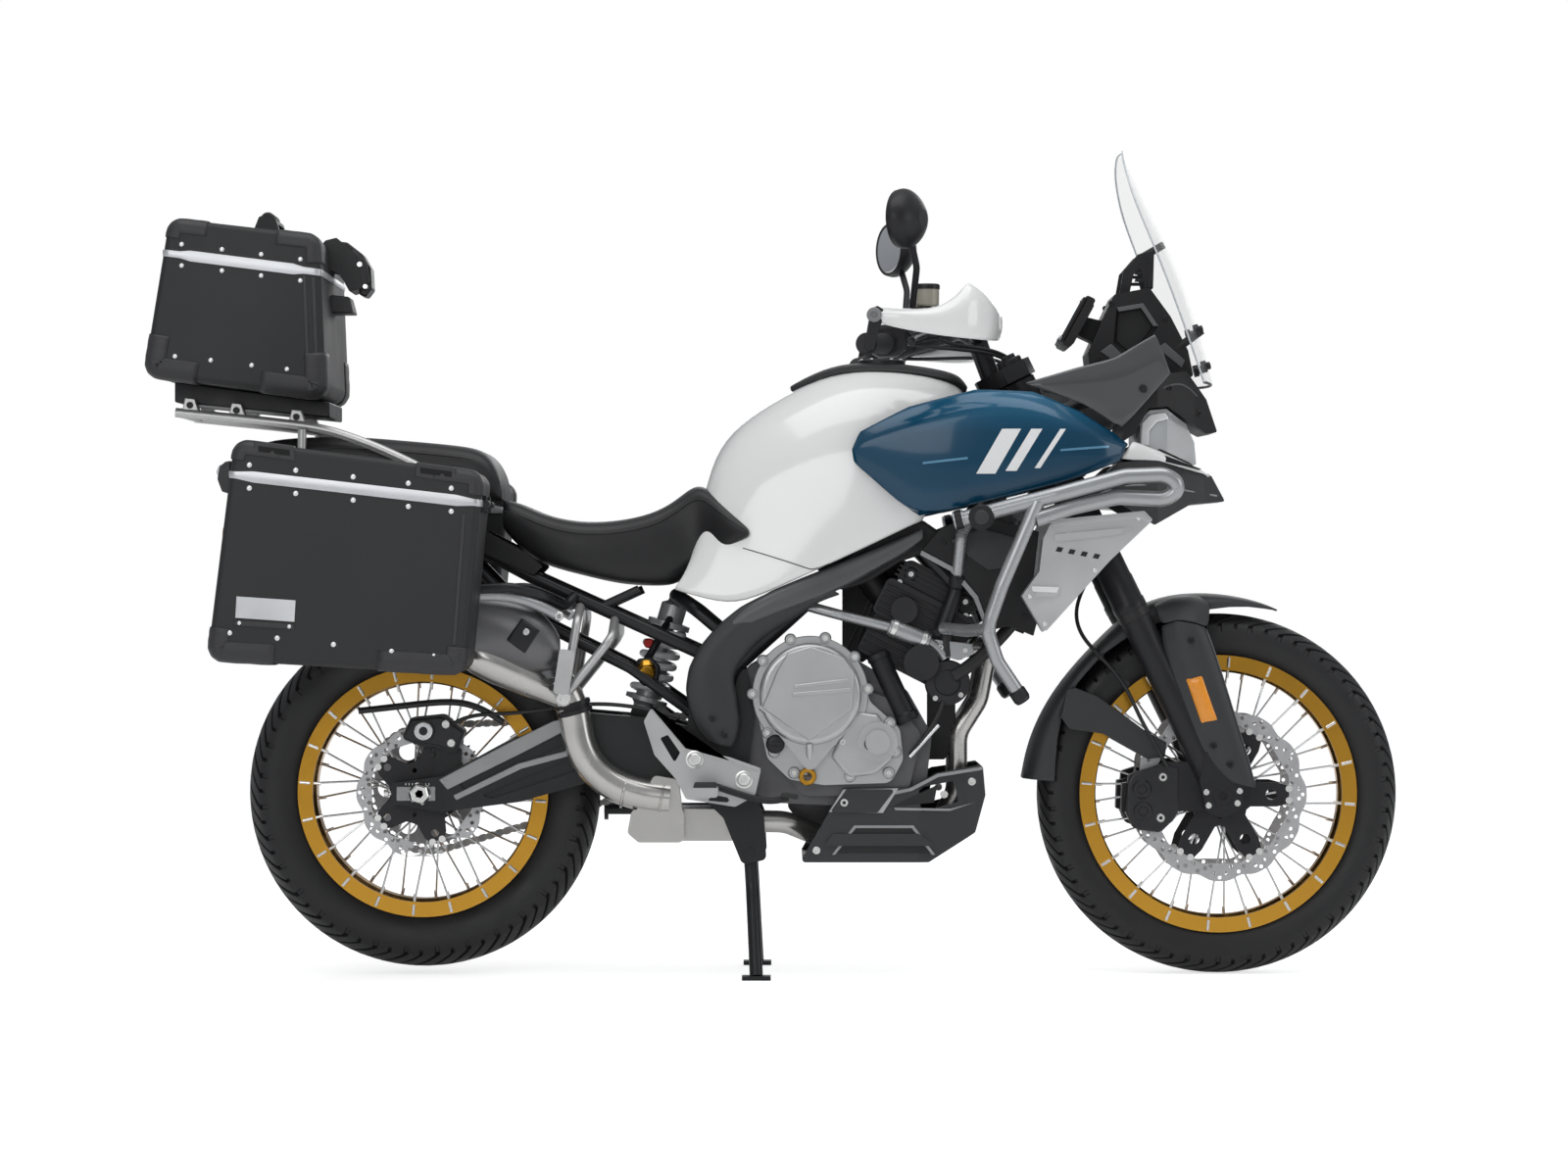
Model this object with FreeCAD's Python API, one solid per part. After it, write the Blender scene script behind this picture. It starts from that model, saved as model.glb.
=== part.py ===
# Adventure motorcycle with a top case and two side cases, parked on its centre stand.
# Millimetres. While it is drawn, X runs forward from the rear axle, Y to the rider's left, Z up
# from the floor. At the end everything moves along X so that the origin is the floor point
# under the middle of the machine.
import FreeCAD
import Part
import math
import os

from FreeCAD import Vector

# Wheels and stance
wheelbase = 1450.0
front_tyre_radius = 329.0
front_tyre_width = 110.0
front_rim_radius = 241.0
front_rim_width = 66.0
rear_tyre_radius = 321.0
rear_tyre_width = 150.0
rear_rim_radius = 216.0
rear_rim_width = 108.0
rear_wheel_lift = 12.0
axle_radius = 12.0
running_clearance = 0.05
seat_gap = 0.3

# Steering head
rake_deg = 26.0
fork_offset = 32.0
fork_half_spacing = 103.0
stanchion_radius = 21.5
slider_radius = 28.0
lower_clamp_at = 628.0
upper_clamp_at = 838.0
clamp_thickness = 30.0
head_tube_radius = 29.0
stem_radius = 15.0
front_axle_bore = 7.0

mirror_turn_deg = 22.0

# Brakes and drive
front_disc_radius = 158.0
rear_disc_radius = 119.0
disc_thickness = 5.0
front_disc_y = 70.0
rear_disc_y = 80.0
spokes_a_side = 20
spoke_radius = 2.1
chain_y = 97.0
chain_pitch = 15.875
rear_sprocket_teeth = 46
front_sprocket_teeth = 16
roller_radius = 5.1

# Frame and swingarm
pivot_x = 520.0
pivot_z = 405.0
countershaft_x = 602.0
countershaft_z = 432.0
crank_x = 810.0
crank_z = 450.0
cylinder_lean_deg = 27.0
swingarm_inner_y = 93.0
swingarm_arm_thickness = 34.0
# Threaded holes for stand bobbins
bobbin_x = 86.0
bobbin_z = 374.0
bobbin_radius = 5.0
bobbin_depth = 20.0

# Cases
case_wall = 4.0
case_corner = 26.0
rack_y = 255.0
rack_tube_radius = 9.0
side_case_outer_y = 500.0
top_case_half_width = 220.0
# Corners as (x, z): rear bottom, front bottom, front top, rear top
side_case_corners = [(-338, 580), (106, 555), (139, 904), (-291, 961)]
side_case_seam = [(-400, 912.1), (240, 838.5)]
top_case_corners = [(-487, 1084), (-160, 1041), (-172, 1335), (-441, 1366)]
top_case_seam = [(-560, 1316.9), (-40, 1251.5)]
lid_seam = 1.5
hinge_reach = 7.0
hinge_radius = 6.0
hinge_pin_radius = 3.0

# Stands
stand_pivot_x = 596.0
stand_pivot_z = 228.0
stand_foot_x = 608.0
stand_top_y = 104.0
stand_foot_y = 168.0
stand_tube_radius = 13.0
stand_pin_radius = 8.0
frame_cheek_y = 126.0
frame_cheek_thickness = 12.0
side_stand_x = 585.0
side_stand_y = 168.0
side_stand_z = 292.0
side_stand_length = 258.0
side_stand_splay_deg = 25.0
side_stand_eye = 23.0

rear_axle = Vector(0, 0, rear_tyre_radius + rear_wheel_lift)
front_axle = Vector(wheelbase, 0, front_tyre_radius)
fork_up = Vector(-math.sin(math.radians(rake_deg)), 0, math.cos(math.radians(rake_deg)))
fork_forward = Vector(math.cos(math.radians(rake_deg)), 0, math.sin(math.radians(rake_deg)))
side = Vector(0, 1, 0)
steering_foot = front_axle - fork_forward * fork_offset


# General shapes
def at(x, y, z):
    return Vector(x, y, z)


def rounded_wire(points, radius):
    """Closed wire through points with every corner rounded by radius, or by its own radius in a list."""
    count = len(points)
    radii = radius if isinstance(radius, (list, tuple)) else [radius] * count
    starts, ends, middles = [], [], []
    for i, corner in enumerate(points):
        before = (points[i - 1] - corner).normalize()
        after = (points[(i + 1) % count] - corner).normalize()
        half = before.getAngle(after) / 2
        cut = radii[i] / math.tan(half)
        starts.append(corner + before * cut)
        ends.append(corner + after * cut)
        inward = (before + after).normalize()
        middles.append(corner + inward * (radii[i] / math.sin(half) - radii[i]))
    edges = []
    for i in range(count):
        if radii[i] > 0:
            edges.append(Part.Arc(starts[i], middles[i], ends[i]).toShape())
        following = starts[(i + 1) % count]
        if ends[i].distanceToPoint(following) > 1e-6:
            edges.append(Part.LineSegment(ends[i], following).toShape())
    return Part.Wire(edges)


def side_outline(points, radius, y=0.0):
    """Face in the XZ plane at y, from (x, z) pairs."""
    return Part.Face(rounded_wire([at(x, y, z) for x, z in points], radius))


def side_plate(points, y_from, y_to, radius=0.0):
    return side_outline(points, radius, y_from).extrude(at(0, y_to - y_from, 0))


def plan_plate(points, z_from, z_to, radius=0.0):
    """Solid from (x, y) pairs, extruded upwards."""
    face = Part.Face(rounded_wire([at(x, y, z_from) for x, y in points], radius))
    return face.extrude(at(0, 0, z_to - z_from))


def both_sides(half_widths):
    """Closed plan outline from (x, half width) pairs, the same on the left and the right."""
    return [(x, w) for x, w in half_widths] + [(x, -w) for x, w in reversed(half_widths)]


def mirrored(shape):
    return shape.mirror(Vector(0, 0, 0), Vector(0, 1, 0))


def pair(shape):
    """A piece and its mirror image, as two solids."""
    return Part.makeCompound([shape, mirrored(shape)])


def fused(*shapes):
    return shapes[0].multiFuse(list(shapes[1:])).removeSplitter()


def rod(start, end, radius):
    along = end - start
    return Part.makeCylinder(radius, along.Length, start, along)


def ring(start, end, radius, bore):
    return rod(start, end, radius).cut(rod(start, end, bore))


def bent_path(points, bend):
    """Straight runs joined by tangent arcs."""
    edges, last = [], points[0]
    for i in range(1, len(points) - 1):
        corner = points[i]
        before = (points[i - 1] - corner).normalize()
        after = (points[i + 1] - corner).normalize()
        half = before.getAngle(after) / 2
        cut = bend / math.tan(half)
        shortest = min((points[i - 1] - corner).Length, (points[i + 1] - corner).Length)
        cut = min(cut, 0.48 * shortest)
        radius = cut * math.tan(half)
        start, end = corner + before * cut, corner + after * cut
        middle = corner + (before + after).normalize() * (radius / math.sin(half) - radius)
        edges.append(Part.LineSegment(last, start).toShape())
        edges.append(Part.Arc(start, middle, end).toShape())
        last = end
    edges.append(Part.LineSegment(last, points[-1]).toShape())
    return Part.Wire(edges)


def tube(points, radius, bend=40.0, bore=0.0):
    """A bent tube, closed at its ends unless it has a bore."""
    route = bent_path([at(*p) for p in points], bend)
    start = at(*points[0])
    direction = at(*points[1]) - start
    section = Part.Wire(Part.makeCircle(radius, start, direction))
    outer = route.makePipeShell([section], True, False)
    if bore:
        hole = Part.Wire(Part.makeCircle(bore, start, direction))
        return outer.cut(route.makePipeShell([hole], True, False))
    return outer


def spun(profile, centre):
    """Revolves a closed (radius, y) polygon about the lateral axis through centre."""
    points = [at(0, y, r) + centre for r, y in profile]
    face = Part.Face(Part.makePolygon(points + [points[0]]))
    return face.revolve(centre, side, 360)


def ruled(sections):
    return Part.makeLoft([Part.makePolygon(s + [s[0]]) for s in sections], True, True)


def smooth(wires):
    return Part.makeLoft(wires, True, False)


def pointed_at(polar_radius, angle_deg, centre, y=0.0):
    """A point at a radius and an angle above +X in the wheel's plane."""
    a = math.radians(angle_deg)
    return centre + at(polar_radius * math.cos(a), y, polar_radius * math.sin(a))


def along_fork(distance, y=0.0, forward=0.0):
    """A point at a distance up the steering axis, forward of it and to the left."""
    return steering_foot + fork_up * distance + fork_forward * forward + side * y


# Wheels
def tyre(axle, radius, width, rim_radius):
    """Hollow tyre with a rounded crown, bulged sidewalls and beads that sit on the rim."""
    bead_y = width * 0.36
    belly_y = width / 2
    shoulder_r = radius - width * 0.16
    belly_r = (rim_radius + radius) / 2
    wall = 9.0
    seat_r = rim_radius + seat_gap

    def point(r, y):
        return axle + at(0, y, r)

    def arc(a, b, c):
        return Part.Arc(point(*a), point(*b), point(*c)).toShape()

    def line(a, b):
        return Part.LineSegment(point(*a), point(*b)).toShape()

    bead_r = rim_radius + 13.0
    outside = [(bead_r, bead_y), (belly_r, belly_y), (shoulder_r, belly_y * 0.88), (radius, 0.0)]
    inside = [(bead_r, bead_y - wall), (belly_r, belly_y - wall), (radius - wall * 1.3, 0.0)]
    edges = [
        line((seat_r, bead_y), outside[0]),
        arc(outside[0], (belly_r - width * 0.12, belly_y * 0.95), outside[1]),
        arc(outside[1], ((belly_r + shoulder_r) / 2, belly_y * 0.985), outside[2]),
        arc(outside[2], outside[3], (shoulder_r, -belly_y * 0.88)),
        arc(
            (shoulder_r, -belly_y * 0.88), ((belly_r + shoulder_r) / 2, -belly_y * 0.985),
            (belly_r, -belly_y),
        ),
        arc((belly_r, -belly_y), (belly_r - width * 0.12, -belly_y * 0.95), (bead_r, -bead_y)),
        line((bead_r, -bead_y), (seat_r, -bead_y)),
        line((seat_r, -bead_y), (seat_r, -bead_y + wall)),
        line((seat_r, -bead_y + wall), (bead_r, -bead_y + wall)),
        arc(
            (bead_r, -bead_y + wall), (belly_r - width * 0.12, wall - belly_y * 0.95),
            (belly_r, wall - belly_y),
        ),
        arc((belly_r, wall - belly_y), inside[2], inside[1]),
        arc(inside[1], (belly_r - width * 0.12, belly_y * 0.95 - wall), inside[0]),
        line(inside[0], (seat_r, bead_y - wall)),
        line((seat_r, bead_y - wall), (seat_r, bead_y)),
    ]
    return Part.Face(Part.Wire(edges)).revolve(axle, side, 360)


def rim(axle, radius, width, tyre_width):
    """Spoked rim: flanges outside the tyre's beads, a seat, a drop centre and lands for the spokes."""
    bead_y = tyre_width * 0.36
    flange_y = bead_y + 4.0
    well_y = width * 0.2
    skin = 4.0
    land = radius - 15.0
    return spun(
        [
            (land, flange_y), (radius + 12, flange_y), (radius + 12, bead_y + seat_gap),
            (radius, bead_y + seat_gap), (radius, well_y + 8), (radius - 11, well_y),
            (radius - 11, -well_y), (radius, -well_y - 8), (radius, -bead_y - seat_gap),
            (radius + 12, -bead_y - seat_gap), (radius + 12, -flange_y), (land, -flange_y),
            (land, -flange_y + 12), (radius - skin - 8, -flange_y + 18),
            (radius - 15 - skin, -well_y), (radius - 15 - skin, well_y),
            (radius - skin - 8, flange_y - 18), (land, flange_y - 12),
        ],
        axle,
    )


def spokes(axle, hub_radius, hub_y, land_radius, land_y):
    """Crossed spokes from each hub flange to the rim's edge, leaning in turn forward and back."""
    lean_deg = 24.0
    made = []
    for flank in (-1, 1):
        for i in range(spokes_a_side):
            at_rim = 360.0 * (i + 0.25 * flank) / spokes_a_side
            at_hub = at_rim + (lean_deg if i % 2 else -lean_deg)
            out = 1.5 if i % 2 else -1.5
            start = pointed_at(hub_radius, at_hub, axle, flank * (hub_y + out))
            end = pointed_at(land_radius, at_rim, axle, flank * (land_y + out))
            made.append(rod(start, end, spoke_radius))
    return made


def hub(axle, flange_radius, flange_y, barrel_radius, length, bore):
    """Spoked hub: barrel, two spoke flanges and a bore for the axle."""
    half = length / 2
    return spun(
        [
            (bore, -half), (barrel_radius, -half), (barrel_radius, -flange_y - 5),
            (flange_radius, -flange_y - 5), (flange_radius, -flange_y + 5),
            (barrel_radius - 6, -flange_y + 14), (barrel_radius - 6, flange_y - 14),
            (flange_radius, flange_y - 5), (flange_radius, flange_y + 5),
            (barrel_radius, flange_y + 5), (barrel_radius, half), (bore, half),
        ],
        axle,
    )


def brake_disc(axle, y, radius, band, carrier_radius, bore, arms, waves):
    """Floating brake disc: a scalloped band on a carrier with arms and a central boss."""
    thick = disc_thickness
    low = axle + at(0, y - thick / 2, 0)
    high = axle + at(0, y + thick / 2, 0)
    disc = ring(low, high, radius, radius - band)
    for i in range(waves):
        centre = pointed_at(radius + 14, 360.0 * i / waves, axle, y)
        disc = disc.cut(rod(centre - at(0, thick, 0), centre + at(0, thick, 0), 17.0))
    carrier = ring(low, high, carrier_radius, bore)
    for i in range(arms):
        angle = 360.0 * (i + 0.5) / arms
        tip = pointed_at(radius - band + 4, angle, axle, y)
        for lean in (-14.0, 14.0):
            root = pointed_at(carrier_radius - 6, angle + lean, axle, y)
            along = (tip - root).normalize()
            across = along.cross(side) * 4.0
            outline = [root - across, tip - across, tip + across, root + across]
            outline = [p - at(0, thick / 2, 0) for p in outline]
            arm = Part.Face(Part.makePolygon(outline + [outline[0]])).extrude(at(0, thick, 0))
            carrier = carrier.fuse(arm)
    return fused(disc, carrier)


def front_wheel():
    land = front_rim_radius - 15.0
    rim_edge_y = front_tyre_width * 0.36 - 4.0
    bore = axle_radius + running_clearance
    disc_seat = front_disc_y - disc_thickness / 2 - seat_gap
    core = hub(front_axle, 44.0, 36.0, 34.0, 2 * disc_seat, bore)
    made = spokes(front_axle, 40.0, 36.0, land - 0.6, rim_edge_y)
    discs = [
        brake_disc(front_axle, y, front_disc_radius, 34.0, 46.0, bore + 12, 6, 12)
        for y in (-front_disc_y, front_disc_y)
    ]
    return {
        "front_tyre": tyre(front_axle, front_tyre_radius, front_tyre_width, front_rim_radius),
        "front_rim": rim(front_axle, front_rim_radius, front_rim_width, front_tyre_width),
        "front_hub": fused(core, *made),
        "front_discs": Part.makeCompound(discs),
    }


def sprocket(axle, y, teeth, bore, below_rollers):
    """Chain wheel whose teeth stop just short of the rollers, with six lightening holes."""
    pitch_radius = chain_pitch / (2 * math.sin(math.pi / teeth))
    tip = pitch_radius - roller_radius - below_rollers
    points = []
    for i in range(teeth):
        for share, reach in ((-0.24, tip - 6), (-0.12, tip), (0.12, tip), (0.24, tip - 6)):
            points.append(pointed_at(reach, 360.0 * (i + share) / teeth, axle, y - 3.0))
    body = Part.Face(Part.makePolygon(points + [points[0]])).extrude(at(0, 6.0, 0))
    body = body.cut(rod(axle + at(0, y - 4, 0), axle + at(0, y + 4, 0), bore))
    if teeth > 24:
        for i in range(6):
            centre = pointed_at(pitch_radius * 0.68, 60.0 * i, axle, y)
            body = body.cut(rod(centre - at(0, 5, 0), centre + at(0, 5, 0), 17.0))
    return body


def rear_wheel():
    land = rear_rim_radius - 15.0
    rim_edge_y = rear_tyre_width * 0.36 - 4.0
    bore = axle_radius + running_clearance
    disc_seat = rear_disc_y - disc_thickness / 2 - seat_gap
    core = hub(rear_axle, 52.0, 40.0, 40.0, 2 * disc_seat, bore)
    carrier = ring(rear_axle + at(0, 60, 0), rear_axle + at(0, chain_y - 3, 0), 62.0, 38.0)
    cover = ring(rear_axle + at(0, chain_y - 20, 0), rear_axle + at(0, chain_y + 6, 0), 30.0, bore)
    wheel_sprocket = sprocket(rear_axle, chain_y, rear_sprocket_teeth, 28.0, 1.8)
    made = spokes(rear_axle, 47.0, 40.0, land - 0.6, rim_edge_y)
    return {
        "rear_tyre": tyre(rear_axle, rear_tyre_radius, rear_tyre_width, rear_rim_radius),
        "rear_rim": rim(rear_axle, rear_rim_radius, rear_rim_width, rear_tyre_width),
        "rear_hub": fused(core, carrier, cover, wheel_sprocket, *made),
        "rear_disc": brake_disc(rear_axle, -rear_disc_y, rear_disc_radius, 28.0, 52.0, bore + 12, 5, 10),
    }


# Drive chain
def drive_chain():
    """Closed loop of link plates on both sides of the sprockets, joined by rollers."""
    big = chain_pitch / (2 * math.sin(math.pi / rear_sprocket_teeth))
    small = chain_pitch / (2 * math.sin(math.pi / front_sprocket_teeth))
    front = at(countershaft_x, 0, countershaft_z)
    span = front - rear_axle
    slope = math.atan2(span.z, span.x)
    spread = math.acos((big - small) / span.Length)
    upper, lower = slope + spread, slope - spread
    straight = math.sqrt(span.Length ** 2 - (big - small) ** 2)
    arc_rear = (2 * math.pi - 2 * spread) * big
    arc_front = 2 * spread * small
    loop = 2 * straight + arc_rear + arc_front
    links = int(loop / chain_pitch)
    step = loop / links

    def place(distance):
        """Point on the pitch line, as (x, z)."""
        d = distance % loop
        if d < straight:
            start = (big * math.cos(upper), big * math.sin(upper))
            return (
                start[0] + rear_axle.x + d * math.cos(upper - math.pi / 2),
                start[1] + rear_axle.z + d * math.sin(upper - math.pi / 2),
            )
        d -= straight
        if d < arc_front:
            a = upper - d / small
            return front.x + small * math.cos(a), front.z + small * math.sin(a)
        d -= arc_front
        if d < straight:
            start = (small * math.cos(lower), small * math.sin(lower))
            return (
                start[0] + front.x + d * math.cos(lower - math.pi / 2),
                start[1] + front.z + d * math.sin(lower - math.pi / 2),
            )
        d -= straight
        a = lower - d / big
        return rear_axle.x + big * math.cos(a), rear_axle.z + big * math.sin(a)

    def outline(reach_pin, reach_waist, outward):
        points = []
        for i in range(links):
            here, ahead = place(i * step), place((i + 1) * step)
            length = math.hypot(ahead[0] - here[0], ahead[1] - here[1])
            nx, nz = -(ahead[1] - here[1]) / length, (ahead[0] - here[0]) / length
            for share, reach in ((0.0, reach_pin), (0.5, reach_waist)):
                x = here[0] + share * (ahead[0] - here[0]) + outward * reach * nx
                z = here[1] + share * (ahead[1] - here[1]) + outward * reach * nz
                points.append(at(x, chain_y - 10.0, z))
        return Part.Face(Part.makePolygon(points + [points[0]]))

    outer = outline(7.5, 5.2, 1)
    inner = outline(7.5, 5.2, -1)
    band = outer.extrude(at(0, 20.0, 0)).cut(inner.extrude(at(0, 20.0, 0)))
    # The sprockets' channel: plates stay outside it, and rollers lie at the pitch line in it
    channel_outer = outline(roller_radius, roller_radius, 1)
    channel_inner = outline(9.0, 9.0, -1)
    channel_outer.translate(at(0, 5.0, 0))
    channel_inner.translate(at(0, 5.0, 0))
    rollers_inner = outline(roller_radius, roller_radius, -1)
    rollers_inner.translate(at(0, 5.0, 0))
    channel = rollers_inner.extrude(at(0, 10.0, 0)).cut(channel_inner.extrude(at(0, 10.0, 0)))
    return band.cut(channel)


# Frame
spar_radius = 19.0
spar_bend = 60.0
spar_route = [
    (1070, 22, 985), (985, 70, 935), (880, 128, 850), (660, 140, 650), (560, 130, 560), (540, 128, 470),
]


def frame_tubes():
    """Head tube, two main spars, two front braces, swingarm pivot plates and stand lugs."""
    head = rod(
        along_fork(lower_clamp_at + clamp_thickness + 6), along_fork(upper_clamp_at - 6), head_tube_radius
    )
    brace = [(1096, 10, 958), (990, 104, 820), (968, 152, 700), (940, 152, 625)]
    link = [(968, 150, 706), (880, 134, 800)]
    shock_arm = [(590, 128, 588), (500, 112, 664), (462, 70, 690), (462, 30 + seat_gap - 6, 690)]
    plate = [
        (500, 560), (590, 560), (604, 470), (592, 370), (622, 290), (626, 214),
        (582, 206), (548, 290), (495, 340), (478, 430),
    ]
    outer = frame_cheek_y + frame_cheek_thickness
    cheek = side_plate(plate, frame_cheek_y, outer, 10.0)
    pivot = at(stand_pivot_x, 0, stand_pivot_z)
    cheek = cheek.cut(rod(pivot + side * 100, pivot + side * 160, stand_pin_radius))
    half = fused(
        tube(spar_route, spar_radius, spar_bend), tube(brace, 14.0, 60.0), tube(link, 11.0), cheek,
        tube(shock_arm, 12.0, 40.0),
    )
    cross = [rod(at(x, -132, z), at(x, 132, z), 12.0) for x, z in ((600, 610), (550, 342))]
    pin_way = side_stand_axis() * -1
    knuckle = at(side_stand_x, side_stand_y, side_stand_z)
    reach = side_stand_eye / 2 + seat_gap
    lug = rod(knuckle - pin_way * 40, knuckle - pin_way * reach, 16.0)
    lug = lug.common(side_plate([(500, 220), (660, 220), (660, 340), (500, 340)], outer - 2, 200.0))
    pin = rod(knuckle - pin_way * 16, knuckle + pin_way * 16, 7.0)
    nut = rod(knuckle + pin_way * reach, knuckle + pin_way * 20, 11.0)
    fairing_stay = tube(
        [tuple(along_fork(750, 0, 15)), tuple(along_fork(750, 0, 120)), (1300, 0, 1066)], 13.0, 40.0
    )
    whole = fused(head, half, mirrored(half), *cross, lug, pin, nut, fairing_stay)
    stem_room = stem_radius + running_clearance
    return whole.cut(rod(along_fork(lower_clamp_at), along_fork(upper_clamp_at + 40), stem_room))


def side_stand_axis():
    """The folded leg swings down and forward by the right-hand rule about this direction."""
    a = math.radians(side_stand_splay_deg)
    return at(0, -math.cos(a), -math.sin(a))


def frame_covers():
    """Moulded covers over the lower frame, with a raised inner edge that follows the engine."""
    outline = [
        (486, 561), (491, 592), (528, 648), (579, 686), (677, 717), (752, 694), (716, 669),
        (652, 634), (596, 566), (583, 457), (572, 412), (517, 432), (489, 494),
    ]
    crest = [(500, 560), (540, 632), (590, 668), (674, 700), (700, 690), (640, 655), (560, 600), (535, 552)]
    sweep = [
        (560, 640), (590, 668), (687, 722), (800, 764), (906, 806), (896, 786), (823, 742), (762, 696),
        (716, 660), (640, 610), (600, 590),
    ]
    base = side_plate(outline, 165.0, 186.0, 9.0)
    raised = side_plate(crest, 185.0, 196.0, 8.0)
    band = side_plate(sweep, 150.0, 172.0, 4.0)
    posts = [rod(at(x, 136, z), at(x, 168, z), 9.0) for x, z in ((540, 520), (680, 668))]
    stay = rod(at(838, 124, 776), at(838, 156, 776), 7.0)
    return pair(fused(base, raised, band, *posts, stay))


# Rear frame: the upper rail's route and its cross tubes as (x, z)
rail_route = [
    (560, 124, 560), (500, 124, 590), (203, 122, 724), (60, 118, 800), (-120, 112, 838), (-300, 104, 846),
]
rail_radius = 12.0
rail_bend = 80.0
cross_tubes = [(203, 724), (-60, 826), (-280, 845)]
cross_tube_radius = 9.0
cross_tube_reach = 118


def cross_tube_rods(clearance=0.0):
    reach = side * cross_tube_reach
    return [
        rod(at(x, 0, z) - reach, at(x, 0, z) + reach, cross_tube_radius + clearance) for x, z in cross_tubes
    ]


def subframe():
    """Rear frame: upper rails that carry the seat, lower struts and cross tubes."""
    strut = [(505, 124, 470), (380, 126, 560), (180, 122, 660), (60, 118, 786)]
    brace = [(322, 124, 668), (396, 126, 702)]
    half = fused(tube(rail_route, rail_radius, rail_bend), tube(strut, 10.0, 80.0), tube(brace, 8.0))
    return fused(half, mirrored(half), *cross_tube_rods())


def swingarm():
    """Two tapered box arms with a front bridge and pivot tube, axle, adjusters and the rear caliper."""
    left_inner = chain_y + 14.0

    def arm(inner, outward):
        outer = inner + outward * swingarm_arm_thickness
        low, high = sorted((inner, outer))
        outline = [
            (-52, 352), (-52, 314), (40, 300), (180, 318), (300, 352), (430, 352),
            (545, 372), (550, 438), (430, 468), (292, 480), (150, 424), (40, 364),
        ]
        body = side_plate(outline, low, high, 7.0)
        groove = side_plate(
            [(70, 352), (270, 448), (282, 432), (84, 334)], outer - outward * 6, outer + outward * 6, 3.0
        )
        lower = side_plate(
            [(110, 330), (280, 400), (290, 376), (130, 324)], outer - outward * 6, outer + outward * 6, 3.0
        )
        slot = side_plate([(-30, 347), (22, 347), (22, 319), (-30, 319)], low - 5, high + 5, 11.0)
        return body.cut(groove).cut(lower).cut(slot)

    right = arm(-swingarm_inner_y, -1)
    left = arm(left_inner, 1)
    bridge = side_plate(
        [(352, 372), (420, 364), (440, 440), (372, 446)], -swingarm_inner_y - 10, chain_y - 16, 12.0
    )
    sleeve = rod(at(400, chain_y - 18, 404), at(400, left_inner + 10, 404), 22.0)
    pivot_reach = frame_cheek_y - seat_gap
    pivot = rod(at(pivot_x, -pivot_reach, pivot_z), at(pivot_x, pivot_reach, pivot_z), 25.0)
    spindle_y = swingarm_inner_y + swingarm_arm_thickness + 12
    left_end = left_inner + swingarm_arm_thickness + 12
    spindle = rod(rear_axle + at(0, -spindle_y, 0), rear_axle + at(0, left_end, 0), axle_radius)
    nuts = [
        rod(
            rear_axle + at(0, -spindle_y, 0),
            rear_axle + at(0, -swingarm_inner_y - swingarm_arm_thickness + 1, 0), 19.0,
        ),
        rod(
            rear_axle + at(0, left_inner + swingarm_arm_thickness - 1, 0), rear_axle + at(0, left_end, 0),
            19.0,
        ),
    ]
    collars = [
        rod(
            rear_axle - side * (swingarm_inner_y + 8),
            rear_axle - side * (rear_disc_y - disc_thickness / 2), 17.0,
        ),
        rod(rear_axle + side * (chain_y + 6 + seat_gap), rear_axle + side * (left_inner + 8), 17.0),
    ]
    ears = [
        side_plate(
            [(376, 436), (416, 434), (414, 486), (378, 486)], *sorted((s * (18 + seat_gap), s * 28)), 8.0
        )
        for s in (-1, 1)
    ]
    cheek_room = [
        Part.makeBox(200, 60, 200, at(462, y, 300))
        for y in (frame_cheek_y - seat_gap, -frame_cheek_y + seat_gap - 60)
    ]
    right = right.cut(cheek_room[1])
    left = left.cut(cheek_room[0])
    body = fused(right, left, bridge, pivot, spindle, sleeve, *nuts, *collars, *ears)
    for y in (-swingarm_inner_y - swingarm_arm_thickness, left_inner + swingarm_arm_thickness):
        inward = 1 if y < 0 else -1
        mouth = at(bobbin_x, y, bobbin_z)
        body = body.cut(rod(mouth - side * inward, mouth + side * inward * bobbin_depth, bobbin_radius))
    return fused(body, rear_caliper())


def rear_caliper():
    """Sliding caliper over the rear disc, on a bracket that reaches down to the arm."""
    block = [(-34, 432), (-18, 470), (40, 476), (82, 446), (64, 404), (30, 416), (-4, 420)]
    outer = side_plate(block, -rear_disc_y - 34, -rear_disc_y - 6, 8.0)
    inner = side_plate(block, -rear_disc_y + 6, -rear_disc_y + 16, 8.0)
    bridge = side_plate(
        [(-20, 458), (-12, 470), (44, 475), (62, 462)], -rear_disc_y - 20, -rear_disc_y + 12, 3.0
    )
    piston = rod(at(6, -rear_disc_y - 44, 446), at(6, -rear_disc_y - 30, 446), 19.0)
    bracket = side_plate(
        [(20, 350), (70, 360), (74, 412), (30, 430)], -rear_disc_y - 18, -rear_disc_y - 7, 6.0
    )
    return fused(outer, bridge, inner, piston, bracket)


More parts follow.
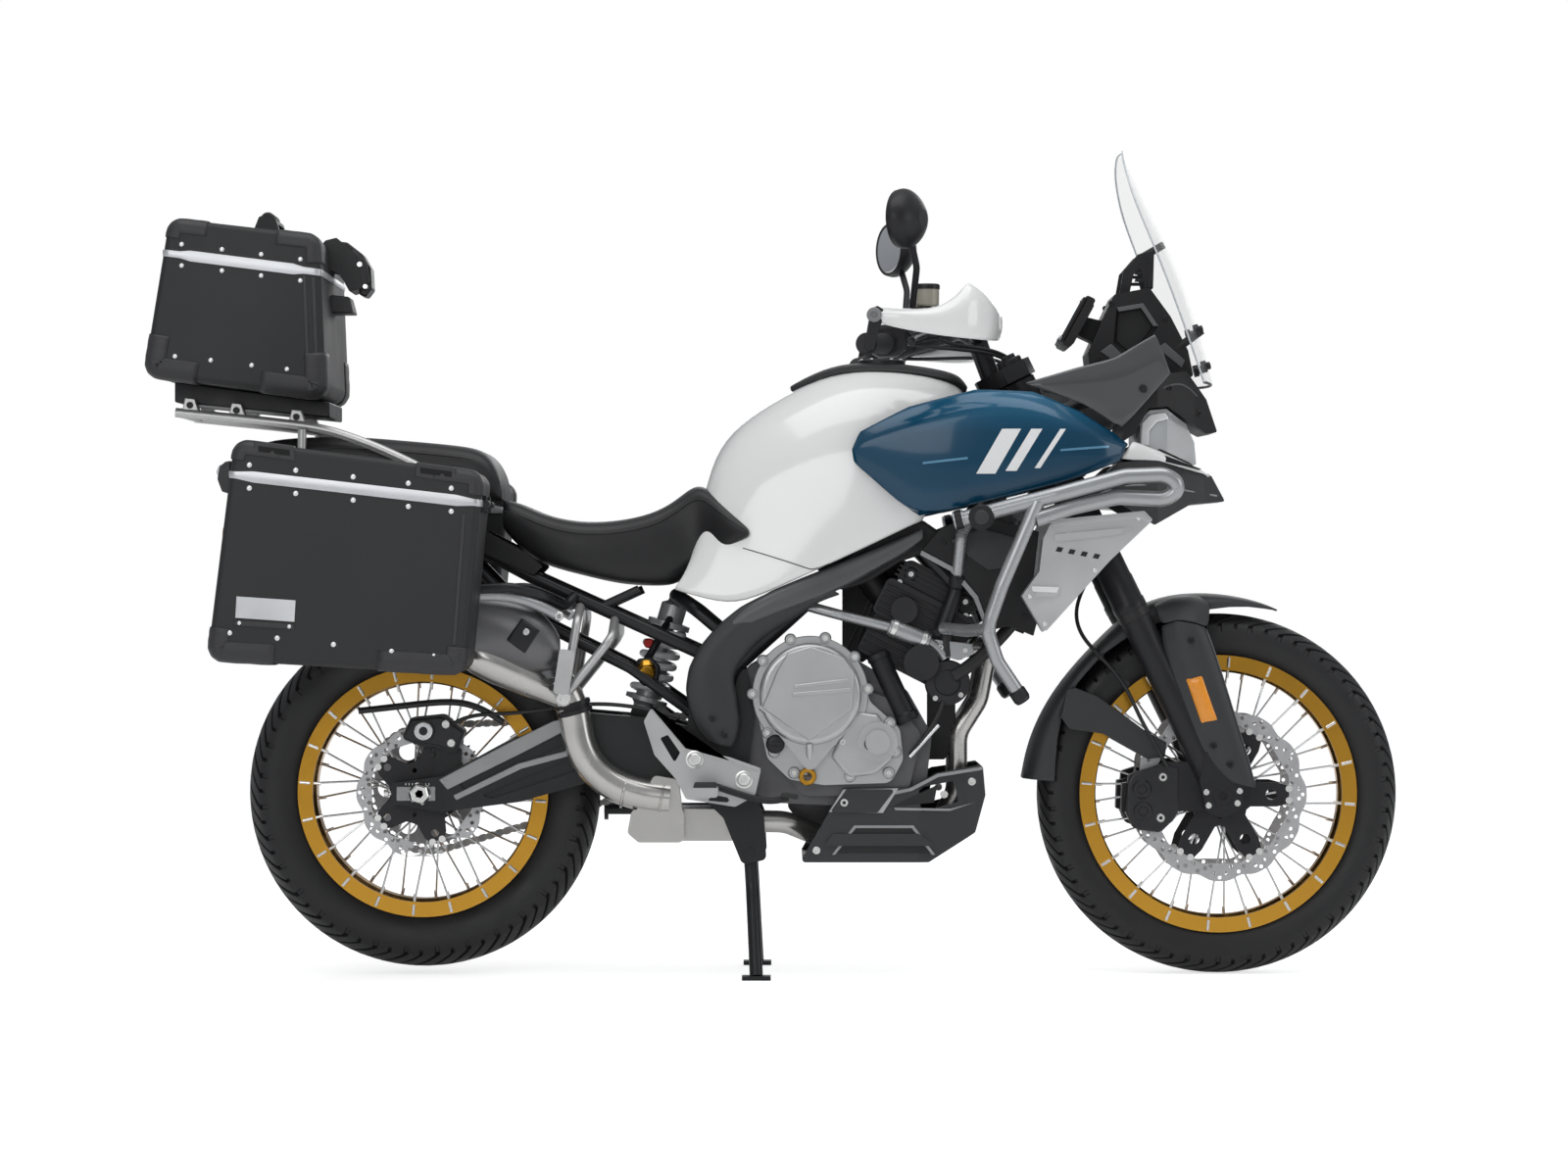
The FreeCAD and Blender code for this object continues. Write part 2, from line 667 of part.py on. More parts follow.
def shock_absorber():
    """Coil-over shock: damper body, spring rings, top and bottom eyes and a preload knob."""
    low, high = at(396, 0, 468), at(462, 0, 690)
    along = (high - low).normalize()
    length = (high - low).Length
    profile = [(0, 7), (13, 7), (13, 22), (40, 26), (40, 34)]
    turns = 5
    first, last = 40.0, length - 60.0
    pitch = (last - first) / turns
    for i in range(turns):
        z = first + i * pitch
        profile += [
            (28, z + pitch * 0.1), (38, z + pitch * 0.35), (38, z + pitch * 0.65), (28, z + pitch * 0.9),
        ]
    profile += [(40, last + 4), (40, last + 12), (21, last + 14), (21, length - 8), (0, length - 8)]
    points = [at(r, 0, z) for r, z in profile]
    body = Part.Face(Part.makePolygon(points + [points[0]])).revolve(at(0, 0, 0), at(0, 0, 1), 360)
    turn = FreeCAD.Rotation(at(0, 0, 1), along)
    body.Placement = FreeCAD.Placement(low, turn)
    eyes = [
        rod(low - at(0, 18, 0), low + at(0, 18, 0), 17.0),
        rod(high - at(0, 24, 0), high + at(0, 24, 0), 14.0),
    ]
    knob = tube([(450, -8, 650), (440, -56, 640), (400, -112, 560)], 17.0, 30.0)
    return fused(body, *eyes, knob)


# Engine
def up_cylinder(distance, forward, y=0.0):
    """A point up the cylinders' lean from the crankshaft, and forward of it."""
    a = math.radians(cylinder_lean_deg)
    return at(
        crank_x + distance * math.sin(a) + forward * math.cos(a), y,
        crank_z + distance * math.cos(a) - forward * math.sin(a),
    )


def cylinder_slab(distance_from, distance_to, back, front, half_width, radius):
    corners = [(distance_from, -back), (distance_from, front), (distance_to, front), (distance_to, -back)]
    points = [up_cylinder(d, f) for d, f in corners]
    return side_plate([(p.x, p.z) for p in points], -half_width, half_width, radius)


def crankcase():
    """Crankcase with its oil pan, gearbox end and the deck that the cylinders stand on."""
    case = [
        (560, 470), (556, 380), (600, 318), (870, 306), (915, 350), (925, 440),
        (880, 520), (760, 590), (660, 600), (590, 560),
    ]
    pan = [(650, 322), (690, 270), (850, 262), (868, 318)]
    core = side_plate(case, -122.0, 122.0, 24.0)
    bulge = side_plate(
        [(640, 400), (690, 330), (880, 330), (906, 440), (860, 500), (700, 560)], -142.0, 142.0, 26.0
    )
    sump = side_plate(pan, -8.0, 84.0, 14.0)
    shaft = rod(
        at(countershaft_x, 80, countershaft_z), at(countershaft_x, chain_y + 6, countershaft_z), 13.0
    )
    corridor = rod(at(pivot_x, -200, pivot_z), at(pivot_x, 200, pivot_z), 34.0)
    bay = 64.0
    x, z = countershaft_x, countershaft_z
    chain_bay = fused(
        rod(at(x, 84, z), at(x, 200, z), bay),
        side_plate([(x - 160, z - bay), (x, z - bay), (x, z + bay), (x - 160, z + bay)], 84.0, 200.0),
    )
    mount = rod(at(582, -frame_cheek_y - 4, 512), at(582, frame_cheek_y + 4, 512), 11.0)
    return fused(fused(core, bulge, sump).cut(corridor).cut(chain_bay), shaft, mount)


def front_sprocket():
    return sprocket(at(countershaft_x, 0, countershaft_z), chain_y, front_sprocket_teeth, 13.2, 1.1)


def cylinder_head():
    """Cylinder block with water jacket ribs, head and cam cover, throttle bodies behind."""
    block = cylinder_slab(118, 196, 84, 74, 128, 8)
    head = cylinder_slab(192, 262, 92, 86, 134, 10)
    cover = cylinder_slab(258, 308, 78, 72, 122, 16)
    ribs = [cylinder_slab(270 + 9 * i, 274 + 9 * i, 84, 78, 126, 1.5) for i in range(4)]
    intake = [
        rod(up_cylinder(228, -84, y), up_cylinder(262, -150, y), 27.0) for y in (-52, 52)
    ]
    ports = [rod(up_cylinder(226, 76, y), up_cylinder(214, 100, y), 26.0) for y in (-50, 50)]
    thermostat = rod(up_cylinder(150, 30, -120), up_cylinder(150, 30, -168), 32.0)
    elbow = rod(up_cylinder(220, -40, -120), up_cylinder(220, -40, -158), 24.0)
    mount = rod(at(938, -148, 628), at(938, 148, 628), 11.0)
    return fused(block, head, cover, *ribs, *intake, *ports, thermostat, elbow, mount)


def engine_covers():
    """Clutch and water pump cover on the right, generator and sprocket covers on the left."""
    right_from = -142.3
    flange = [
        (604, 520), (612, 470), (628, 398), (668, 360), (730, 350), (850, 354), (872, 396),
        (866, 452), (812, 500), (800, 560), (750, 606), (690, 618), (634, 588),
    ]
    base = side_plate(flange, right_from - 20, right_from, 22.0)
    dome = rod(at(705, right_from - 50, 514), at(705, right_from - 18, 514), 92.0)
    dome = dome.makeFillet(
        12.0, [e
        for e in dome.Edges if e.Curve.TypeId == "Part::GeomCircle" and e.Vertexes[0].Y < right_from - 40]
    )
    skirt = side_plate(
        [(624, 470), (704, 372), (790, 470), (760, 540), (650, 540)], right_from - 40, right_from - 18,
        12.0,
    )
    pump = rod(at(826, right_from - 42, 428), at(826, right_from - 18, 428), 36.0)
    pump_cap = rod(at(826, right_from - 54, 428), at(826, right_from - 40, 428), 22.0)
    filler = rod(at(642, right_from - 34, 424), at(642, right_from - 18, 424), 16.0)
    window = rod(at(700, right_from - 34, 366), at(700, right_from - 18, 366), 15.0)
    bosses = [
        rod(at(705 + 104 * math.cos(a), right_from - 26, 514 + 104 * math.sin(a)),
            at(705 + 104 * math.cos(a), right_from, 514 + 104 * math.sin(a)), 8.0)
        for a in (math.radians(d) for d in (5, 40, 75, 110, 145, 180))
    ]
    right = fused(base, dome, skirt, pump, pump_cap, filler, window, *bosses)
    left_from = 142.3
    crank_cover = rod(at(crank_x, left_from, crank_z), at(crank_x, left_from + 26, crank_z), 88.0)
    crank_dome = rod(at(crank_x, left_from + 24, crank_z), at(crank_x, left_from + 48, crank_z), 72.0)
    crank_dome = crank_dome.makeFillet(
        10.0, [e
        for e in crank_dome.Edges
        if e.Curve.TypeId == "Part::GeomCircle" and e.Vertexes[0].Y > left_from + 40]
    )
    gearbox = side_plate(
        [(640, 420), (700, 350), (790, 360), (760, 540), (680, 560)], left_from, left_from + 22, 20.0
    )
    left = fused(crank_cover, crank_dome, gearbox)
    return Part.makeCompound([right, left])


muffler_inlet = (244.0, -174.0, 552.0)
muffler_y = -196.0


def exhaust_pipes():
    """Two header pipes, their merge box, a collector, a flat silencer box and the link pipe."""
    headers = []
    for y in (-50, 50):
        start = up_cylinder(213.5, 101, y)
        headers.append(tube(
            [(start.x, y, start.z), (1030, y, 592), (1012, y, 500), (974, y, 440), (974, y * 0.9, 330),
             (930, y * 0.8, 246), (836, y * 0.8, 242)], 18.0, 60.0))
    merge = side_plate([(776, 222), (850, 220), (850, 258), (776, 260)], -72.0, 72.0, 9.0)
    collector = tube([(790, -34, 248), (730, -50, 250), (660, -80, 280), (570, -86, 282)], 20.0, 60.0)
    box = [(376, 264), (396, 247), (564, 247), (582, 264), (576, 304), (384, 306)]
    silencer = side_plate(box, -120.0, 34.0, 10.0)
    step = side_plate([(376, 264), (396, 247), (478, 247), (478, 308), (384, 306)], -170.0, -119.0, 10.0)
    riser = side_plate([(380, 280), (478, 280), (468, 360), (424, 368)], -170.0, -134.0, 10.0)
    link = tube(
        [
            (440, -153, 326), (366, -156, 340), (300, -159, 388), (284, -160, 466), (262, -165, 522),
            muffler_inlet,
        ],
        25.0, 70.0)
    clamp = rod(at(287.5, -159.8, 440), at(284.5, -160, 462), 28.0)
    return fused(*headers, merge, collector, silencer, step, riser, link, clamp)


def muffler():
    """Oval muffler that rises to the rear inside the right case, with a shield and a tail pipe."""
    # x, z, half width, half height
    stations = [
        (256, 592, 24, 26), (244, 598, 32, 40), (196, 618, 42, 60), (96, 640, 44, 64),
        (-236, 702, 44, 64), (-262, 707, 34, 50),
    ]
    upright = FreeCAD.Rotation(at(0, 0, 1), at(0, 1, 0), at(-1, 0, 0), "ZXY")
    wires = []
    for x, z, half_width, half_height in stations:
        wire = Part.Wire(Part.Ellipse(at(0, 0, 0), half_height, half_width).toShape())
        wire.Placement = FreeCAD.Placement(at(x, muffler_y, z), upright)
        wires.append(wire)
    nose = smooth(wires[:4])
    barrel = smooth(wires[3:5])
    tail = smooth(wires[4:])
    inlet = at(*muffler_inlet)
    inward = (at(205, muffler_y + 2, 618) - inlet).normalize()
    throat = rod(inlet + inward * seat_gap, inlet + inward * 50, 27.0)
    outlet = ring(at(-258, muffler_y, 712), at(-284, muffler_y, 718), 20.0, 16.0)
    return fused(nose, barrel, tail, throat, outlet)


def skid_plate():
    """Aluminium plate that wraps the sump: floor, raised front and two side walls."""
    outline = [
        (686, 210), (919, 210), (1004, 262), (1023, 329), (1018, 384), (933, 371), (885, 346), (764, 344),
    ]
    half_width, skin = 150.0, 5.0
    body = side_plate(outline, -half_width, half_width, 6.0)
    nose = plan_plate(both_sides([(660, half_width), (900, half_width), (990, 118), (1040, 84)]), 190, 420)
    inner = [(640, 216), (917, 216), (998, 265), (1017, 329), (1012, 450), (640, 450)]
    hollow = side_plate(inner, -half_width + skin, half_width - skin, 0.0)
    hollow_nose = plan_plate(both_sides([(630, 145), (898, 145), (986, 113), (1035, 79)]), 190, 460)
    shell = body.common(nose).cut(hollow.common(hollow_nose))
    step = side_plate([(770, 342), (858, 342), (826, 300), (740, 300)], half_width - 1, half_width + 5, 4.0)
    rib = side_plate([(745, 262), (900, 262), (930, 240), (730, 240)], half_width - 1, half_width + 4, 3.0)
    vent = side_plate(
        [(900, 345), (965, 356), (972, 318), (905, 300)], half_width - 60, half_width + 20, 4.0
    )
    shell = fused(shell, step, mirrored(step), rib, mirrored(rib))
    stays = [rod(at(858, s * 80, 268), at(858, s * 148, 250), 9.0) for s in (-1, 1)]
    shell = shell.cut(vent).cut(mirrored(vent))
    lugs = [rod(at(812, s * 134, 330), at(812, s * 147, 330), 10.0) for s in (-1, 1)]
    return fused(shell, *lugs)


radiator_half_width = 163.0


def radiator():
    """Radiator with side tanks, core fins and a fan ring behind."""
    top, bottom = at(1046, 0, 846), at(1086, 0, 640)
    lean = math.degrees(math.atan2(bottom.x - top.x, top.z - bottom.z))
    height = (top - bottom).Length
    core = Part.makeBox(26, 268, height - 40, at(-13, -134, 20))
    fins = [Part.makeBox(32, 268, 3, at(-16, -134, 28 + i * (height - 56) / 14)) for i in range(15)]
    tanks = [
        Part.makeBox(38, 30, height, at(-19, y, 0))
        for y in (-radiator_half_width, radiator_half_width - 30)
    ]
    rails = [Part.makeBox(36, 270, 20, at(-18, -135, z)) for z in (0, height - 20)]
    fan = ring(at(-12, 0, height / 2), at(-38, 0, height / 2), 88.0, 78.0)
    motor = rod(at(-12, 0, height / 2), at(-40, 0, height / 2), 26.0)
    neck = rod(at(0, -148, height - 5), at(0, -148, height + 22), 16.0)
    block = fused(core, *fins, *tanks, *rails, fan, motor, neck)
    block.Placement = FreeCAD.Placement(bottom, FreeCAD.Rotation(at(0, 1, 0), -lean))
    lugs = [rod(at(1040, s * 118, 802), at(986, s * 112, 808), 8.0) for s in (-1, 1)]
    return fused(block, *lugs)


def radiator_shrouds():
    """Brushed side plates in front of the radiator, with a folded rib and a turned-in rear edge."""
    outline = [
        (1136, 826), (1300, 842), (1316, 826), (1239, 753), (1124, 626), (1082, 690), (1113, 734),
        (1120, 792),
    ]
    plate = side_plate(outline, 222.0, 230.0, 4.0)
    rib = side_plate([(1140, 800), (1270, 812), (1258, 800), (1142, 786)], 229.0, 236.0, 3.0)
    lower_rib = side_plate([(1108, 700), (1150, 702), (1146, 690), (1106, 688)], 229.0, 235.0, 3.0)
    edge_outline = [
        (1120, 792), (1132, 790), (1126, 734), (1096, 690), (1130, 634), (1120, 626), (1082, 690),
        (1113, 734),
    ]
    edge = side_plate(edge_outline, radiator_half_width + seat_gap, 223.0)
    return pair(fused(plate, rib, lower_rib, edge))


def crash_bars():
    """Engine bars: a looped upper tube, a cranked down tube and stays to the frame and engine."""
    upper = [
        (974, 255, 827), (1141, 268, 870), (1262, 268, 903), (1338, 264, 906), (1362, 260, 884),
        (1338, 256, 862), (1250, 254, 866), (1170, 258, 848), (1104, 266, 826),
    ]
    down = [(1108, 268, 858), (1044, 268, 708), (1018, 264, 631), (1037, 256, 574), (1077, 244, 515)]
    rear_stay = [(990, 258, 830), (975, 200, 800), (968, 156, 712)]
    lower_stay = [(1018, 264, 631), (985, 214, 628), (944, 162, 632)]
    half = fused(
        tube(upper, 14.0, 60.0), tube(down, 12.5, 60.0), tube(rear_stay, 10.0),
        tube(lower_stay, 11.0), rod(at(960, 254, 824), at(978, 256, 828), 16.0), rod(
            at(1072, 245, 522), at(1082, 243, 506), 14.5
        ),
    )
    return pair(half)


# Bodywork
def tank_section(x, z_low, z_shoulder, z_top, half_low, half_shoulder):
    low_left, low_right = at(x, half_low, z_low), at(x, -half_low, z_low)
    high_left, high_right = at(x, half_shoulder, z_shoulder), at(x, -half_shoulder, z_shoulder)
    crown = Part.Arc(high_left, at(x, 0, z_top), high_right).toShape()
    return Part.Wire([
        Part.LineSegment(low_right, low_left).toShape(), Part.LineSegment(low_left, high_left).toShape(),
        crown, Part.LineSegment(high_right, low_right).toShape(),
    ])


def fuel_tank():
    """Fuel tank cover with its lower side wings, one painted shell."""
    # x, z low, z shoulder, z top, half width low, half width at the shoulder
    stations = [
        (512, 790, 846, 900, 84, 92), (570, 768, 900, 992, 122, 128), (660, 762, 960, 1056, 156, 168),
        (780, 800, 990, 1106, 176, 188), (890, 850, 996, 1104, 172, 184), (966, 880, 985, 1082, 148, 158),
    ]
    body = smooth([tank_section(*s) for s in stations])
    wing_outline = [
        (460, 708), (570, 675), (682, 727), (895, 821), (880, 862), (800, 900), (660, 905), (606, 806),
        (592, 790),
    ]
    wing = side_plate(wing_outline, 148.0, 190.0, [8, 10, 30, 8, 8, 20, 20, 10, 12])
    bevel = Part.makeLoft([
        rounded_wire([at(x, 189.9, z) for x, z in wing_outline], 6.0),
        rounded_wire([at(x * 0.97 + 20.0, 196.0, z * 0.94 + 46.0) for x, z in wing_outline], 5.0),
    ], True, True)
    wing = fused(wing, bevel)
    spar_room = tube(spar_route, spar_radius + seat_gap, spar_bend)
    whole = fused(body, wing, mirrored(wing)).cut(spar_room).cut(mirrored(spar_room))
    return max(whole.Solids, key=lambda solid: solid.Volume)


def tank_side_panels(tank):
    """Blue side panels: a faceted shell with an upper bevel that leans in over the tank."""
    # x, z low, z crease, z high, outer half width, inner half width
    stations = [
        (782, 936, 944, 952, 203, 200), (894, 830, 984, 1014, 232, 200), (1016, 862, 1030, 1060, 240, 208),
        (
            1112, 884, 1020, 1050, 240, 212
        ), (1205, 912, 998, 1030, 228, 200), (1268, 938, 962, 984, 206, 186),
    ]
    sections = []
    for x, low, crease, high, outer, inner in stations:
        sections.append([
            at(x, inner, low), at(x, outer - 4, low), at(x, outer, low + 0.35 * (crease - low)),
            at(x, outer - 5, crease), at(x, inner + 0.35 * (outer - inner), high), at(x, inner, high),
        ])
    post = rod(at(930, 150, 930), at(930, 206, 930), 12.0)
    return pair(fused(ruled(sections), post).cut(tank))


def tank_top_trim(tank):
    """Black centre trim on the tank, with the filler cap."""
    band = [(676, 1040), (676, 1072), (758, 1112), (800, 1118), (900, 1114), (966, 1096), (966, 1040)]
    block = side_plate(band, -120.0, 120.0)
    plan = plan_plate(both_sides([(668, 26), (720, 62), (880, 70), (974, 58)]), 1020, 1150)
    cap = rod(at(836, 0, 1090), at(836, 0, 1124), 34.0)
    return fused(block.common(plan), cap).cut(tank)


def seat(tank):
    """One-piece seat: a low rider's saddle that rises to a raised pillion pad."""
    outline = [
        (603, 804), (590, 790), (455, 722), (372, 722), (210, 762), (140, 850), (60, 884), (-300, 904),
        (-318, 944), (-290, 982), (-138, 982), (104, 962), (142, 934), (156, 868), (204, 848), (252, 832),
        (306, 826), (362, 828), (417, 840), (456, 858), (500, 893), (526, 878),
    ]
    block = side_plate(outline, -160.0, 160.0)
    plan = plan_plate(
        both_sides([(-330, 112), (-260, 136), (120, 146), (250, 152), (400, 136), (500, 118), (610, 196)]),
        650, 1050,
    )
    body = block.common(plan)
    gap = Part.makeBox(300, 180, 600, at(508, -90, 600))
    shape = body.cut(gap).cut(tank)
    return max(shape.Solids, key=lambda solid: solid.Volume)


def tail_unit():
    """Tail: undertray, side cowls, tail lamp, mudguard and number plate carrier, hugger."""
    tray = [
        (170, 776), (40, 830), (-110, 862), (-298, 870), (-340, 858), (-330, 826), (-290, 820), (-100, 802),
        (60, 762), (160, 742),
    ]
    body = side_plate(tray, -96.0, 96.0, 6.0)
    cowl = side_plate(
        [(206, 728), (118, 766), (96, 790), (110, 812), (190, 770), (222, 744)], 126.0, 140.0, 4.0
    )
    cowl_post = rod(at(150, 90, 776), at(150, 130, 776), 8.0)
    lamp = plan_plate(both_sides([(-352, 54), (-330, 70)]), 832, 860)
    guard = ruled([
        [at(-318, -70, 836), at(-300, -70, 822), at(-300, 70, 822), at(-318, 70, 836)],
        [at(-356, -62, 640), at(-346, -62, 636), at(-346, 62, 636), at(-356, 62, 640)],
    ])
    plate = ruled([
        [at(-362, -100, 760), at(-354, -100, 762), at(-354, 100, 762), at(-362, 100, 760)],
        [at(-374, -100, 640), at(-366, -100, 638), at(-366, 100, 638), at(-374, 100, 640)],
    ])
    plate_arm = rod(at(-326, 0, 745), at(-360, 0, 742), 10.0)
    stems = [rod(at(-330, s * 60, 800), at(-334, s * 150, 800), 7.0) for s in (-1, 1)]
    blinkers = [rod(at(-350, s * 150, 800), at(-306, s * 150, 800), 18.0) for s in (-1, 1)]
    whole = fused(
        body, cowl, mirrored(cowl), cowl_post, mirrored(cowl_post), lamp, guard, plate, plate_arm, *stems,
        *blinkers
    )
    rails = subframe_space()
    return whole.cut(rails)


def subframe_space():
    """Room for the rear frame's rails and cross tubes, a little larger than they are."""
    route = rail_route[:-1] + [(-310, 103.6, 846.5)]
    rails = tube(route, rail_radius + seat_gap, rail_bend)
    return fused(rails, mirrored(rails), *cross_tube_rods(seat_gap))


def side_rack():
    """Tubular rack that carries one side case, held by the rear frame."""
    y = rack_y
    loop = [
        (20, y, 846), (-240, y, 874), (-284, y, 850), (-292, y, 700), (-262, y, 676), (70, y, 640),
        (92, y, 672), (84, y, 836), (20, y, 846),
    ]
    lower_arm = [(84, y, 700), (172, y - 2, 706), (228, 222, 690), (262, 160, 668), (280, 134, 690)]
    upper_arm = [(-60, y, 853), (-60, 190, 862), (-60, 120, 830)]
    return fused(
        tube(loop[:5], rack_tube_radius, 24.0), tube(loop[4:7], rack_tube_radius, 24.0),
        tube([loop[6], loop[7], loop[8]], rack_tube_radius, 14.0),
        tube(lower_arm, rack_tube_radius, 50.0), tube(upper_arm, 8.0),
        rod(at(-90, y, 856), at(-100, y, 662), 7.0),
    )


def top_rack():
    """Grab rails that run back into the top case's carrier, with its cross tubes and plate."""
    rail = [(70, 156, 884), (-24, 156, 934), (-86, 154, 962), (-175, 146, 992), (-440, 132, 1021)]
    strut = [(-210, 150, 990), (-212, 150, 868), (-214, 112, 842)]
    foot = [(74, 156, 880), (74, 152, 848), (66, 119, 804)]
    half = fused(tube(rail, rack_tube_radius, 60.0), tube(strut, 8.0, 20.0), tube(foot, 8.0, 20.0))
    cross = [rod(at(x, -136, z), at(x, 136, z), 8.0) for x, z in ((-200, 995), (-432, 1020))]
    line = [top_case_corners[0], top_case_corners[1]]
    lower = seat_gap
    plate = side_plate(
        [
            (-444, 1024), (-444, along_line(line, -444) - lower), (-164, along_line(line, -164) - lower),
            (-164, 992),
        ],
        -118.0, 118.0, 4.0)
    return fused(half, mirrored(half), *cross, plate)


def footrests():
    """Rider's footrest hangers with pegs and pedals, and the pillion hangers with folded pegs."""
    hanger = [
        (421, 492), (477, 440), (482, 418), (560, 402), (617, 382), (606, 333), (570, 313), (482, 327),
        (465, 362), (426, 406), (407, 466),
    ]
    plate = side_plate(hanger, 200.0, 210.0, 7.0)
    window = side_plate([(450, 442), (472, 410), (462, 392), (436, 436)], 190, 220, 3.0)
    plate = plate.cut(window)
    bosses = [rod(at(x, 138.3, z), at(x, 214, z), 13.0) for x, z in ((498, 398), (586, 362))]
    peg = fused(
        rod(at(518, 206, 338), at(518, 246, 338), 11.0),
        side_plate([(494, 352), (542, 352), (540, 334), (496, 334)], 240.0, 308.0, 5.0),
    )
    rider = fused(plate, *bosses, peg)
    arm_a = tube([(290, 136, 670), (288, 208, 646), (266, 214, 518)], 8.0, 30.0)
    arm_b = tube([(352, 132, 646), (350, 208, 616), (270, 214, 516)], 8.0, 30.0)
    knuckle = rod(at(264, 206, 508), at(264, 232, 508), 15.0)
    folded_peg = side_plate([(246, 516), (274, 514), (286, 592), (258, 596)], 224.0, 240.0, 6.0)
    return rider, fused(arm_a, arm_b, knuckle, folded_peg)


# Front of the machine
def steering_room():
    """The space that the fork legs and clamps sweep about the steering axis."""
    return rod(along_fork(560), along_fork(upper_clamp_at + 90), fork_half_spacing + slider_radius + 12)


def front_fairing():
    """Headlamp cowl, instrument tower with its display, and the screen's bracket."""
    cowl = [
        (1262, 964), (1286, 1052), (1352, 1092), (1384, 1096), (1424, 1046), (1446, 988), (1424, 984),
        (1388, 1006), (1348, 1032), (1314, 1028), (1288, 982),
    ]
    cowl_plan = both_sides([(1255, 176), (1330, 160), (1400, 118), (1452, 60)])
    cowl_body = side_plate(cowl, -180.0, 180.0, 3.0).common(plan_plate(cowl_plan, 900, 1150))
    tower = [
        (1214, 1100), (1210, 1132), (1238, 1196), (1258, 1238), (1322, 1250), (1360, 1198), (1392, 1136),
        (1402, 1088), (1352, 1080), (1290, 1046),
    ]
    tower_body = side_plate(tower, -78.0, 78.0, 6.0)
    notch = side_plate(
        [(1262, 1214), (1310, 1222), (1338, 1180), (1292, 1120), (1256, 1150)], 60.0, 90.0, 6.0
    )
    tower_body = tower_body.cut(notch).cut(mirrored(notch))
    display = side_plate([(1160, 1150), (1207, 1236), (1224, 1228), (1178, 1141)], -92.0, 92.0, 5.0)
    display_neck = side_plate([(1190, 1168), (1208, 1200), (1250, 1190), (1228, 1150)], -30.0, 30.0, 4.0)
    posts = [
        side_plate(
            [
                (1268, 1236), (1276, 1282), (1302, 1312), (1322, 1316), (1330, 1250), (1318, 1244),
                (1308, 1290), (1292, 1272), (1286, 1240),
            ],
            y, y + 8, 2.0,
        )
        for y in (-58, 50)
    ]
    bar = rod(at(1310, -58, 1306), at(1310, 58, 1306), 7.0)
    grip = rod(at(1312, -50, 1308), at(1350, -50, 1330), 7.0)
    stays = [rod(at(1360, s * 68, 1130), at(1417, s * 82, 1172), 7.0) for s in (-1, 1)]
    return fused(cowl_body, tower_body, display, display_neck, *posts, bar, grip, *stays)


def nose_panels():
    """White side fins over the dark beak below the headlamp."""
    fin = [(1262, 936), (1284, 970), (1330, 952), (1416, 918), (1432, 906), (1330, 934)]
    fin_plan = both_sides([(1255, 188), (1330, 168), (1440, 96)])
    fin_body = side_plate(fin, -190.0, 190.0, 2.0).common(plan_plate(fin_plan, 880, 1000))
    beak = [
        (1150, 832), (1256, 929), (1326, 937), (1434, 908), (1462, 862), (1394, 856), (1325, 818),
        (1262, 856),
    ]
    beak_plan = both_sides([(1140, 206), (1256, 186), (1330, 160), (1420, 96), (1470, 40)])
    beak_body = side_plate(beak, -210.0, 210.0, 3.0).common(plan_plate(beak_plan, 780, 960))
    inner_plan = both_sides([(1130, 190), (1256, 168), (1330, 140), (1400, 84)])
    inner = plan_plate(inner_plan, 780, 915)
    beak_shell = beak_body.cut(inner).cut(steering_room())
    return fin_body.cut(beak_shell), beak_shell


def headlight():
    """Headlamp: a curved lens unit between the cowl and the beak."""
    body = side_plate(
        [
            (1300, 955), (1300, 1008), (1318, 1025), (1348, 1028), (1386, 1001), (1402, 968), (1406, 926),
            (1336, 956),
        ],
        -140.0, 140.0, 3.0,
    )
    plan = plan_plate(both_sides([(1290, 138), (1350, 126), (1410, 84)]), 900, 1050)
    return body.common(plan)


def windscreen():
    """Tall curved screen, 4 mm thick, narrowing to a rounded top."""
    # z, x at the middle, half width, how far back the edges lie
    stations = [
        (1076, 1444, 130, 26), (1180, 1418, 176, 40), (1300, 1376, 186, 44), (1400, 1326, 162, 36),
        (1470, 1294, 118, 20), (1502, 1280, 62, 6),
    ]
    thick = 4.0
    wires = []
    for z, x, half, back in stations:
        outer = Part.Arc(at(x - back, -half, z), at(x, 0, z), at(x - back, half, z)).toShape()
        inner = Part.Arc(
            at(x - back - thick, half, z), at(x - thick, 0, z), at(x - back - thick, -half, z)
        ).toShape()
        wires.append(Part.Wire([
            outer, Part.LineSegment(at(x - back, half, z), at(x - back - thick, half, z)).toShape(),
            inner, Part.LineSegment(at(x - back - thick, -half, z), at(x - back, -half, z)).toShape(),
        ]))
    return smooth(wires)


def wind_deflectors():
    """Smoked side deflectors between the cowl and the tank panels, folded along a crease."""
    outline = [
        (1086, 1074), (1180, 1103), (1248, 1120), (1326, 1168), (1354, 1094), (1284, 1052), (1264, 986),
        (1192, 1034),
    ]
    plate = side_plate(outline, 178.0, 184.0, 3.0)
    boss = rod(at(1302, 150, 1062), at(1302, 179, 1062), 9.0)
    return fused(plate, boss)


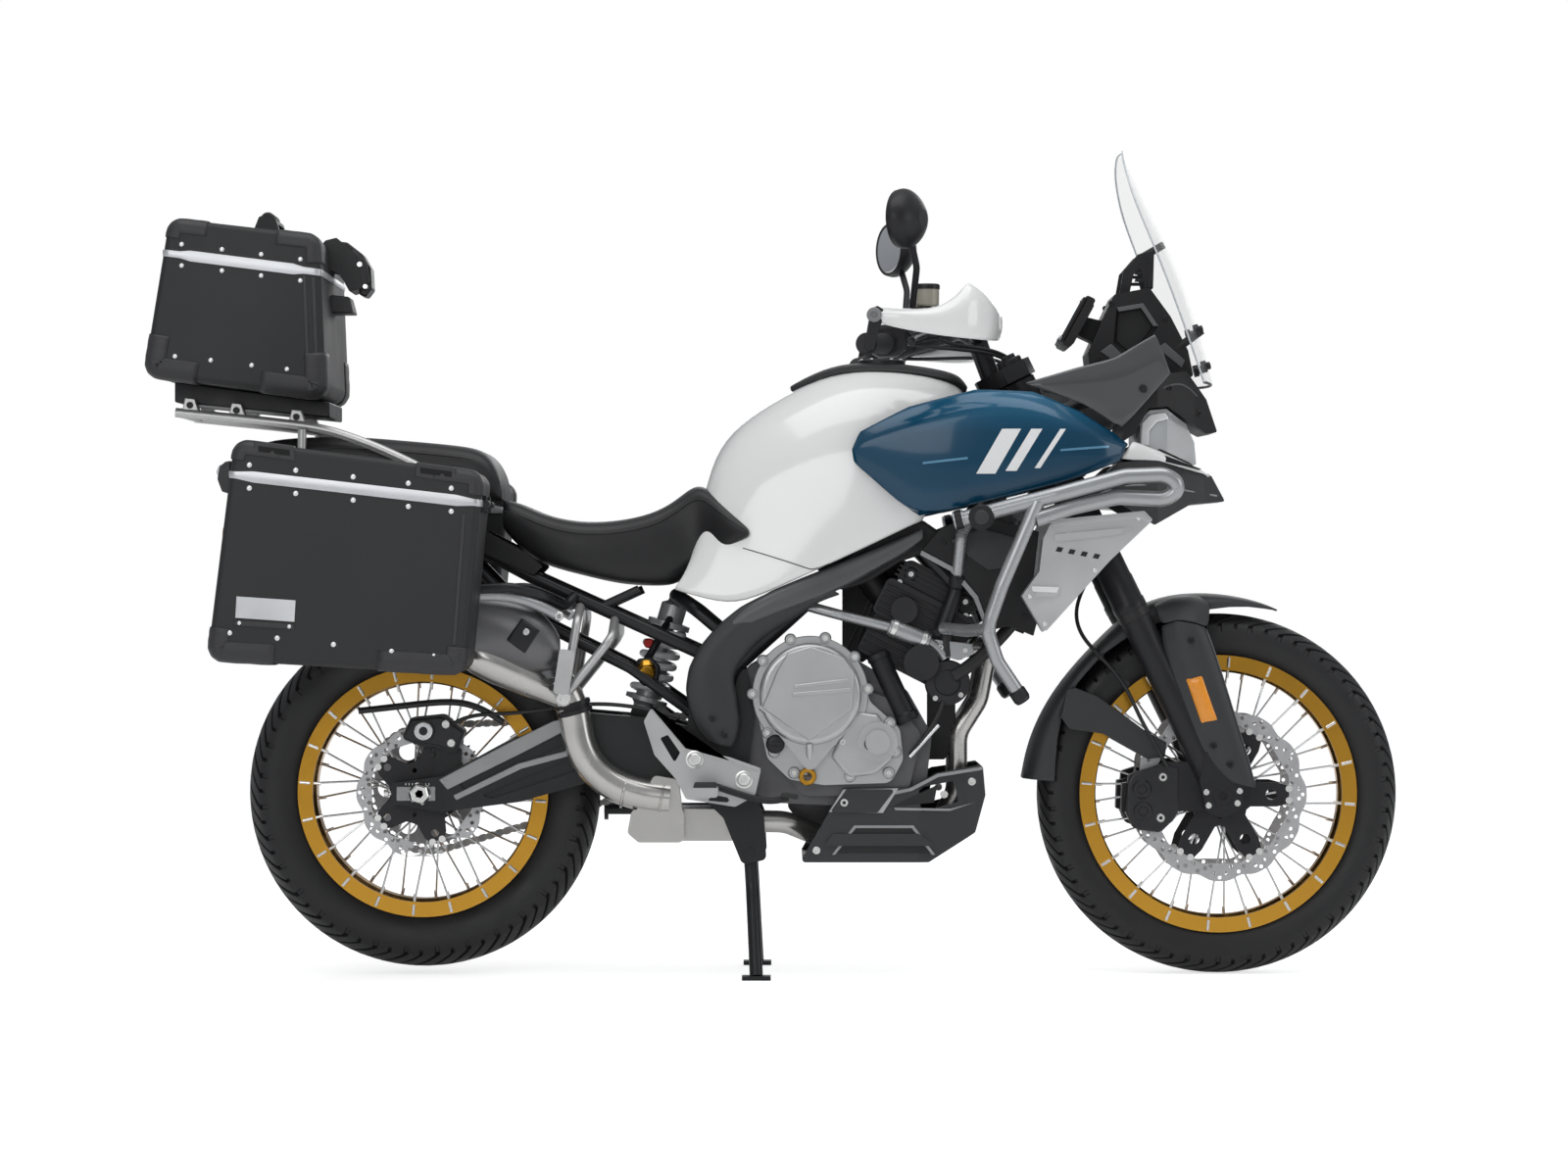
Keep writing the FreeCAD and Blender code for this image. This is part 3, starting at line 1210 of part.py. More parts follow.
def fork():
    """Upside-down look fork: clamps, stanchions, sliders with axle feet, axle and radial calipers."""
    legs = []
    for y in (-fork_half_spacing, fork_half_spacing):
        legs.append(
            rod(
                along_fork(340, y, fork_offset),
                along_fork(upper_clamp_at + clamp_thickness + 8, y, fork_offset), stanchion_radius,
            )
        )
        legs.append(rod(along_fork(-6, y, fork_offset), along_fork(372, y, fork_offset), slider_radius))
    inner_face = fork_half_spacing - 20
    outer_face = fork_half_spacing + slider_radius + 1
    feet = []
    for s in (-1, 1):
        outline = [
            (1408, 356), (1420, 300), (1452, 288), (1484, 306), (1488, 344), (1452, 392), (1420, 420),
        ]
        low, high = sorted((s * inner_face, s * outer_face))
        feet.append(side_plate(outline, low, high, 10.0))
    axle = rod(front_axle - side * outer_face, front_axle + side * outer_face, axle_radius)
    collars = []
    for s in (-1, 1):
        near, far = front_disc_y - disc_thickness / 2, inner_face + 2
        collars.append(rod(front_axle + side * s * near, front_axle + side * s * far, 18.0))
    stem = rod(along_fork(lower_clamp_at + 8), along_fork(upper_clamp_at + 22), stem_radius)
    whole = fused(*legs, *feet, axle, *collars, stem)
    for at_distance in (lower_clamp_at, upper_clamp_at):
        whole = fused(whole, fork_clamp(at_distance))
    calipers = [front_caliper(s) for s in (-1, 1)]
    bore = rod(front_axle - side * (outer_face + 1), front_axle + side * (outer_face + 1), front_axle_bore)
    return fused(whole, *calipers).cut(bore)


def fork_clamp(distance):
    """Triple clamp: a waisted plate that grips both stanchions and turns on the head tube."""
    reach = fork_half_spacing + stanchion_radius + 10
    # y, forward edge, rear edge, about the steering axis
    outline = [
        (-reach, 6), (-reach, 52), (-80, 68), (-40, 44), (40, 44), (80, 68), (reach, 52), (reach, 6),
        (60, -22), (36, -36), (-36, -36), (-60, -22),
    ]
    points = [along_fork(distance, y, forward) for y, forward in outline]
    face = Part.Face(rounded_wire(points, 9.0))
    return face.extrude(fork_up * clamp_thickness)


def front_caliper(s):
    """Radial four-piston caliper behind the fork foot, straddling the disc."""
    outline = [(1276, 300), (1282, 366), (1350, 388), (1372, 372), (1364, 286), (1338, 262), (1290, 270)]
    y = s * front_disc_y
    outer_low, outer_high = sorted((y + s * 6, y + s * 34))
    inner_low, inner_high = sorted((y - s * 6, y - s * 22))
    outer = side_plate(outline, outer_low, outer_high, 9.0)
    inner = side_plate(
        [(1276, 300), (1282, 352), (1318, 366), (1326, 280), (1292, 272)], inner_low, inner_high, 8.0
    )
    bridge_low, bridge_high = sorted((y + s * 12, y - s * 18))
    bridge = side_plate([(1270, 296), (1272, 350), (1286, 352), (1284, 300)], bridge_low, bridge_high, 3.0)
    lug = side_plate(
        [(1340, 388), (1356, 300), (1440, 300), (1440, 392)], *sorted((y + s * 16, y + s * 34)), 8.0
    )
    return fused(outer, inner, bridge, lug)


def front_fender():
    """Arched front fender with a pointed nose, side skirts, stays and the fork shields."""
    def arch(r_low, r_high, half, start, sweep):
        profile = [(r_low, -half), (r_high, -half), (r_high, half), (r_low, half)]
        points = [front_axle + at(r, y, 0) for r, y in profile]
        face = Part.Face(Part.makePolygon(points + [points[0]]))
        face.rotate(front_axle, side, -start)
        return face.revolve(front_axle, side, -sweep)

    shell = arch(344.0, 350.0, 74.0, 74.0, 100.0)
    skirts = [arch(318.0, 346.0, 4.0, 74.0, 100.0) for _ in (0, 1)]
    skirts[0].translate(at(0, 70, 0))
    skirts[1].translate(at(0, -70, 0))
    tail = arch(296.0, 320.0, 4.0, 140.0, 34.0)
    tails = [tail.copy(), tail.copy()]
    tails[0].translate(at(0, 70, 0))
    tails[1].translate(at(0, -70, 0))
    hood = [(1290, 660), (1296, 690), (1384, 696), (1470, 688), (1566, 666), (1500, 664), (1440, 672)]
    hood_plan = both_sides([(1280, 84), (1400, 88), (1500, 66), (1572, 22)])
    hood_body = side_plate(hood, -90.0, 90.0, 4.0).common(plan_plate(hood_plan, 600, 720))
    under = rod(front_axle - side * 200, front_axle + side * 200, 345.0)
    hood_body = hood_body.cut(under)
    shield = [(1352, 640), (1412, 652), (1442, 600), (1512, 372), (1502, 348), (1476, 352), (1398, 400)]
    shields = []
    for s in (-1, 1):
        low, high = sorted((s * 133, s * 139))
        plate = side_plate(shield, low, high, 6.0)
        web_low, web_high = sorted((s * 66, s * 134))
        web = side_plate(
            [(1352, 636), (1352, 670), (1420, 690), (1424, 662), (1400, 640)], web_low, web_high, 4.0
        )
        lip = side_plate(
            [(1436, 606), (1446, 608), (1514, 374), (1505, 370)], *sorted((s * 112, s * 135)), 2.0
        )
        stay = side_plate(
            [(1150, 470), (1172, 520), (1356, 430), (1350, 398), (1290, 400)], *sorted((s * 74, s * 80)),
            5.0,
        )
        shields += [plate, web, lip, stay]
    whole = fused(shell, *skirts, *tails, hood_body, *shields)
    for y in (-fork_half_spacing, fork_half_spacing):
        leg_room = rod(
            along_fork(300, y, fork_offset), along_fork(560, y, fork_offset), slider_radius + seat_gap
        )
        whole = whole.cut(leg_room)
    return max(whole.Solids, key=lambda s: s.Volume) if len(whole.Solids) > 1 else whole


def handlebar():
    """Tapered handlebar on risers, with grips, switch pods, levers, reservoirs and bar ends."""
    half = [
        (1012, 0, 1156), (1010, 60, 1158), (985, 130, 1178), (872, 246, 1146), (836, 300, 1137),
        (801, 432, 1129),
    ]
    bar = tube(half, 11.0, 60.0)
    centre = rod(at(1012, -62, 1156.5), at(1012, 62, 1156.5), 14.0)
    risers = []
    for s in (-1, 1):
        foot = along_fork(upper_clamp_at + clamp_thickness - 1, s * 36, -6)
        risers.append(rod(foot, at(1012, s * 36, 1156), 16.0))
    grip_start, grip_end = at(836, 300, 1137), at(801, 432, 1129)
    grip_way = (grip_end - grip_start).normalize()
    grip = rod(grip_start, grip_end, 17.0)
    weight = rod(grip_end, grip_end + grip_way * 16, 15.0)
    pod = rod(grip_start - grip_way * 34, grip_start - grip_way * 2, 22.0)
    perch = rod(at(880, 238, 1150), at(900, 232, 1156), 14.0)
    lever = tube([(900, 238, 1156), (908, 262, 1154), (888, 330, 1144), (880, 418, 1134)], 6.0, 30.0)
    reservoir = rod(at(898, 206, 1168), at(894, 206, 1206), 20.0)
    reservoir_foot = rod(at(900, 214, 1152), at(898, 208, 1172), 12.0)
    control = fused(bar, grip, weight, pod, perch, lever, reservoir, reservoir_foot)
    return fused(control, mirrored(control), centre, *risers)


def handguards():
    """Moulded guards that wrap forward from the bar end around the levers."""
    outline = [
        (818, 1166), (824, 1191), (923, 1188), (958, 1208), (984, 1241), (1030, 1216), (1050, 1196),
        (1048, 1146), (1026, 1138), (996, 1134), (926, 1141), (850, 1150),
    ]
    strip = [
        (812, 452), (840, 458), (940, 452), (1012, 420), (1040, 350), (1044, 268), (1034, 268), (1028, 346),
        (1002, 412), (936, 442), (840, 448), (812, 444),
    ]
    shell = side_plate(outline, 200.0, 470.0, 4.0).common(plan_plate(strip, 1100, 1260, 2.0))
    stay = tube([(1034, 280, 1160), (990, 262, 1162), (905, 240, 1157)], 6.0, 30.0)
    end = rod(at(812, 446, 1180), at(812, 460, 1180), 13.0)
    tab = side_plate([(796, 1120), (812, 1192), (836, 1192), (826, 1120)], 447.0, 452.0, 3.0)
    return fused(shell, tab, end, stay)


def mirrors():
    """Mirrors on slim stems that rise from the lever perches."""
    stem = tube([(884, 238, 1166), (886, 254, 1204), (892, 316, 1270), (880, 352, 1318)], 6.0, 60.0)
    across = FreeCAD.Rotation(at(0, 1, 0), at(0, 0, 1), at(1, 0, 0), "ZXY")
    wires = []
    # x, half width, half height
    for x, half_width, half_height in ((858, 62, 50), (874, 64, 52), (892, 50, 38), (904, 22, 16)):
        wire = Part.Wire(Part.Ellipse(at(0, 0, 0), half_width, half_height).toShape())
        wire.Placement = FreeCAD.Placement(at(x, 368, 1352), across)
        wires.append(wire)
    head = smooth(wires)
    head.rotate(at(874, 368, 1352), at(0, 0, 1), mirror_turn_deg)
    return pair(fused(stem, head))


# Cases
def along_line(line, x):
    """Height of a straight line, given by two (x, z) points, at x."""
    (x0, z0), (x1, z1) = line
    return z0 + (z1 - z0) * (x - x0) / (x1 - x0)


def edge_point(low, high, line):
    """Where the edge from low to high crosses a line."""
    share = 0.5
    for _ in range(40):
        x = low[0] + share * (high[0] - low[0])
        z = low[1] + share * (high[1] - low[1])
        share += (along_line(line, x) - z) / (high[1] - low[1])
    return x, z


def split_case(corners, low_y, high_y, seam):
    """Hollow case with rounded edges, cut into a body and a lid along the seam."""
    outer = side_plate(corners, low_y, high_y, case_corner)
    ends = [e for e in outer.Edges if abs(e.BoundBox.YMax - e.BoundBox.YMin) < 1e-6]
    outer = outer.makeFillet(12.0, ends)
    cavity = side_outline(corners, case_corner, low_y + case_wall).makeOffset2D(-case_wall)
    shell = outer.cut(cavity.extrude(at(0, high_y - low_y - 2 * case_wall, 0)))
    (x0, z0), (x1, z1) = seam
    above = side_plate(
        [(x0, z0 + lid_seam / 2), (x1, z1 + lid_seam / 2), (x1, 1600), (x0, 1600)], -600.0, 600.0
    )
    below = side_plate(
        [(x0, z0 - lid_seam / 2), (x1, z1 - lid_seam / 2), (x1, 300), (x0, 300)], -600.0, 600.0
    )
    return shell.common(below), shell.common(above)


def hinge(pivot, inward, low_y, high_y):
    """Hinge barrels on two stretches: the case's ends with the pin, and the lid's middle."""
    width = high_y - low_y
    body_parts, lid_parts = [], []
    for middle in (low_y + 0.25 * width, low_y + 0.75 * width):
        centre = pivot + side * middle
        for s in (-1, 1):
            near, far = centre + side * s * (12 + seat_gap), centre + side * s * 24
            body_parts.append(rod(near, far, hinge_radius))
            tab = Part.makeBox(hinge_reach + 2, 12 - seat_gap, 14)
            tab_y = middle + (12 + seat_gap if s > 0 else -24)
            tab.translate(at(pivot.x if inward > 0 else pivot.x - hinge_reach - 2, tab_y, pivot.z - 14))
            body_parts.append(tab)
        body_parts.append(rod(centre - side * 22, centre + side * 22, hinge_pin_radius))
        lid_parts.append(
            ring(centre - side * 12, centre + side * 12, hinge_radius, hinge_pin_radius + 0.15)
        )
        flap = Part.makeBox(hinge_reach + 2, 24, 10)
        flap.translate(at(pivot.x if inward > 0 else pivot.x - hinge_reach - 2, middle - 12, pivot.z + 3.6))
        lid_parts.append(flap)
    return body_parts, lid_parts


def side_case():
    """Left side case: body and lid, hinged across its front edge."""
    low_y = rack_y + rack_tube_radius + seat_gap
    body, lid = split_case(side_case_corners, low_y, side_case_outer_y, side_case_seam)
    x, z = edge_point(side_case_corners[1], side_case_corners[2], side_case_seam)
    pivot = at(x + hinge_reach, 0, z)
    body_parts, lid_parts = hinge(pivot, -1, low_y + 20, side_case_outer_y - 20)
    return fused(body, *body_parts), fused(lid, *lid_parts)


def top_case():
    """Top case: body and lid, hinged across its rear edge, with a carrying handle and a front latch."""
    half = top_case_half_width
    body, lid = split_case(top_case_corners, -half, half, top_case_seam)
    x, z = edge_point(top_case_corners[0], top_case_corners[3], top_case_seam)
    pivot = at(x - hinge_reach, 0, z)
    body_parts, lid_parts = hinge(pivot, 1, -half + 20, half - 20)
    handle = side_plate([(-311, 1346), (-297, 1382), (-268, 1377), (-256, 1340)], -66.0, 66.0, 6.0)
    handle = handle.cut(Part.makeBox(80, 96, 30, at(-320, -48, 1338)))
    latch = side_plate(
        [(-196, 1318), (-178, 1338), (-158, 1343), (-124, 1313), (-110, 1252), (-134, 1244), (-152, 1276), (-174, 1286)],
        -52.0, 52.0, 4.0)
    return fused(body, *body_parts), fused(lid, *lid_parts, handle, latch)


# Stands
def centre_stand():
    """Twin-leg stand: pivot tube with pins, legs splayed to flat feet, a brace and a foot lever."""
    pivot = at(stand_pivot_x, 0, stand_pivot_z)
    inner = frame_cheek_y - seat_gap
    tube_across = rod(pivot - side * inner, pivot + side * inner, stand_tube_radius)
    reach = frame_cheek_y + frame_cheek_thickness + 2
    pins = rod(pivot - side * reach, pivot + side * reach, stand_pin_radius - 0.1)
    legs = []
    for s in (-1, 1):
        knee_z = stand_pivot_z - 62
        route = [
            (stand_pivot_x, s * stand_top_y, stand_pivot_z), (
                stand_pivot_x + 4, s * (stand_top_y + 2), knee_z
            ),
            (stand_foot_x, s * stand_foot_y, 6),
        ]
        legs.append(tube(route, stand_tube_radius - 1, 60.0))
        low, high = sorted((s * (stand_foot_y - 17), s * (stand_foot_y + 17)))
        pad = [
            (stand_foot_x - 26, low), (stand_foot_x + 26, low), (stand_foot_x + 26, high),
            (stand_foot_x - 26, high),
        ]
        legs.append(plan_plate(pad, 0.0, 8.0, 4.0))
    brace = rod(at(603, -130, 106), at(603, 130, 106), 9.0)
    lever = rod(at(606, 156, 44), at(598, 190, 40), 8.0)
    below = Part.makeBox(400, 600, 60, at(450, -300, -60))
    return fused(tube_across, pins, *legs, brace, lever).cut(below)


def side_stand():
    """Side stand, folded back: knuckle, leg and foot plate."""
    axis = side_stand_axis()
    knuckle = at(side_stand_x, side_stand_y, side_stand_z)
    eye = rod(knuckle - axis * side_stand_eye / 2, knuckle + axis * side_stand_eye / 2, 17.0)
    leg = rod(knuckle + at(-8, 0, 0), knuckle + at(-side_stand_length, 0, 0), 11.0)
    foot = rod(knuckle + at(-side_stand_length - 5, 0, 0), knuckle + at(-side_stand_length + 2, 0, 0), 21.0)
    return fused(eye, leg, foot).cut(rod(knuckle - axis * 20, knuckle + axis * 20, 7.15))


# The whole machine
os.makedirs("parts", exist_ok=True)

nodes = {}
nodes.update(front_wheel())
nodes.update(rear_wheel())
tank = fuel_tank()
side_case_body, side_case_lid = side_case()
top_case_body, top_case_lid = top_case()
rider_rest, pillion_rest = footrests()
fins, beak = nose_panels()

nodes["main_frame"] = frame_tubes()
nodes["frame_side_covers"] = frame_covers()
nodes["subframe"] = subframe()
nodes["swingarm"] = swingarm()
nodes["drive_chain"] = drive_chain()
nodes["front_sprocket"] = front_sprocket()
nodes["shock_absorber"] = shock_absorber()
nodes["crankcase"] = crankcase()
nodes["cylinder_head"] = cylinder_head()
nodes["engine_covers"] = engine_covers()
nodes["exhaust_pipes"] = exhaust_pipes()
nodes["muffler"] = muffler()
nodes["skid_plate"] = skid_plate()
nodes["radiator"] = radiator()
nodes["radiator_shrouds"] = radiator_shrouds()
nodes["crash_bars"] = crash_bars()
nodes["fuel_tank"] = tank
nodes["tank_side_panels"] = tank_side_panels(tank)
nodes["tank_top_trim"] = tank_top_trim(tank)
nodes["seat"] = seat(tank)
nodes["tail_unit"] = tail_unit()
nodes["side_racks"] = pair(side_rack())
nodes["top_rack"] = top_rack()
nodes["rider_footrests"] = pair(rider_rest)
nodes["pillion_footrests"] = pair(pillion_rest)
nodes["front_fairing"] = front_fairing()
nodes["nose_fins"] = fins
nodes["nose_beak"] = beak
nodes["headlight"] = headlight()
nodes["windscreen"] = windscreen()
nodes["wind_deflectors"] = pair(wind_deflectors())
nodes["fork"] = fork()
nodes["front_fender"] = front_fender()
nodes["handlebar"] = handlebar()
nodes["handguards"] = pair(handguards())
nodes["mirrors"] = mirrors()
nodes["side_case_left"] = side_case_body
nodes["side_case_right"] = mirrored(side_case_body)
nodes["side_case_lid_left"] = side_case_lid
nodes["side_case_lid_right"] = mirrored(side_case_lid)
nodes["top_case"] = top_case_body
nodes["top_case_lid"] = top_case_lid
nodes["centre_stand"] = centre_stand()
nodes["side_stand"] = side_stand()

# A clamped or welded piece is shaped to the one that holds it
held = (
    ("subframe", "main_frame"), ("frame_side_covers", "main_frame"), ("frame_side_covers", "subframe"),
    ("crankcase", "main_frame"), ("cylinder_head", "crankcase"), ("exhaust_pipes", "cylinder_head"),
    ("cylinder_head", "main_frame"), ("radiator", "main_frame"), ("front_fairing", "main_frame"),
    ("skid_plate", "crankcase"), ("skid_plate", "engine_covers"), ("crash_bars", "main_frame"),
    ("side_racks", "subframe"), ("top_rack", "subframe"), ("rider_footrests", "main_frame"),
    ("pillion_footrests", "subframe"), ("shock_absorber", "main_frame"), ("headlight", "front_fairing"),
    ("headlight", "nose_beak"), ("headlight", "nose_fins"), ("handlebar", "fork"), (
        "handguards", "handlebar"
    ),
    ("mirrors", "handlebar"), (
        "crankcase", "front_sprocket"
    ), ("tail_unit", "top_rack"), ("seat", "top_rack"),
    ("nose_fins", "front_fairing"), ("nose_beak", "front_fairing"), ("side_racks", "pillion_footrests"),
    ("exhaust_pipes", "muffler"), ("tank_top_trim", "tank_side_panels"), (
        "wind_deflectors", "tank_side_panels"
    ),
    (
        "wind_deflectors", "front_fairing"
    ), ("windscreen", "front_fairing"), ("crash_bars", "radiator_shrouds"),
)
for piece, holder in held:
    nodes[piece] = nodes[piece].cut(nodes[holder])

# The origin is the floor point under the middle of the machine's length
front_end = front_axle.x + front_tyre_radius
rear_end = nodes["top_case"].optimalBoundingBox(False).XMin
shift = -(rear_end + front_end) / 2

for name, shape in nodes.items():
    placed = shape.copy()
    placed.translate(at(shift, 0, 0))
    placed.exportStep("parts/" + name + ".step")
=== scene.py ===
import math

import bmesh
import bpy
from mathutils import Matrix, Vector
from mathutils.bvhtree import BVHTree


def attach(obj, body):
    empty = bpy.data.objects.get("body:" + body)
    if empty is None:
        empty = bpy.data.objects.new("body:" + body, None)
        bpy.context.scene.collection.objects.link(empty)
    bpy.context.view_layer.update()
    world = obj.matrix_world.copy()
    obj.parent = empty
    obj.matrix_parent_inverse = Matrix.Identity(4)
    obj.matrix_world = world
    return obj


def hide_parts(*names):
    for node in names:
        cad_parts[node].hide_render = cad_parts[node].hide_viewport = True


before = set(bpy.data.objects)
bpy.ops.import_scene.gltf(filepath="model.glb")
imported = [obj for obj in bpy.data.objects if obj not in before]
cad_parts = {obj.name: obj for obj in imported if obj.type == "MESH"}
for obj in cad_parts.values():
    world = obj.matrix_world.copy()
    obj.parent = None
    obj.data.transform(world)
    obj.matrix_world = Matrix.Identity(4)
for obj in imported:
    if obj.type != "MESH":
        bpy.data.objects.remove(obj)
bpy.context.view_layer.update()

# The studio: a white seamless floor, soft lights above and at both sides, and a level camera
# eight metres off the machine's right side.
middle_x = 647.992
hands = ((-1, "right"), (1, "left"))


def at(x, y, z):
    """A place in metres, from millimetres ahead of the rear axle, to the left, and above the floor."""
    return Vector(((x - middle_x) / 1000, y / 1000, z / 1000))


camera_data = bpy.data.cameras.new("camera")
camera_data.sensor_width = 36
camera_data.lens = 103.9
camera = bpy.data.objects.new("camera", camera_data)
camera.location = at(657.7, -8300, 704.4)
camera.rotation_euler = (math.radians(90), 0, 0)
bpy.context.collection.objects.link(camera)
bpy.context.scene.camera = camera
bpy.context.scene.view_settings.view_transform = "Standard"

world = bpy.data.worlds.new("white_room")
bpy.context.scene.world = world
world.use_nodes = True
sky = world.node_tree.nodes
sky_links = world.node_tree.links
sky_place = sky.new("ShaderNodeTexCoord")
sky_split = sky.new("ShaderNodeSeparateXYZ")
sky_links.new(sky_place.outputs["Generated"], sky_split.inputs["Vector"])
sky_ramp = sky.new("ShaderNodeValToRGB")
sky_ramp.color_ramp.elements[0].position = 0.42
sky_ramp.color_ramp.elements[0].color = (0.42, 0.43, 0.45, 1)
sky_ramp.color_ramp.elements[1].position = 0.75
sky_ramp.color_ramp.elements[1].color = (0.95, 0.97, 1.0, 1)
sky_shift = sky.new("ShaderNodeMapRange")
sky_shift.inputs["From Min"].default_value = -1
sky_links.new(sky_split.outputs["Z"], sky_shift.inputs["Value"])
sky_links.new(sky_shift.outputs["Result"], sky_ramp.inputs["Fac"])
sky_links.new(sky_ramp.outputs["Color"], sky["Background"].inputs["Color"])
sky["Background"].inputs["Strength"].default_value = 0.42
white_beyond = sky.new("ShaderNodeBackground")
white_beyond.inputs["Color"].default_value = (1, 1, 1, 1)
seen = sky.new("ShaderNodeLightPath")
either = sky.new("ShaderNodeMixShader")
sky_links.new(seen.outputs["Is Camera Ray"], either.inputs["Fac"])
sky_links.new(sky["Background"].outputs["Background"], either.inputs[1])
sky_links.new(white_beyond.outputs["Background"], either.inputs[2])
sky_links.new(either.outputs["Shader"], sky["World Output"].inputs["Surface"])

for lamp_name, lamp_place, lamp_aim, lamp_size, lamp_power in (
    ("overhead_light", (700, -900, 3900), (650, 0, 500), (4.2, 2.6), 62),
    ("right_light", (-900, -4200, 1900), (600, 0, 600), (3.0, 1.6), 30),
    ("left_light", (1600, 4300, 2300), (700, 0, 600), (3.2, 1.6), 26),
    ("front_light", (4300, -1500, 1500), (1200, 0, 700), (1.6, 1.8), 14),
):
    lamp_data = bpy.data.lights.new(lamp_name, "AREA")
    lamp_data.shape = "RECTANGLE"
    lamp_data.size, lamp_data.size_y = lamp_size
    lamp_data.energy = lamp_power
    lamp = bpy.data.objects.new(lamp_name, lamp_data)
    lamp.location = at(*lamp_place)
    lamp.rotation_euler = (at(*lamp_aim) - at(*lamp_place)).to_track_quat("-Z", "Y").to_euler()
    bpy.context.collection.objects.link(lamp)

floor_mesh = bpy.data.meshes.new("floor")
floor_mesh.from_pydata([(-30, -30, 0), (30, -30, 0), (30, 30, 0), (-30, 30, 0)], [], [(0, 1, 2, 3)])
floor = bpy.data.objects.new("floor", floor_mesh)
bpy.context.collection.objects.link(floor)
floor_paint = bpy.data.materials.new("floor_paint")
floor_paint.use_nodes = True
floor_shader = floor_paint.node_tree.nodes["Principled BSDF"]
floor_shader.inputs["Base Color"].default_value = (0.9, 0.9, 0.9, 1)
floor_shader.inputs["Roughness"].default_value = 0.9
floor_shader.inputs["Emission Color"].default_value = (1, 1, 1, 1)
floor_seen = floor_paint.node_tree.nodes.new("ShaderNodeLightPath")
floor_glow = floor_paint.node_tree.nodes.new("ShaderNodeMapRange")
floor_glow.inputs["To Min"].default_value = 0.16
floor_glow.inputs["To Max"].default_value = 0.68
floor_paint.node_tree.links.new(floor_seen.outputs["Is Camera Ray"], floor_glow.inputs["Value"])
floor_paint.node_tree.links.new(floor_glow.outputs["Result"], floor_shader.inputs["Emission Strength"])
floor_mesh.materials.append(floor_paint)


# Tyres: tubeless rubber with a round crown. Slanted grooves run from near the middle to the
# shoulders, with short cuts between them, and fine ridges ring the sidewalls.
def finish(name, colour, rough, metal=0.0, grain=0.15, grain_mm=0.8, mottle=0.12, mottle_mm=70.0,
           vary=0.06, coat=0.0, shine=0.5):
    """A surface finish: its grain, a slow drift of tone, and gloss that isn't even."""
    made = bpy.data.materials.new(name)
    made.use_nodes = True
    made.diffuse_color = (*colour, 1)
    nodes, links = made.node_tree.nodes, made.node_tree.links
    shader = nodes["Principled BSDF"]
    shader.inputs["Metallic"].default_value = metal
    shader.inputs["Coat Weight"].default_value = coat
    shader.inputs["Coat Roughness"].default_value = 0.06
    shader.inputs["Specular IOR Level"].default_value = shine
    place = nodes.new("ShaderNodeTexCoord")
    drift = nodes.new("ShaderNodeTexNoise")
    drift.inputs["Scale"].default_value = 1000 / mottle_mm
    drift.inputs["Detail"].default_value = 4
    links.new(place.outputs["Object"], drift.inputs["Vector"])
    tone = nodes.new("ShaderNodeMix")
    tone.data_type = "RGBA"
    tone.inputs["A"].default_value = (*[c * (1 - mottle) for c in colour], 1)
    tone.inputs["B"].default_value = (*[min(1, c * (1 + mottle)) for c in colour], 1)
    links.new(drift.outputs["Fac"], tone.inputs["Factor"])
    links.new(tone.outputs["Result"], shader.inputs["Base Color"])
    gloss = nodes.new("ShaderNodeMapRange")
    gloss.inputs["From Min"].default_value = 0.3
    gloss.inputs["From Max"].default_value = 0.7
    gloss.inputs["To Min"].default_value = max(0.02, rough - vary)
    gloss.inputs["To Max"].default_value = min(1, rough + vary)
    links.new(drift.outputs["Fac"], gloss.inputs["Value"])
    links.new(gloss.outputs["Result"], shader.inputs["Roughness"])
    fine = nodes.new("ShaderNodeTexNoise")
    fine.inputs["Scale"].default_value = 1000 / grain_mm
    fine.inputs["Detail"].default_value = 2
    links.new(place.outputs["Object"], fine.inputs["Vector"])
    relief = nodes.new("ShaderNodeBump")
    relief.inputs["Strength"].default_value = grain
    relief.inputs["Distance"].default_value = grain_mm / 4000
    links.new(fine.outputs["Fac"], relief.inputs["Height"])
    links.new(relief.outputs["Normal"], shader.inputs["Normal"])
    return made


def piece(name, mesh, surface, body, hides=(), sharp=32.0):
    """A mesh as a piece of the machine, shaded smooth but for its sharp edges."""
    mesh.materials.clear()
    mesh.materials.append(surface)
    mesh.shade_smooth()
    if sharp:
        mesh.set_sharp_from_angle(angle=math.radians(sharp))
    made = bpy.data.objects.new(name, mesh)
    bpy.context.collection.objects.link(made)
    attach(made, body)
    if hides:
        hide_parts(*hides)
    return made


def mesh_of(name, points, faces, outward=True):
    """A mesh from millimetre points, with its faces turned outwards."""
    mesh = bpy.data.meshes.new(name)
    mesh.from_pydata([at(*p) for p in points], [], faces)
    if outward:
        work = bmesh.new()
        work.from_mesh(mesh)
        bmesh.ops.recalc_face_normals(work, faces=work.faces)
        work.to_mesh(mesh)
        work.free()
    return mesh


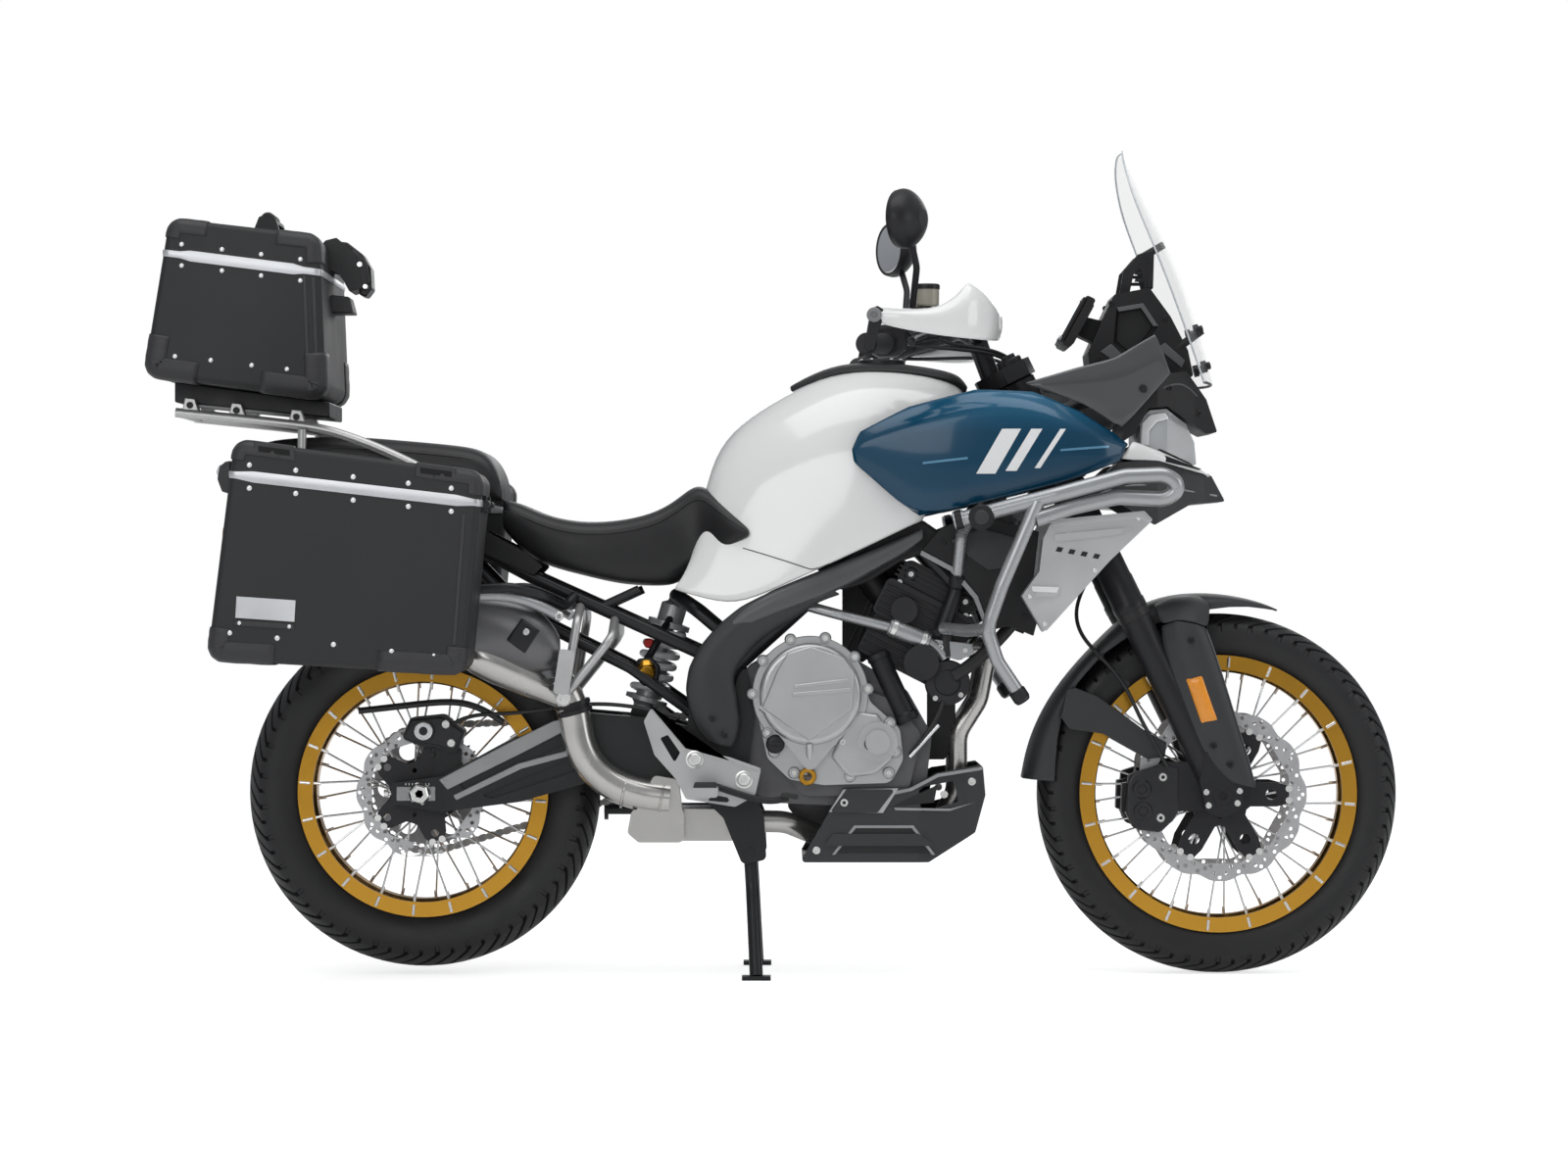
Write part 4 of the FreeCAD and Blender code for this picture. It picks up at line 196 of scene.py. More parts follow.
def through(a, b, c, count):
    """Points on the circle through three (r, y) points, from a to c."""
    (ax, ay), (bx, by), (cx, cy) = a, b, c
    d = 2 * (ax * (by - cy) + bx * (cy - ay) + cx * (ay - by))
    ux = ((ax**2 + ay**2) * (by - cy) + (bx**2 + by**2) * (cy - ay) + (cx**2 + cy**2) * (ay - by)) / d
    uy = ((ax**2 + ay**2) * (cx - bx) + (bx**2 + by**2) * (ax - cx) + (cx**2 + cy**2) * (bx - ax)) / d
    radius = math.hypot(ax - ux, ay - uy)
    start, middle, end = (math.atan2(y - uy, x - ux) for x, y in (a, b, c))
    turn = (end - start + math.pi) % math.tau - math.pi
    if abs((middle - start + math.pi) % math.tau - math.pi) > abs(turn):
        turn -= math.copysign(math.tau, turn)
    steps = [start + turn * i / (count - 1) for i in range(count)]
    return [(ux + radius * math.cos(s), uy + radius * math.sin(s)) for s in steps]


rubber = finish(
    "tyre_rubber", (0.016, 0.016, 0.017), 0.5, shine=0.4, grain=0.35, grain_mm=1.1, mottle=0.3, vary=0.12
)
front_axle = (1450, 329)
rear_axle = (0, 333)
front_pitches, rear_pitches = 34, 32
for tyre_name, axle, tyre_radius, tyre_width, rim_radius, pitches, tyre_body in (
    ("front_tyre_tread", front_axle, 329, 110, 241, front_pitches, "front_wheel"),
    ("rear_tyre_tread", rear_axle, 321, 150, 216, rear_pitches, "rear_wheel"),
):
    half = tyre_width / 2
    bead = (rim_radius + 13, tyre_width * 0.36)
    belly = ((rim_radius + tyre_radius) / 2, half)
    shoulder = (tyre_radius - tyre_width * 0.16, half * 0.88)
    wall_low = through(bead, (belly[0] - tyre_width * 0.12, half * 0.95), belly, 6)
    wall_high = through(belly, ((belly[0] + shoulder[0]) / 2, half * 0.985), shoulder, 6)
    crown = through(shoulder, (tyre_radius, 0), (shoulder[0], -shoulder[1]), 41)[:21]
    # Rows from the bead to the middle: (r, y, groove start, groove end), the same on both sides
    ridge = [
        (r + (1.2 if i == 2 else 0), y + (1.4 if i in (1, 2) else 0)) for i, (r, y) in enumerate(wall_low)
    ]
    rows = [(rim_radius + 0.5, bead[1])] + ridge[:-1] + wall_high[:-1] + crown
    rows = rows + [(r, -y) for r, y in reversed(rows[:-1])]
    middle = len(rows) // 2
    first = 1 + len(ridge) - 1 + len(wall_high) - 1
    depth = 6.5
    shares = (0.0, 0.025, 0.14, 0.165, 0.5, 0.52, 0.6, 0.62)
    points, faces = [], []
    for p in range(pitches):
        for k, share in enumerate(shares):
            for j, (r, y) in enumerate(rows):
                near = abs(j - middle)
                reach = middle - first
                sink = 0.0
                if near <= reach + 2:
                    if k in (1, 2) and 2 <= near:
                        sink = depth if near <= reach else depth * 0.5
                    if k in (5, 6) and 9 <= near <= reach + 1:
                        sink = depth * 0.8
                lean = 0.9 * (min(near, reach) / reach) ** 1.4
                offset = 0.5 if j > middle else 0.0
                angle = math.tau * (p + share + lean + (offset if near > 0 else 0.25)) / pitches
                toward = 1 - sink / tyre_radius if near <= reach else 1
                side_in = math.copysign(
                    sink if near > reach else sink * 0.55 * near / reach, y
                ) if sink else 0
                points.append((
                    axle[0] + r * toward * math.cos(angle), y - side_in,
                    axle[1] + r * toward * math.sin(angle),
                ))
    columns, width = pitches * len(shares), len(rows)
    for c in range(columns):
        for j in range(width - 1):
            a, b = c * width + j, ((c + 1) % columns) * width + j
            faces.append((a, a + 1, b + 1, b))
    tread = piece(tyre_name, mesh_of(tyre_name, points, faces), rubber, tyre_body,
                  hides=(tyre_name.replace("_tread", ""),), sharp=38)


# Rims: tubeless rims with spokes at their edges, gold anodised, with bright nipples seated in
# the flanges all round.
def lathe(profile, axle, segments=96, closed=False):
    """Points and faces of (r, y) pairs turned about a lateral axle."""
    points, faces = [], []
    count = len(profile)
    for i in range(segments):
        a = math.tau * i / segments
        points += [(axle[0] + r * math.cos(a), y, axle[1] + r * math.sin(a)) for r, y in profile]
    for i in range(segments):
        near, far = i * count, ((i + 1) % segments) * count
        for j in range(count if closed else count - 1):
            k = (j + 1) % count
            faces.append((near + j, near + k, far + k, far + j))
    return points, faces


def rods(ends, radius, sides=8):
    """Points and faces of straight rods between pairs of places, in millimetres."""
    points, faces = [], []
    for start, end in ends:
        start, end = Vector(start), Vector(end)
        way = (end - start).normalized()
        across = way.orthogonal().normalized()
        other = way.cross(across)
        base = len(points)
        for centre in (start, end):
            for i in range(sides):
                a = math.tau * i / sides
                points.append(tuple(centre + (across * math.cos(a) + other * math.sin(a)) * radius))
        for i in range(sides):
            j = (i + 1) % sides
            faces.append((base + i, base + j, base + sides + j, base + sides + i))
        faces.append(tuple(base + i for i in reversed(range(sides))))
        faces.append(tuple(base + sides + i for i in range(sides)))
    return points, faces


gold = finish(
    "gold_anodised", (0.62, 0.32, 0.035), 0.22, metal=1.0, grain=0.02, mottle=0.06, mottle_mm=60, vary=0.03,
    coat=0.2,
)
nipple_steel = finish("nipple_steel", (0.82, 0.82, 0.8), 0.28, metal=0.85, mottle=0.05)
spoke_steel = finish("spoke_steel", (0.72, 0.73, 0.74), 0.24, metal=0.9, mottle=0.08, mottle_mm=20)
satin_black = finish(
    "satin_black", (0.014, 0.014, 0.016), 0.4, shine=0.35, grain=0.2, grain_mm=0.6, mottle=0.2,
    mottle_mm=30,
)
for node in ("front_rim", "rear_rim"):
    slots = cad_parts[node].data.materials
    slots.clear()
    slots.append(gold)


def wheel_point(axle, radius, degrees, y):
    """A place at a radius and an angle about an axle."""
    a = math.radians(degrees)
    return (axle[0] + radius * math.cos(a), y, axle[1] + radius * math.sin(a))


# Hubs: black cast barrels with two flanges each, laced with stainless spokes that cross in pairs.
# The rear hub also carries the cush drive and the chain wheel.
for side_name, axle, flange_r, flange_y, barrel_r, half_length, hub_r, land, edge_y, rim_y, wheel_body in (
    ("front", front_axle, 44, 36, 34, 67, 40, 226, 35.6, 43.6, "front_wheel"),
    ("rear", rear_axle, 52, 40, 40, 77, 47, 201, 50.0, 58.0, "rear_wheel"),
):
    laced, seats = [], []
    for flank in (-1, 1):
        for i in range(20):
            rim_angle = 18 * (i + 0.25 * flank)
            hub_angle = rim_angle + (24 if i % 2 else -24)
            out = 1.5 if i % 2 else -1.5
            start = wheel_point(axle, hub_r, hub_angle, flank * (flange_y + out))
            end = wheel_point(axle, land - 0.6, rim_angle, flank * (edge_y + out))
            laced.append((start, end))
            seats.append((
                wheel_point(axle, land - 14, rim_angle, flank * (edge_y + out - 0.6)),
                wheel_point(axle, land + 2, rim_angle, flank * (edge_y + out)),
            ))
            seats.append((
                wheel_point(axle, land + 5, rim_angle, flank * (rim_y + 0.6)),
                wheel_point(axle, land + 24, rim_angle, flank * (rim_y + 0.6)),
            ))
    spoke_mesh = mesh_of(side_name + "_spokes", *rods(laced, 1.9))
    laced_wheel = piece(
        side_name + "_spokes", spoke_mesh, spoke_steel, wheel_body, hides=(side_name + "_hub",)
    )
    piece(
        side_name + "_nipples", mesh_of(side_name + "_nipples", *rods(seats, 3.0, 10)), nipple_steel,
        wheel_body,
    )
    profile = [
        (12.1, -half_length), (barrel_r - 4, -half_length), (barrel_r, -half_length + 4),
        (barrel_r, -flange_y - 8), (flange_r - 2, -flange_y - 5), (flange_r, -flange_y - 3),
        (flange_r, -flange_y + 3), (flange_r - 2, -flange_y + 5), (barrel_r - 6, -flange_y + 14),
        (barrel_r - 6, flange_y - 14), (flange_r - 2, flange_y - 5), (flange_r, flange_y - 3),
        (flange_r, flange_y + 3), (flange_r - 2, flange_y + 5), (barrel_r, flange_y + 8),
        (barrel_r, half_length - 4), (barrel_r - 4, half_length), (12.1, half_length),
    ]
    barrel = piece(
        side_name + "_hub_barrel", mesh_of(side_name + "_barrel", *lathe(profile, axle, 72, True)),
        satin_black, wheel_body, hides=(side_name + "_hub",),
    )


# Brake discs and chain wheel: laser-cut stainless bands with wavy edges and rows of holes,
# riveted to black carriers. The plates are cut flat and stood up across the axle.
def plate(name, outlines, y, thick, surface, body, hides=(), bevel=0.5):
    """A flat plate across the machine from closed (x, z) outlines; the later ones are holes."""
    curve = bpy.data.curves.new(name, "CURVE")
    curve.dimensions = "2D"
    curve.fill_mode = "BOTH"
    curve.extrude = max(0.0001, thick / 2 - bevel) / 1000
    curve.bevel_depth = bevel / 1000
    curve.offset = -bevel / 1000
    curve.bevel_resolution = 1
    for outline in outlines:
        spline = curve.splines.new("POLY")
        spline.points.add(len(outline) - 1)
        for point, (x, z) in zip(spline.points, outline):
            point.co = ((x - middle_x) / 1000, z / 1000, 0, 1)
        spline.use_cyclic_u = True
    flat = bpy.data.objects.new(name + "_flat", curve)
    bpy.context.collection.objects.link(flat)
    bpy.context.view_layer.update()
    mesh = bpy.data.meshes.new_from_object(flat.evaluated_get(bpy.context.evaluated_depsgraph_get()))
    bpy.data.objects.remove(flat)
    mesh.name = name
    mesh.transform(Matrix(((1, 0, 0, 0), (0, 0, -1, y / 1000), (0, 1, 0, 0), (0, 0, 0, 1))))
    return piece(name, mesh, surface, body, hides)


def circle(x, z, radius, sides=14):
    """A round outline."""
    return [
        (x + radius * math.cos(math.tau * i / sides), z + radius * math.sin(math.tau * i / sides))
        for i in range(sides)
    ]


def wavy(axle, radius, wave, lobes):
    """A round outline with shallow scallops."""
    outline = []
    sides = 240
    for i in range(sides):
        a = math.tau * i / sides
        r = radius - wave * (0.5 - 0.5 * math.cos(lobes * a)) ** 2
        outline.append((axle[0] + r * math.cos(a), axle[1] + r * math.sin(a)))
    return outline


disc_steel = finish(
    "disc_steel", (0.5, 0.5, 0.51), 0.36, metal=0.6, grain=0.1, grain_mm=0.5, mottle=0.1, mottle_mm=25
)
carrier_black = finish("carrier_black", (0.018, 0.018, 0.02), 0.38, metal=0.3, mottle=0.2)
for disc_name, axle, disc_y, outer, band, carrier_r, arms, lobes, disc_body, node in (
    ("front_disc_right", front_axle, -70, 158, 33, 50, 6, 12, "front_wheel", "front_discs"),
    ("front_disc_left", front_axle, 70, 158, 33, 50, 6, 12, "front_wheel", "front_discs"),
    ("rear_disc_plate", rear_axle, -80, 119, 28, 52, 5, 10, "rear_wheel", "rear_disc"),
):
    cuts = [wavy(axle, outer, 7, lobes), list(reversed(wavy(axle, outer - band, -4, lobes)))]
    for lobe in range(lobes):
        for n, (share, out) in enumerate(
            ((0.0, 7), (0.14, 15), (0.3, 23), (0.46, 11), (0.62, 19), (0.76, 27), (0.9, 14))
        ):
            a = 360 * (lobe + share) / lobes
            x, _, z = wheel_point(axle, outer - out * band / 34 - (3 if 0.25 < share < 0.75 else 0), a, 0)
            cuts.append(circle(x, z, 3.6, 10))
    disc = plate(disc_name, cuts, disc_y, 4.6, disc_steel, disc_body, hides=(node,), bevel=0.4)
    web = []
    for i in range(arms):
        for share, reach in (
            (-0.5, 0), (-0.36, 0.05), (-0.2, 0.7), (-0.12, 1.0), (0.12, 1.0), (0.2, 0.7), (0.36, 0.05)
        ):
            r = carrier_r + 6 + reach * (outer - band + 2 - carrier_r - 6)
            x, _, z = wheel_point(axle, r, 360 * (i + share) / arms, 0)
            web.append((x, z))
    holes = [circle(axle[0], axle[1], 25, 32)]
    for i in range(arms):
        x, _, z = wheel_point(axle, (outer - band + carrier_r) / 2 + 6, 360 * i / arms, 0)
        holes.append(circle(x, z, 10 if outer > 130 else 7, 16))
        x, _, z = wheel_point(axle, carrier_r - 10, 360 * (i + 0.5) / arms, 0)
        holes.append(circle(x, z, 4.2, 10))
    plate(disc_name + "_carrier", [web] + holes, disc_y, 6.4, carrier_black, disc_body, bevel=0.8)
    buttons = []
    for i in range(arms):
        for lean in (-0.08, 0.08):
            x, _, z = wheel_point(axle, outer - band + 1, 360 * (i + lean) / arms, 0)
            buttons.append(((x, disc_y - 4.4, z), (x, disc_y + 4.4, z)))
    piece(
        disc_name + "_buttons", mesh_of(disc_name + "_buttons", *rods(buttons, 6.2, 14)), nipple_steel,
        disc_body,
    )

sprocket_steel = finish("sprocket_steel", (0.3, 0.3, 0.31), 0.4, metal=0.8, mottle=0.15)
teeth = []
for i in range(46):
    for share, reach in ((-0.3, 103.5), (-0.2, 104.5), (-0.07, 109.2), (0.07, 109.2), (0.2, 104.5)):
        x, _, z = wheel_point(rear_axle, reach, 360 * (i + share) / 46, 0)
        teeth.append((x, z))
lightened = [circle(*rear_axle, 28, 32)]
for i in range(6):
    x, _, z = wheel_point(rear_axle, 79, 60 * i, 0)
    lightened.append(circle(x, z, 17, 24))
    x, _, z = wheel_point(rear_axle, 52, 60 * i + 30, 0)
    lightened.append(circle(x, z, 4.5, 12))
chain_wheel = plate(
    "chain_wheel", [teeth] + lightened, 97, 6, sprocket_steel, "rear_wheel", hides=("rear_hub",)
)
cush = [
    (38, 60), (58, 60), (62, 64), (62, 90), (58, 94), (30, 94), (30, 102), (12.1, 102), (12.1, 62),
    (38, 62),
]
piece(
    "cush_drive", mesh_of("cush_drive", *lathe(cush, rear_axle, 64, True)), satin_black, "rear_wheel",
    hides=("rear_hub",),
)


# Frame, rear frame and stands: welded steel tube in satin black powder coat, with the solids as
# they are and only their surface given here.
def dress(surface, *names):
    """Gives CAD nodes their finish."""
    for name in names:
        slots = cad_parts[name].data.materials
        slots.clear()
        slots.append(surface)


frame_black = finish(
    "frame_black", (0.012, 0.0125, 0.014), 0.34, shine=0.4, grain=0.25, grain_mm=0.7, mottle=0.2,
    mottle_mm=50,
)
dress(frame_black, "main_frame", "subframe", "centre_stand", "side_stand", "side_racks")

# Racks and engine bars: bent steel tube with a pale silver powder coat, a little glossier on the
# bars. Their welds, plugs and clamps come further down.
rack_silver = finish(
    "rack_silver", (0.42, 0.43, 0.44), 0.34, metal=0.6, grain=0.08, grain_mm=0.6, mottle=0.1
)
bar_silver = finish("bar_silver", (0.42, 0.43, 0.44), 0.3, metal=0.7, grain=0.04, grain_mm=0.6, mottle=0.06)
dress(rack_silver, "top_rack")
dress(bar_silver, "crash_bars")

# Swingarm, chain and shock absorber: a cast aluminium double arm in black, on a pin between the
# frame's pivot plates, with a steel chain and a grey damper.
arm_black = finish(
    "arm_black", (0.016, 0.017, 0.018), 0.33, metal=0.1, shine=0.4, grain=0.2, grain_mm=1.2, mottle=0.2
)
dress(arm_black, "swingarm")
dress(sprocket_steel, "drive_chain", "front_sprocket")
shock_grey = finish("shock_grey", (0.5, 0.51, 0.52), 0.3, metal=0.4, mottle=0.1)
dress(shock_grey, "shock_absorber")

# Engine: sand-cast cases in dark silver, a black cylinder block and head, and bright side covers
# that are bolted on.
case_silver = finish(
    "case_silver", (0.12, 0.12, 0.124), 0.42, metal=0.6, grain=0.3, grain_mm=1.6, mottle=0.15
)
cover_silver = finish(
    "cover_silver", (0.52, 0.525, 0.53), 0.3, metal=0.7, grain=0.05, grain_mm=1.4, mottle=0.08,
    mottle_mm=60, vary=0.02,
)
head_black = finish(
    "head_black", (0.02, 0.02, 0.022), 0.4, metal=0.1, shine=0.4, grain=0.3, grain_mm=1.6, mottle=0.25
)
dress(case_silver, "crankcase")
dress(cover_silver, "engine_covers")
dress(head_black, "cylinder_head", "radiator")

# Exhaust: brushed stainless headers and collector box, welded together, and a dark oval silencer
# clamped to the link pipe.
pipe_steel = finish(
    "pipe_steel", (0.56, 0.55, 0.53), 0.24, metal=0.92, grain=0.05, grain_mm=0.6, mottle=0.08, mottle_mm=60
)
muffler_grey = finish("muffler_grey", (0.16, 0.16, 0.165), 0.36, metal=0.7, grain=0.2, mottle=0.12)
dress(pipe_steel, "exhaust_pipes")
dress(muffler_grey, "muffler")

# Moulded covers, fenders and guards: textured charcoal and black plastic, left as moulded, with
# the cases and lamps in finishes of their own.
charcoal = finish(
    "charcoal_plastic", (0.036, 0.037, 0.039), 0.44, shine=0.4, grain=0.5, grain_mm=0.9, mottle=0.12,
    mottle_mm=90,
)
deep_black = finish(
    "deep_black_plastic", (0.012, 0.012, 0.013), 0.48, shine=0.35, grain=0.5, grain_mm=0.9, mottle=0.15
)
gloss_white = finish(
    "gloss_white", (0.83, 0.83, 0.82), 0.16, grain=0.0, mottle=0.012, mottle_mm=200, vary=0.02, coat=0.8
)
petrol_blue = finish(
    "petrol_blue", (0.001, 0.05, 0.105), 0.22, shine=0.3, metal=0.1, grain=0.02, mottle=0.1, mottle_mm=180,
    vary=0.03, coat=0.45,
)
hanger_silver = finish("hanger_silver", (0.5, 0.5, 0.5), 0.36, metal=0.6, grain=0.4, grain_mm=1.0)
shroud_silver = finish("shroud_silver", (0.58, 0.585, 0.59), 0.34, metal=0.45, grain=0.2, mottle=0.06)
dress(charcoal, "frame_side_covers", "skid_plate", "front_fender", "nose_beak")
dress(deep_black, "tank_top_trim", "tail_unit", "front_fairing")
dress(gloss_white, "fuel_tank", "nose_fins", "handguards")
dress(petrol_blue, "tank_side_panels")
dress(shroud_silver, "radiator_shrouds")
dress(hanger_silver, "rider_footrests", "pillion_footrests")
dress(satin_black, "fork", "handlebar", "mirrors")

seat_vinyl = finish(
    "seat_vinyl", (0.014, 0.014, 0.015), 0.42, shine=0.4, grain=0.5, grain_mm=1.6, mottle=0.15
)
dress(seat_vinyl, "seat")
case_black = finish(
    "case_powder_black", (0.02, 0.0205, 0.0215), 0.52, shine=0.4, grain=0.5, grain_mm=0.8, mottle=0.12,
    mottle_mm=160,
)
dress(
    case_black, "side_case_left", "side_case_right", "side_case_lid_left", "side_case_lid_right",
    "top_case", "top_case_lid",
)

clear_screen = finish(
    "clear_polycarbonate", (0.86, 0.88, 0.9), 0.03, shine=0.3, grain=0.0, mottle=0.01, vary=0.01
)
clear_screen.node_tree.nodes["Principled BSDF"].inputs["Transmission Weight"].default_value = 1.0
clear_screen.node_tree.nodes["Principled BSDF"].inputs["IOR"].default_value = 1.06
smoked_screen = finish("smoked_polycarbonate", (0.42, 0.45, 0.47), 0.05, grain=0.0, mottle=0.02, vary=0.01)
smoked_screen.node_tree.nodes["Principled BSDF"].inputs["Transmission Weight"].default_value = 0.9
smoked_screen.node_tree.nodes["Principled BSDF"].inputs["IOR"].default_value = 1.35
lamp_glass = finish("lamp_glass", (0.9, 0.92, 0.94), 0.06, grain=0.0, mottle=0.02)
lamp_glass.node_tree.nodes["Principled BSDF"].inputs["Transmission Weight"].default_value = 0.5
dress(clear_screen, "windscreen")
dress(smoked_screen, "wind_deflectors")
dress(lamp_glass, "headlight")


# Fuel tank and its side wings: one moulded shell in gloss off-white. It is narrow at the rider's
# knees, full over the airbox, and its wings sweep down under the saddle.
def skin(name, rows, surface, body, hides=(), levels=2, ring=False, thick=0.0, both=False,
         creases=(), rim_crease=0.0, sharp=0):
    """A smooth shell stretched over rows of places in millimetres, thickened inwards where asked."""
    count = len(rows[0])
    points = [tuple(p) for row in rows for p in row]
    faces = []
    for i in range(len(rows) - 1):
        for j in range(count if ring else count - 1):
            k = (j + 1) % count
            faces.append((i * count + j, i * count + k, (i + 1) * count + k, (i + 1) * count + j))
    if ring:
        faces.append(tuple(reversed(range(count))))
        faces.append(tuple((len(rows) - 1) * count + j for j in range(count)))
    pairs = {}
    for kind, index, weight in creases:
        if kind == "row":
            line = [index * count + j for j in range(count)] + ([index * count] if ring else [])
        else:
            line = [i * count + index for i in range(len(rows))]
        for a, b in zip(line, line[1:]):
            pairs[frozenset((a, b))] = weight
    if both:
        base = len(points)
        points += [(x, -y, z) for x, y, z in points]
        faces += [tuple(base + v for v in reversed(face)) for face in faces]
        pairs.update({frozenset(base + v for v in pair): weight for pair, weight in list(pairs.items())})
    mesh = mesh_of(name, points, faces)
    if pairs:
        weights = mesh.attributes.new("crease_edge", "FLOAT", "EDGE")
        for edge in mesh.edges:
            weights.data[edge.index].value = pairs.get(frozenset(edge.vertices), 0.0)
    made = piece(name, mesh, surface, body, hides, sharp)
    if thick:
        wall = made.modifiers.new("wall", "SOLIDIFY")
        wall.thickness = thick / 1000
        wall.offset = -1
        wall.edge_crease_rim = rim_crease
        wall.edge_crease_outer = rim_crease
        wall.edge_crease_inner = rim_crease
    if levels:
        smoothed = made.modifiers.new("smoothed", "SUBSURF")
        smoothed.levels = smoothed.render_levels = levels
    return made


def across(row):
    """A row from the right edge over the middle to the left edge, from its left half."""
    return [(x, -y, z) for x, y, z in reversed(row[1:])] + list(row)


tank_halves = (
    (
        (514, 0, 866), (512, 40, 864), (508, 76, 850), (503, 96, 822), (496, 112, 788), (486, 134, 752),
        (471, 150, 722), (457, 154, 703), (459, 146, 700),
    ),
    (
        (530, 0, 948), (528, 52, 943), (522, 94, 916), (515, 118, 875), (509, 134, 828), (505, 150, 775),
        (502, 164, 722), (501, 170, 692), (503, 160, 688),
    ),
    (
        (575, 0, 1006), (573, 64, 999), (568, 118, 962), (563, 144, 905), (562, 156, 845), (563, 166, 780),
        (566, 178, 720), (569, 184, 674), (571, 174, 671),
    ),
    (
        (658, 0, 1062), (656, 76, 1053), (652, 134, 1012), (648, 166, 950), (644, 178, 885),
        (641, 184, 815), (640, 190, 752), (642, 193, 706), (644, 182, 703),
    ),
    (
        (746, 0, 1106), (745, 86, 1096), (742, 148, 1050), (736, 182, 985), (730, 192, 920),
        (725, 195, 850), (721, 196, 787), (720, 195, 741), (722, 184, 738),
    ),
    (
        (830, 0, 1112), (829, 90, 1103), (826, 152, 1056), (820, 184, 998), (812, 196, 935),
        (804, 198, 870), (798, 197, 812), (794, 195, 775), (796, 184, 772),
    ),
    (
        (915, 0, 1104), (914, 84, 1095), (911, 142, 1052), (903, 174, 1000), (892, 190, 945),
        (878, 194, 890), (864, 193, 842), (852, 190, 803), (854, 180, 800),
    ),
    (
        (974, 0, 1086), (973, 74, 1077), (970, 126, 1042), (963, 156, 998), (950, 178, 950),
        (934, 186, 903), (914, 186, 858), (896, 184, 824), (898, 174, 821),
    ),
    (
        (988, 0, 1066), (987, 70, 1056), (983, 112, 1024), (974, 138, 984), (960, 158, 938),
        (942, 168, 894), (926, 168, 854), (908, 166, 826), (908, 158, 824),
    ),
)
tank_shell = skin(
    "tank_shell", [across(h) for h in tank_halves], gloss_white, "chassis", hides=("fuel_tank",), thick=4,
    creases=(("col", 1, 0.55), ("col", 15, 0.55)),
)


def surface_of(made):
    """The final surface of a piece, for laying other pieces on it."""
    bpy.context.view_layer.update()
    graph = bpy.context.evaluated_depsgraph_get()
    return BVHTree.FromObject(made, graph)


def laid(tree, places, lift=0.0):
    """Each place moved to the surface from its own side of the machine, and lifted off it."""
    found = []
    for x, y, z in places:
        start = at(x, math.copysign(700, y), z)
        hit, normal, _, _ = tree.ray_cast(start, Vector((0, -math.copysign(1, y), 0)))
        if hit is None:
            hit, normal, _, _ = tree.find_nearest(at(x, y, z))
        normal = normal if normal.y * y > 0 else -normal
        spot = hit + normal * lift / 1000
        found.append((spot.x * 1000 + middle_x, spot.y * 1000, spot.z * 1000))
    return found


def pipe(name, routes, radius, surface, body, closed=False, sides=3, hides=()):
    """Round bars, cables or hoses along smooth routes of places in millimetres."""
    curve = bpy.data.curves.new(name, "CURVE")
    curve.dimensions = "3D"
    curve.bevel_depth = radius / 1000
    curve.bevel_resolution = sides
    curve.use_fill_caps = True
    curve.resolution_u = 6
    for route in routes:
        spline = curve.splines.new("NURBS")
        spline.points.add(len(route) - 1)
        for point, place in zip(spline.points, route):
            point.co = (*at(*place), 1)
        spline.order_u = min(4, len(route))
        spline.use_endpoint_u = not closed
        spline.use_cyclic_u = closed
    curve.materials.append(surface)
    made = bpy.data.objects.new(name, curve)
    bpy.context.collection.objects.link(made)
    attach(made, body)
    if hides:
        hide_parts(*hides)
    return made


tank_skin = surface_of(tank_shell)
# A thin dark line laid along the panel gap low on the tank's flanks: painted shadow in the gap.
gap_shade_paint = finish("seam_shadow", (0.05, 0.05, 0.052), 0.7, mottle=0.05)
pipe("tank_panel_gap_shadow", [
    laid(tank_skin, [(584 + 8.8 * i, s * 200, 776 - 2.5 * i - 0.02 * i * i) for i in range(20)], 0.0)
    for s in (-1, 1)
], 1.0, gap_shade_paint, "chassis")

# Tank top: a textured black centre strip along the crown, with the filler cap's ring, its raised
# middle and six cap screws.
trim_halves = (
    ((668, 0, 1074), (668, 22, 1072), (672, 34, 1062)),
    ((700, 0, 1093), (700, 38, 1090), (703, 54, 1078)),
    ((758, 0, 1118), (758, 52, 1113), (760, 70, 1098)),
    ((836, 0, 1120), (836, 58, 1115), (836, 78, 1100)),
    ((900, 0, 1114), (900, 58, 1109), (900, 77, 1095)),
    ((960, 0, 1103), (960, 54, 1098), (960, 72, 1084)),
    ((982, 0, 1093), (982, 46, 1088), (980, 62, 1074)),
    ((994, 0, 1074), (994, 36, 1070), (990, 50, 1058)),
)
top_strip = skin(
    "tank_top_strip", [across(h) for h in trim_halves], deep_black, "chassis", hides=("tank_top_trim",),
    thick=8, rim_crease=0.4,
)


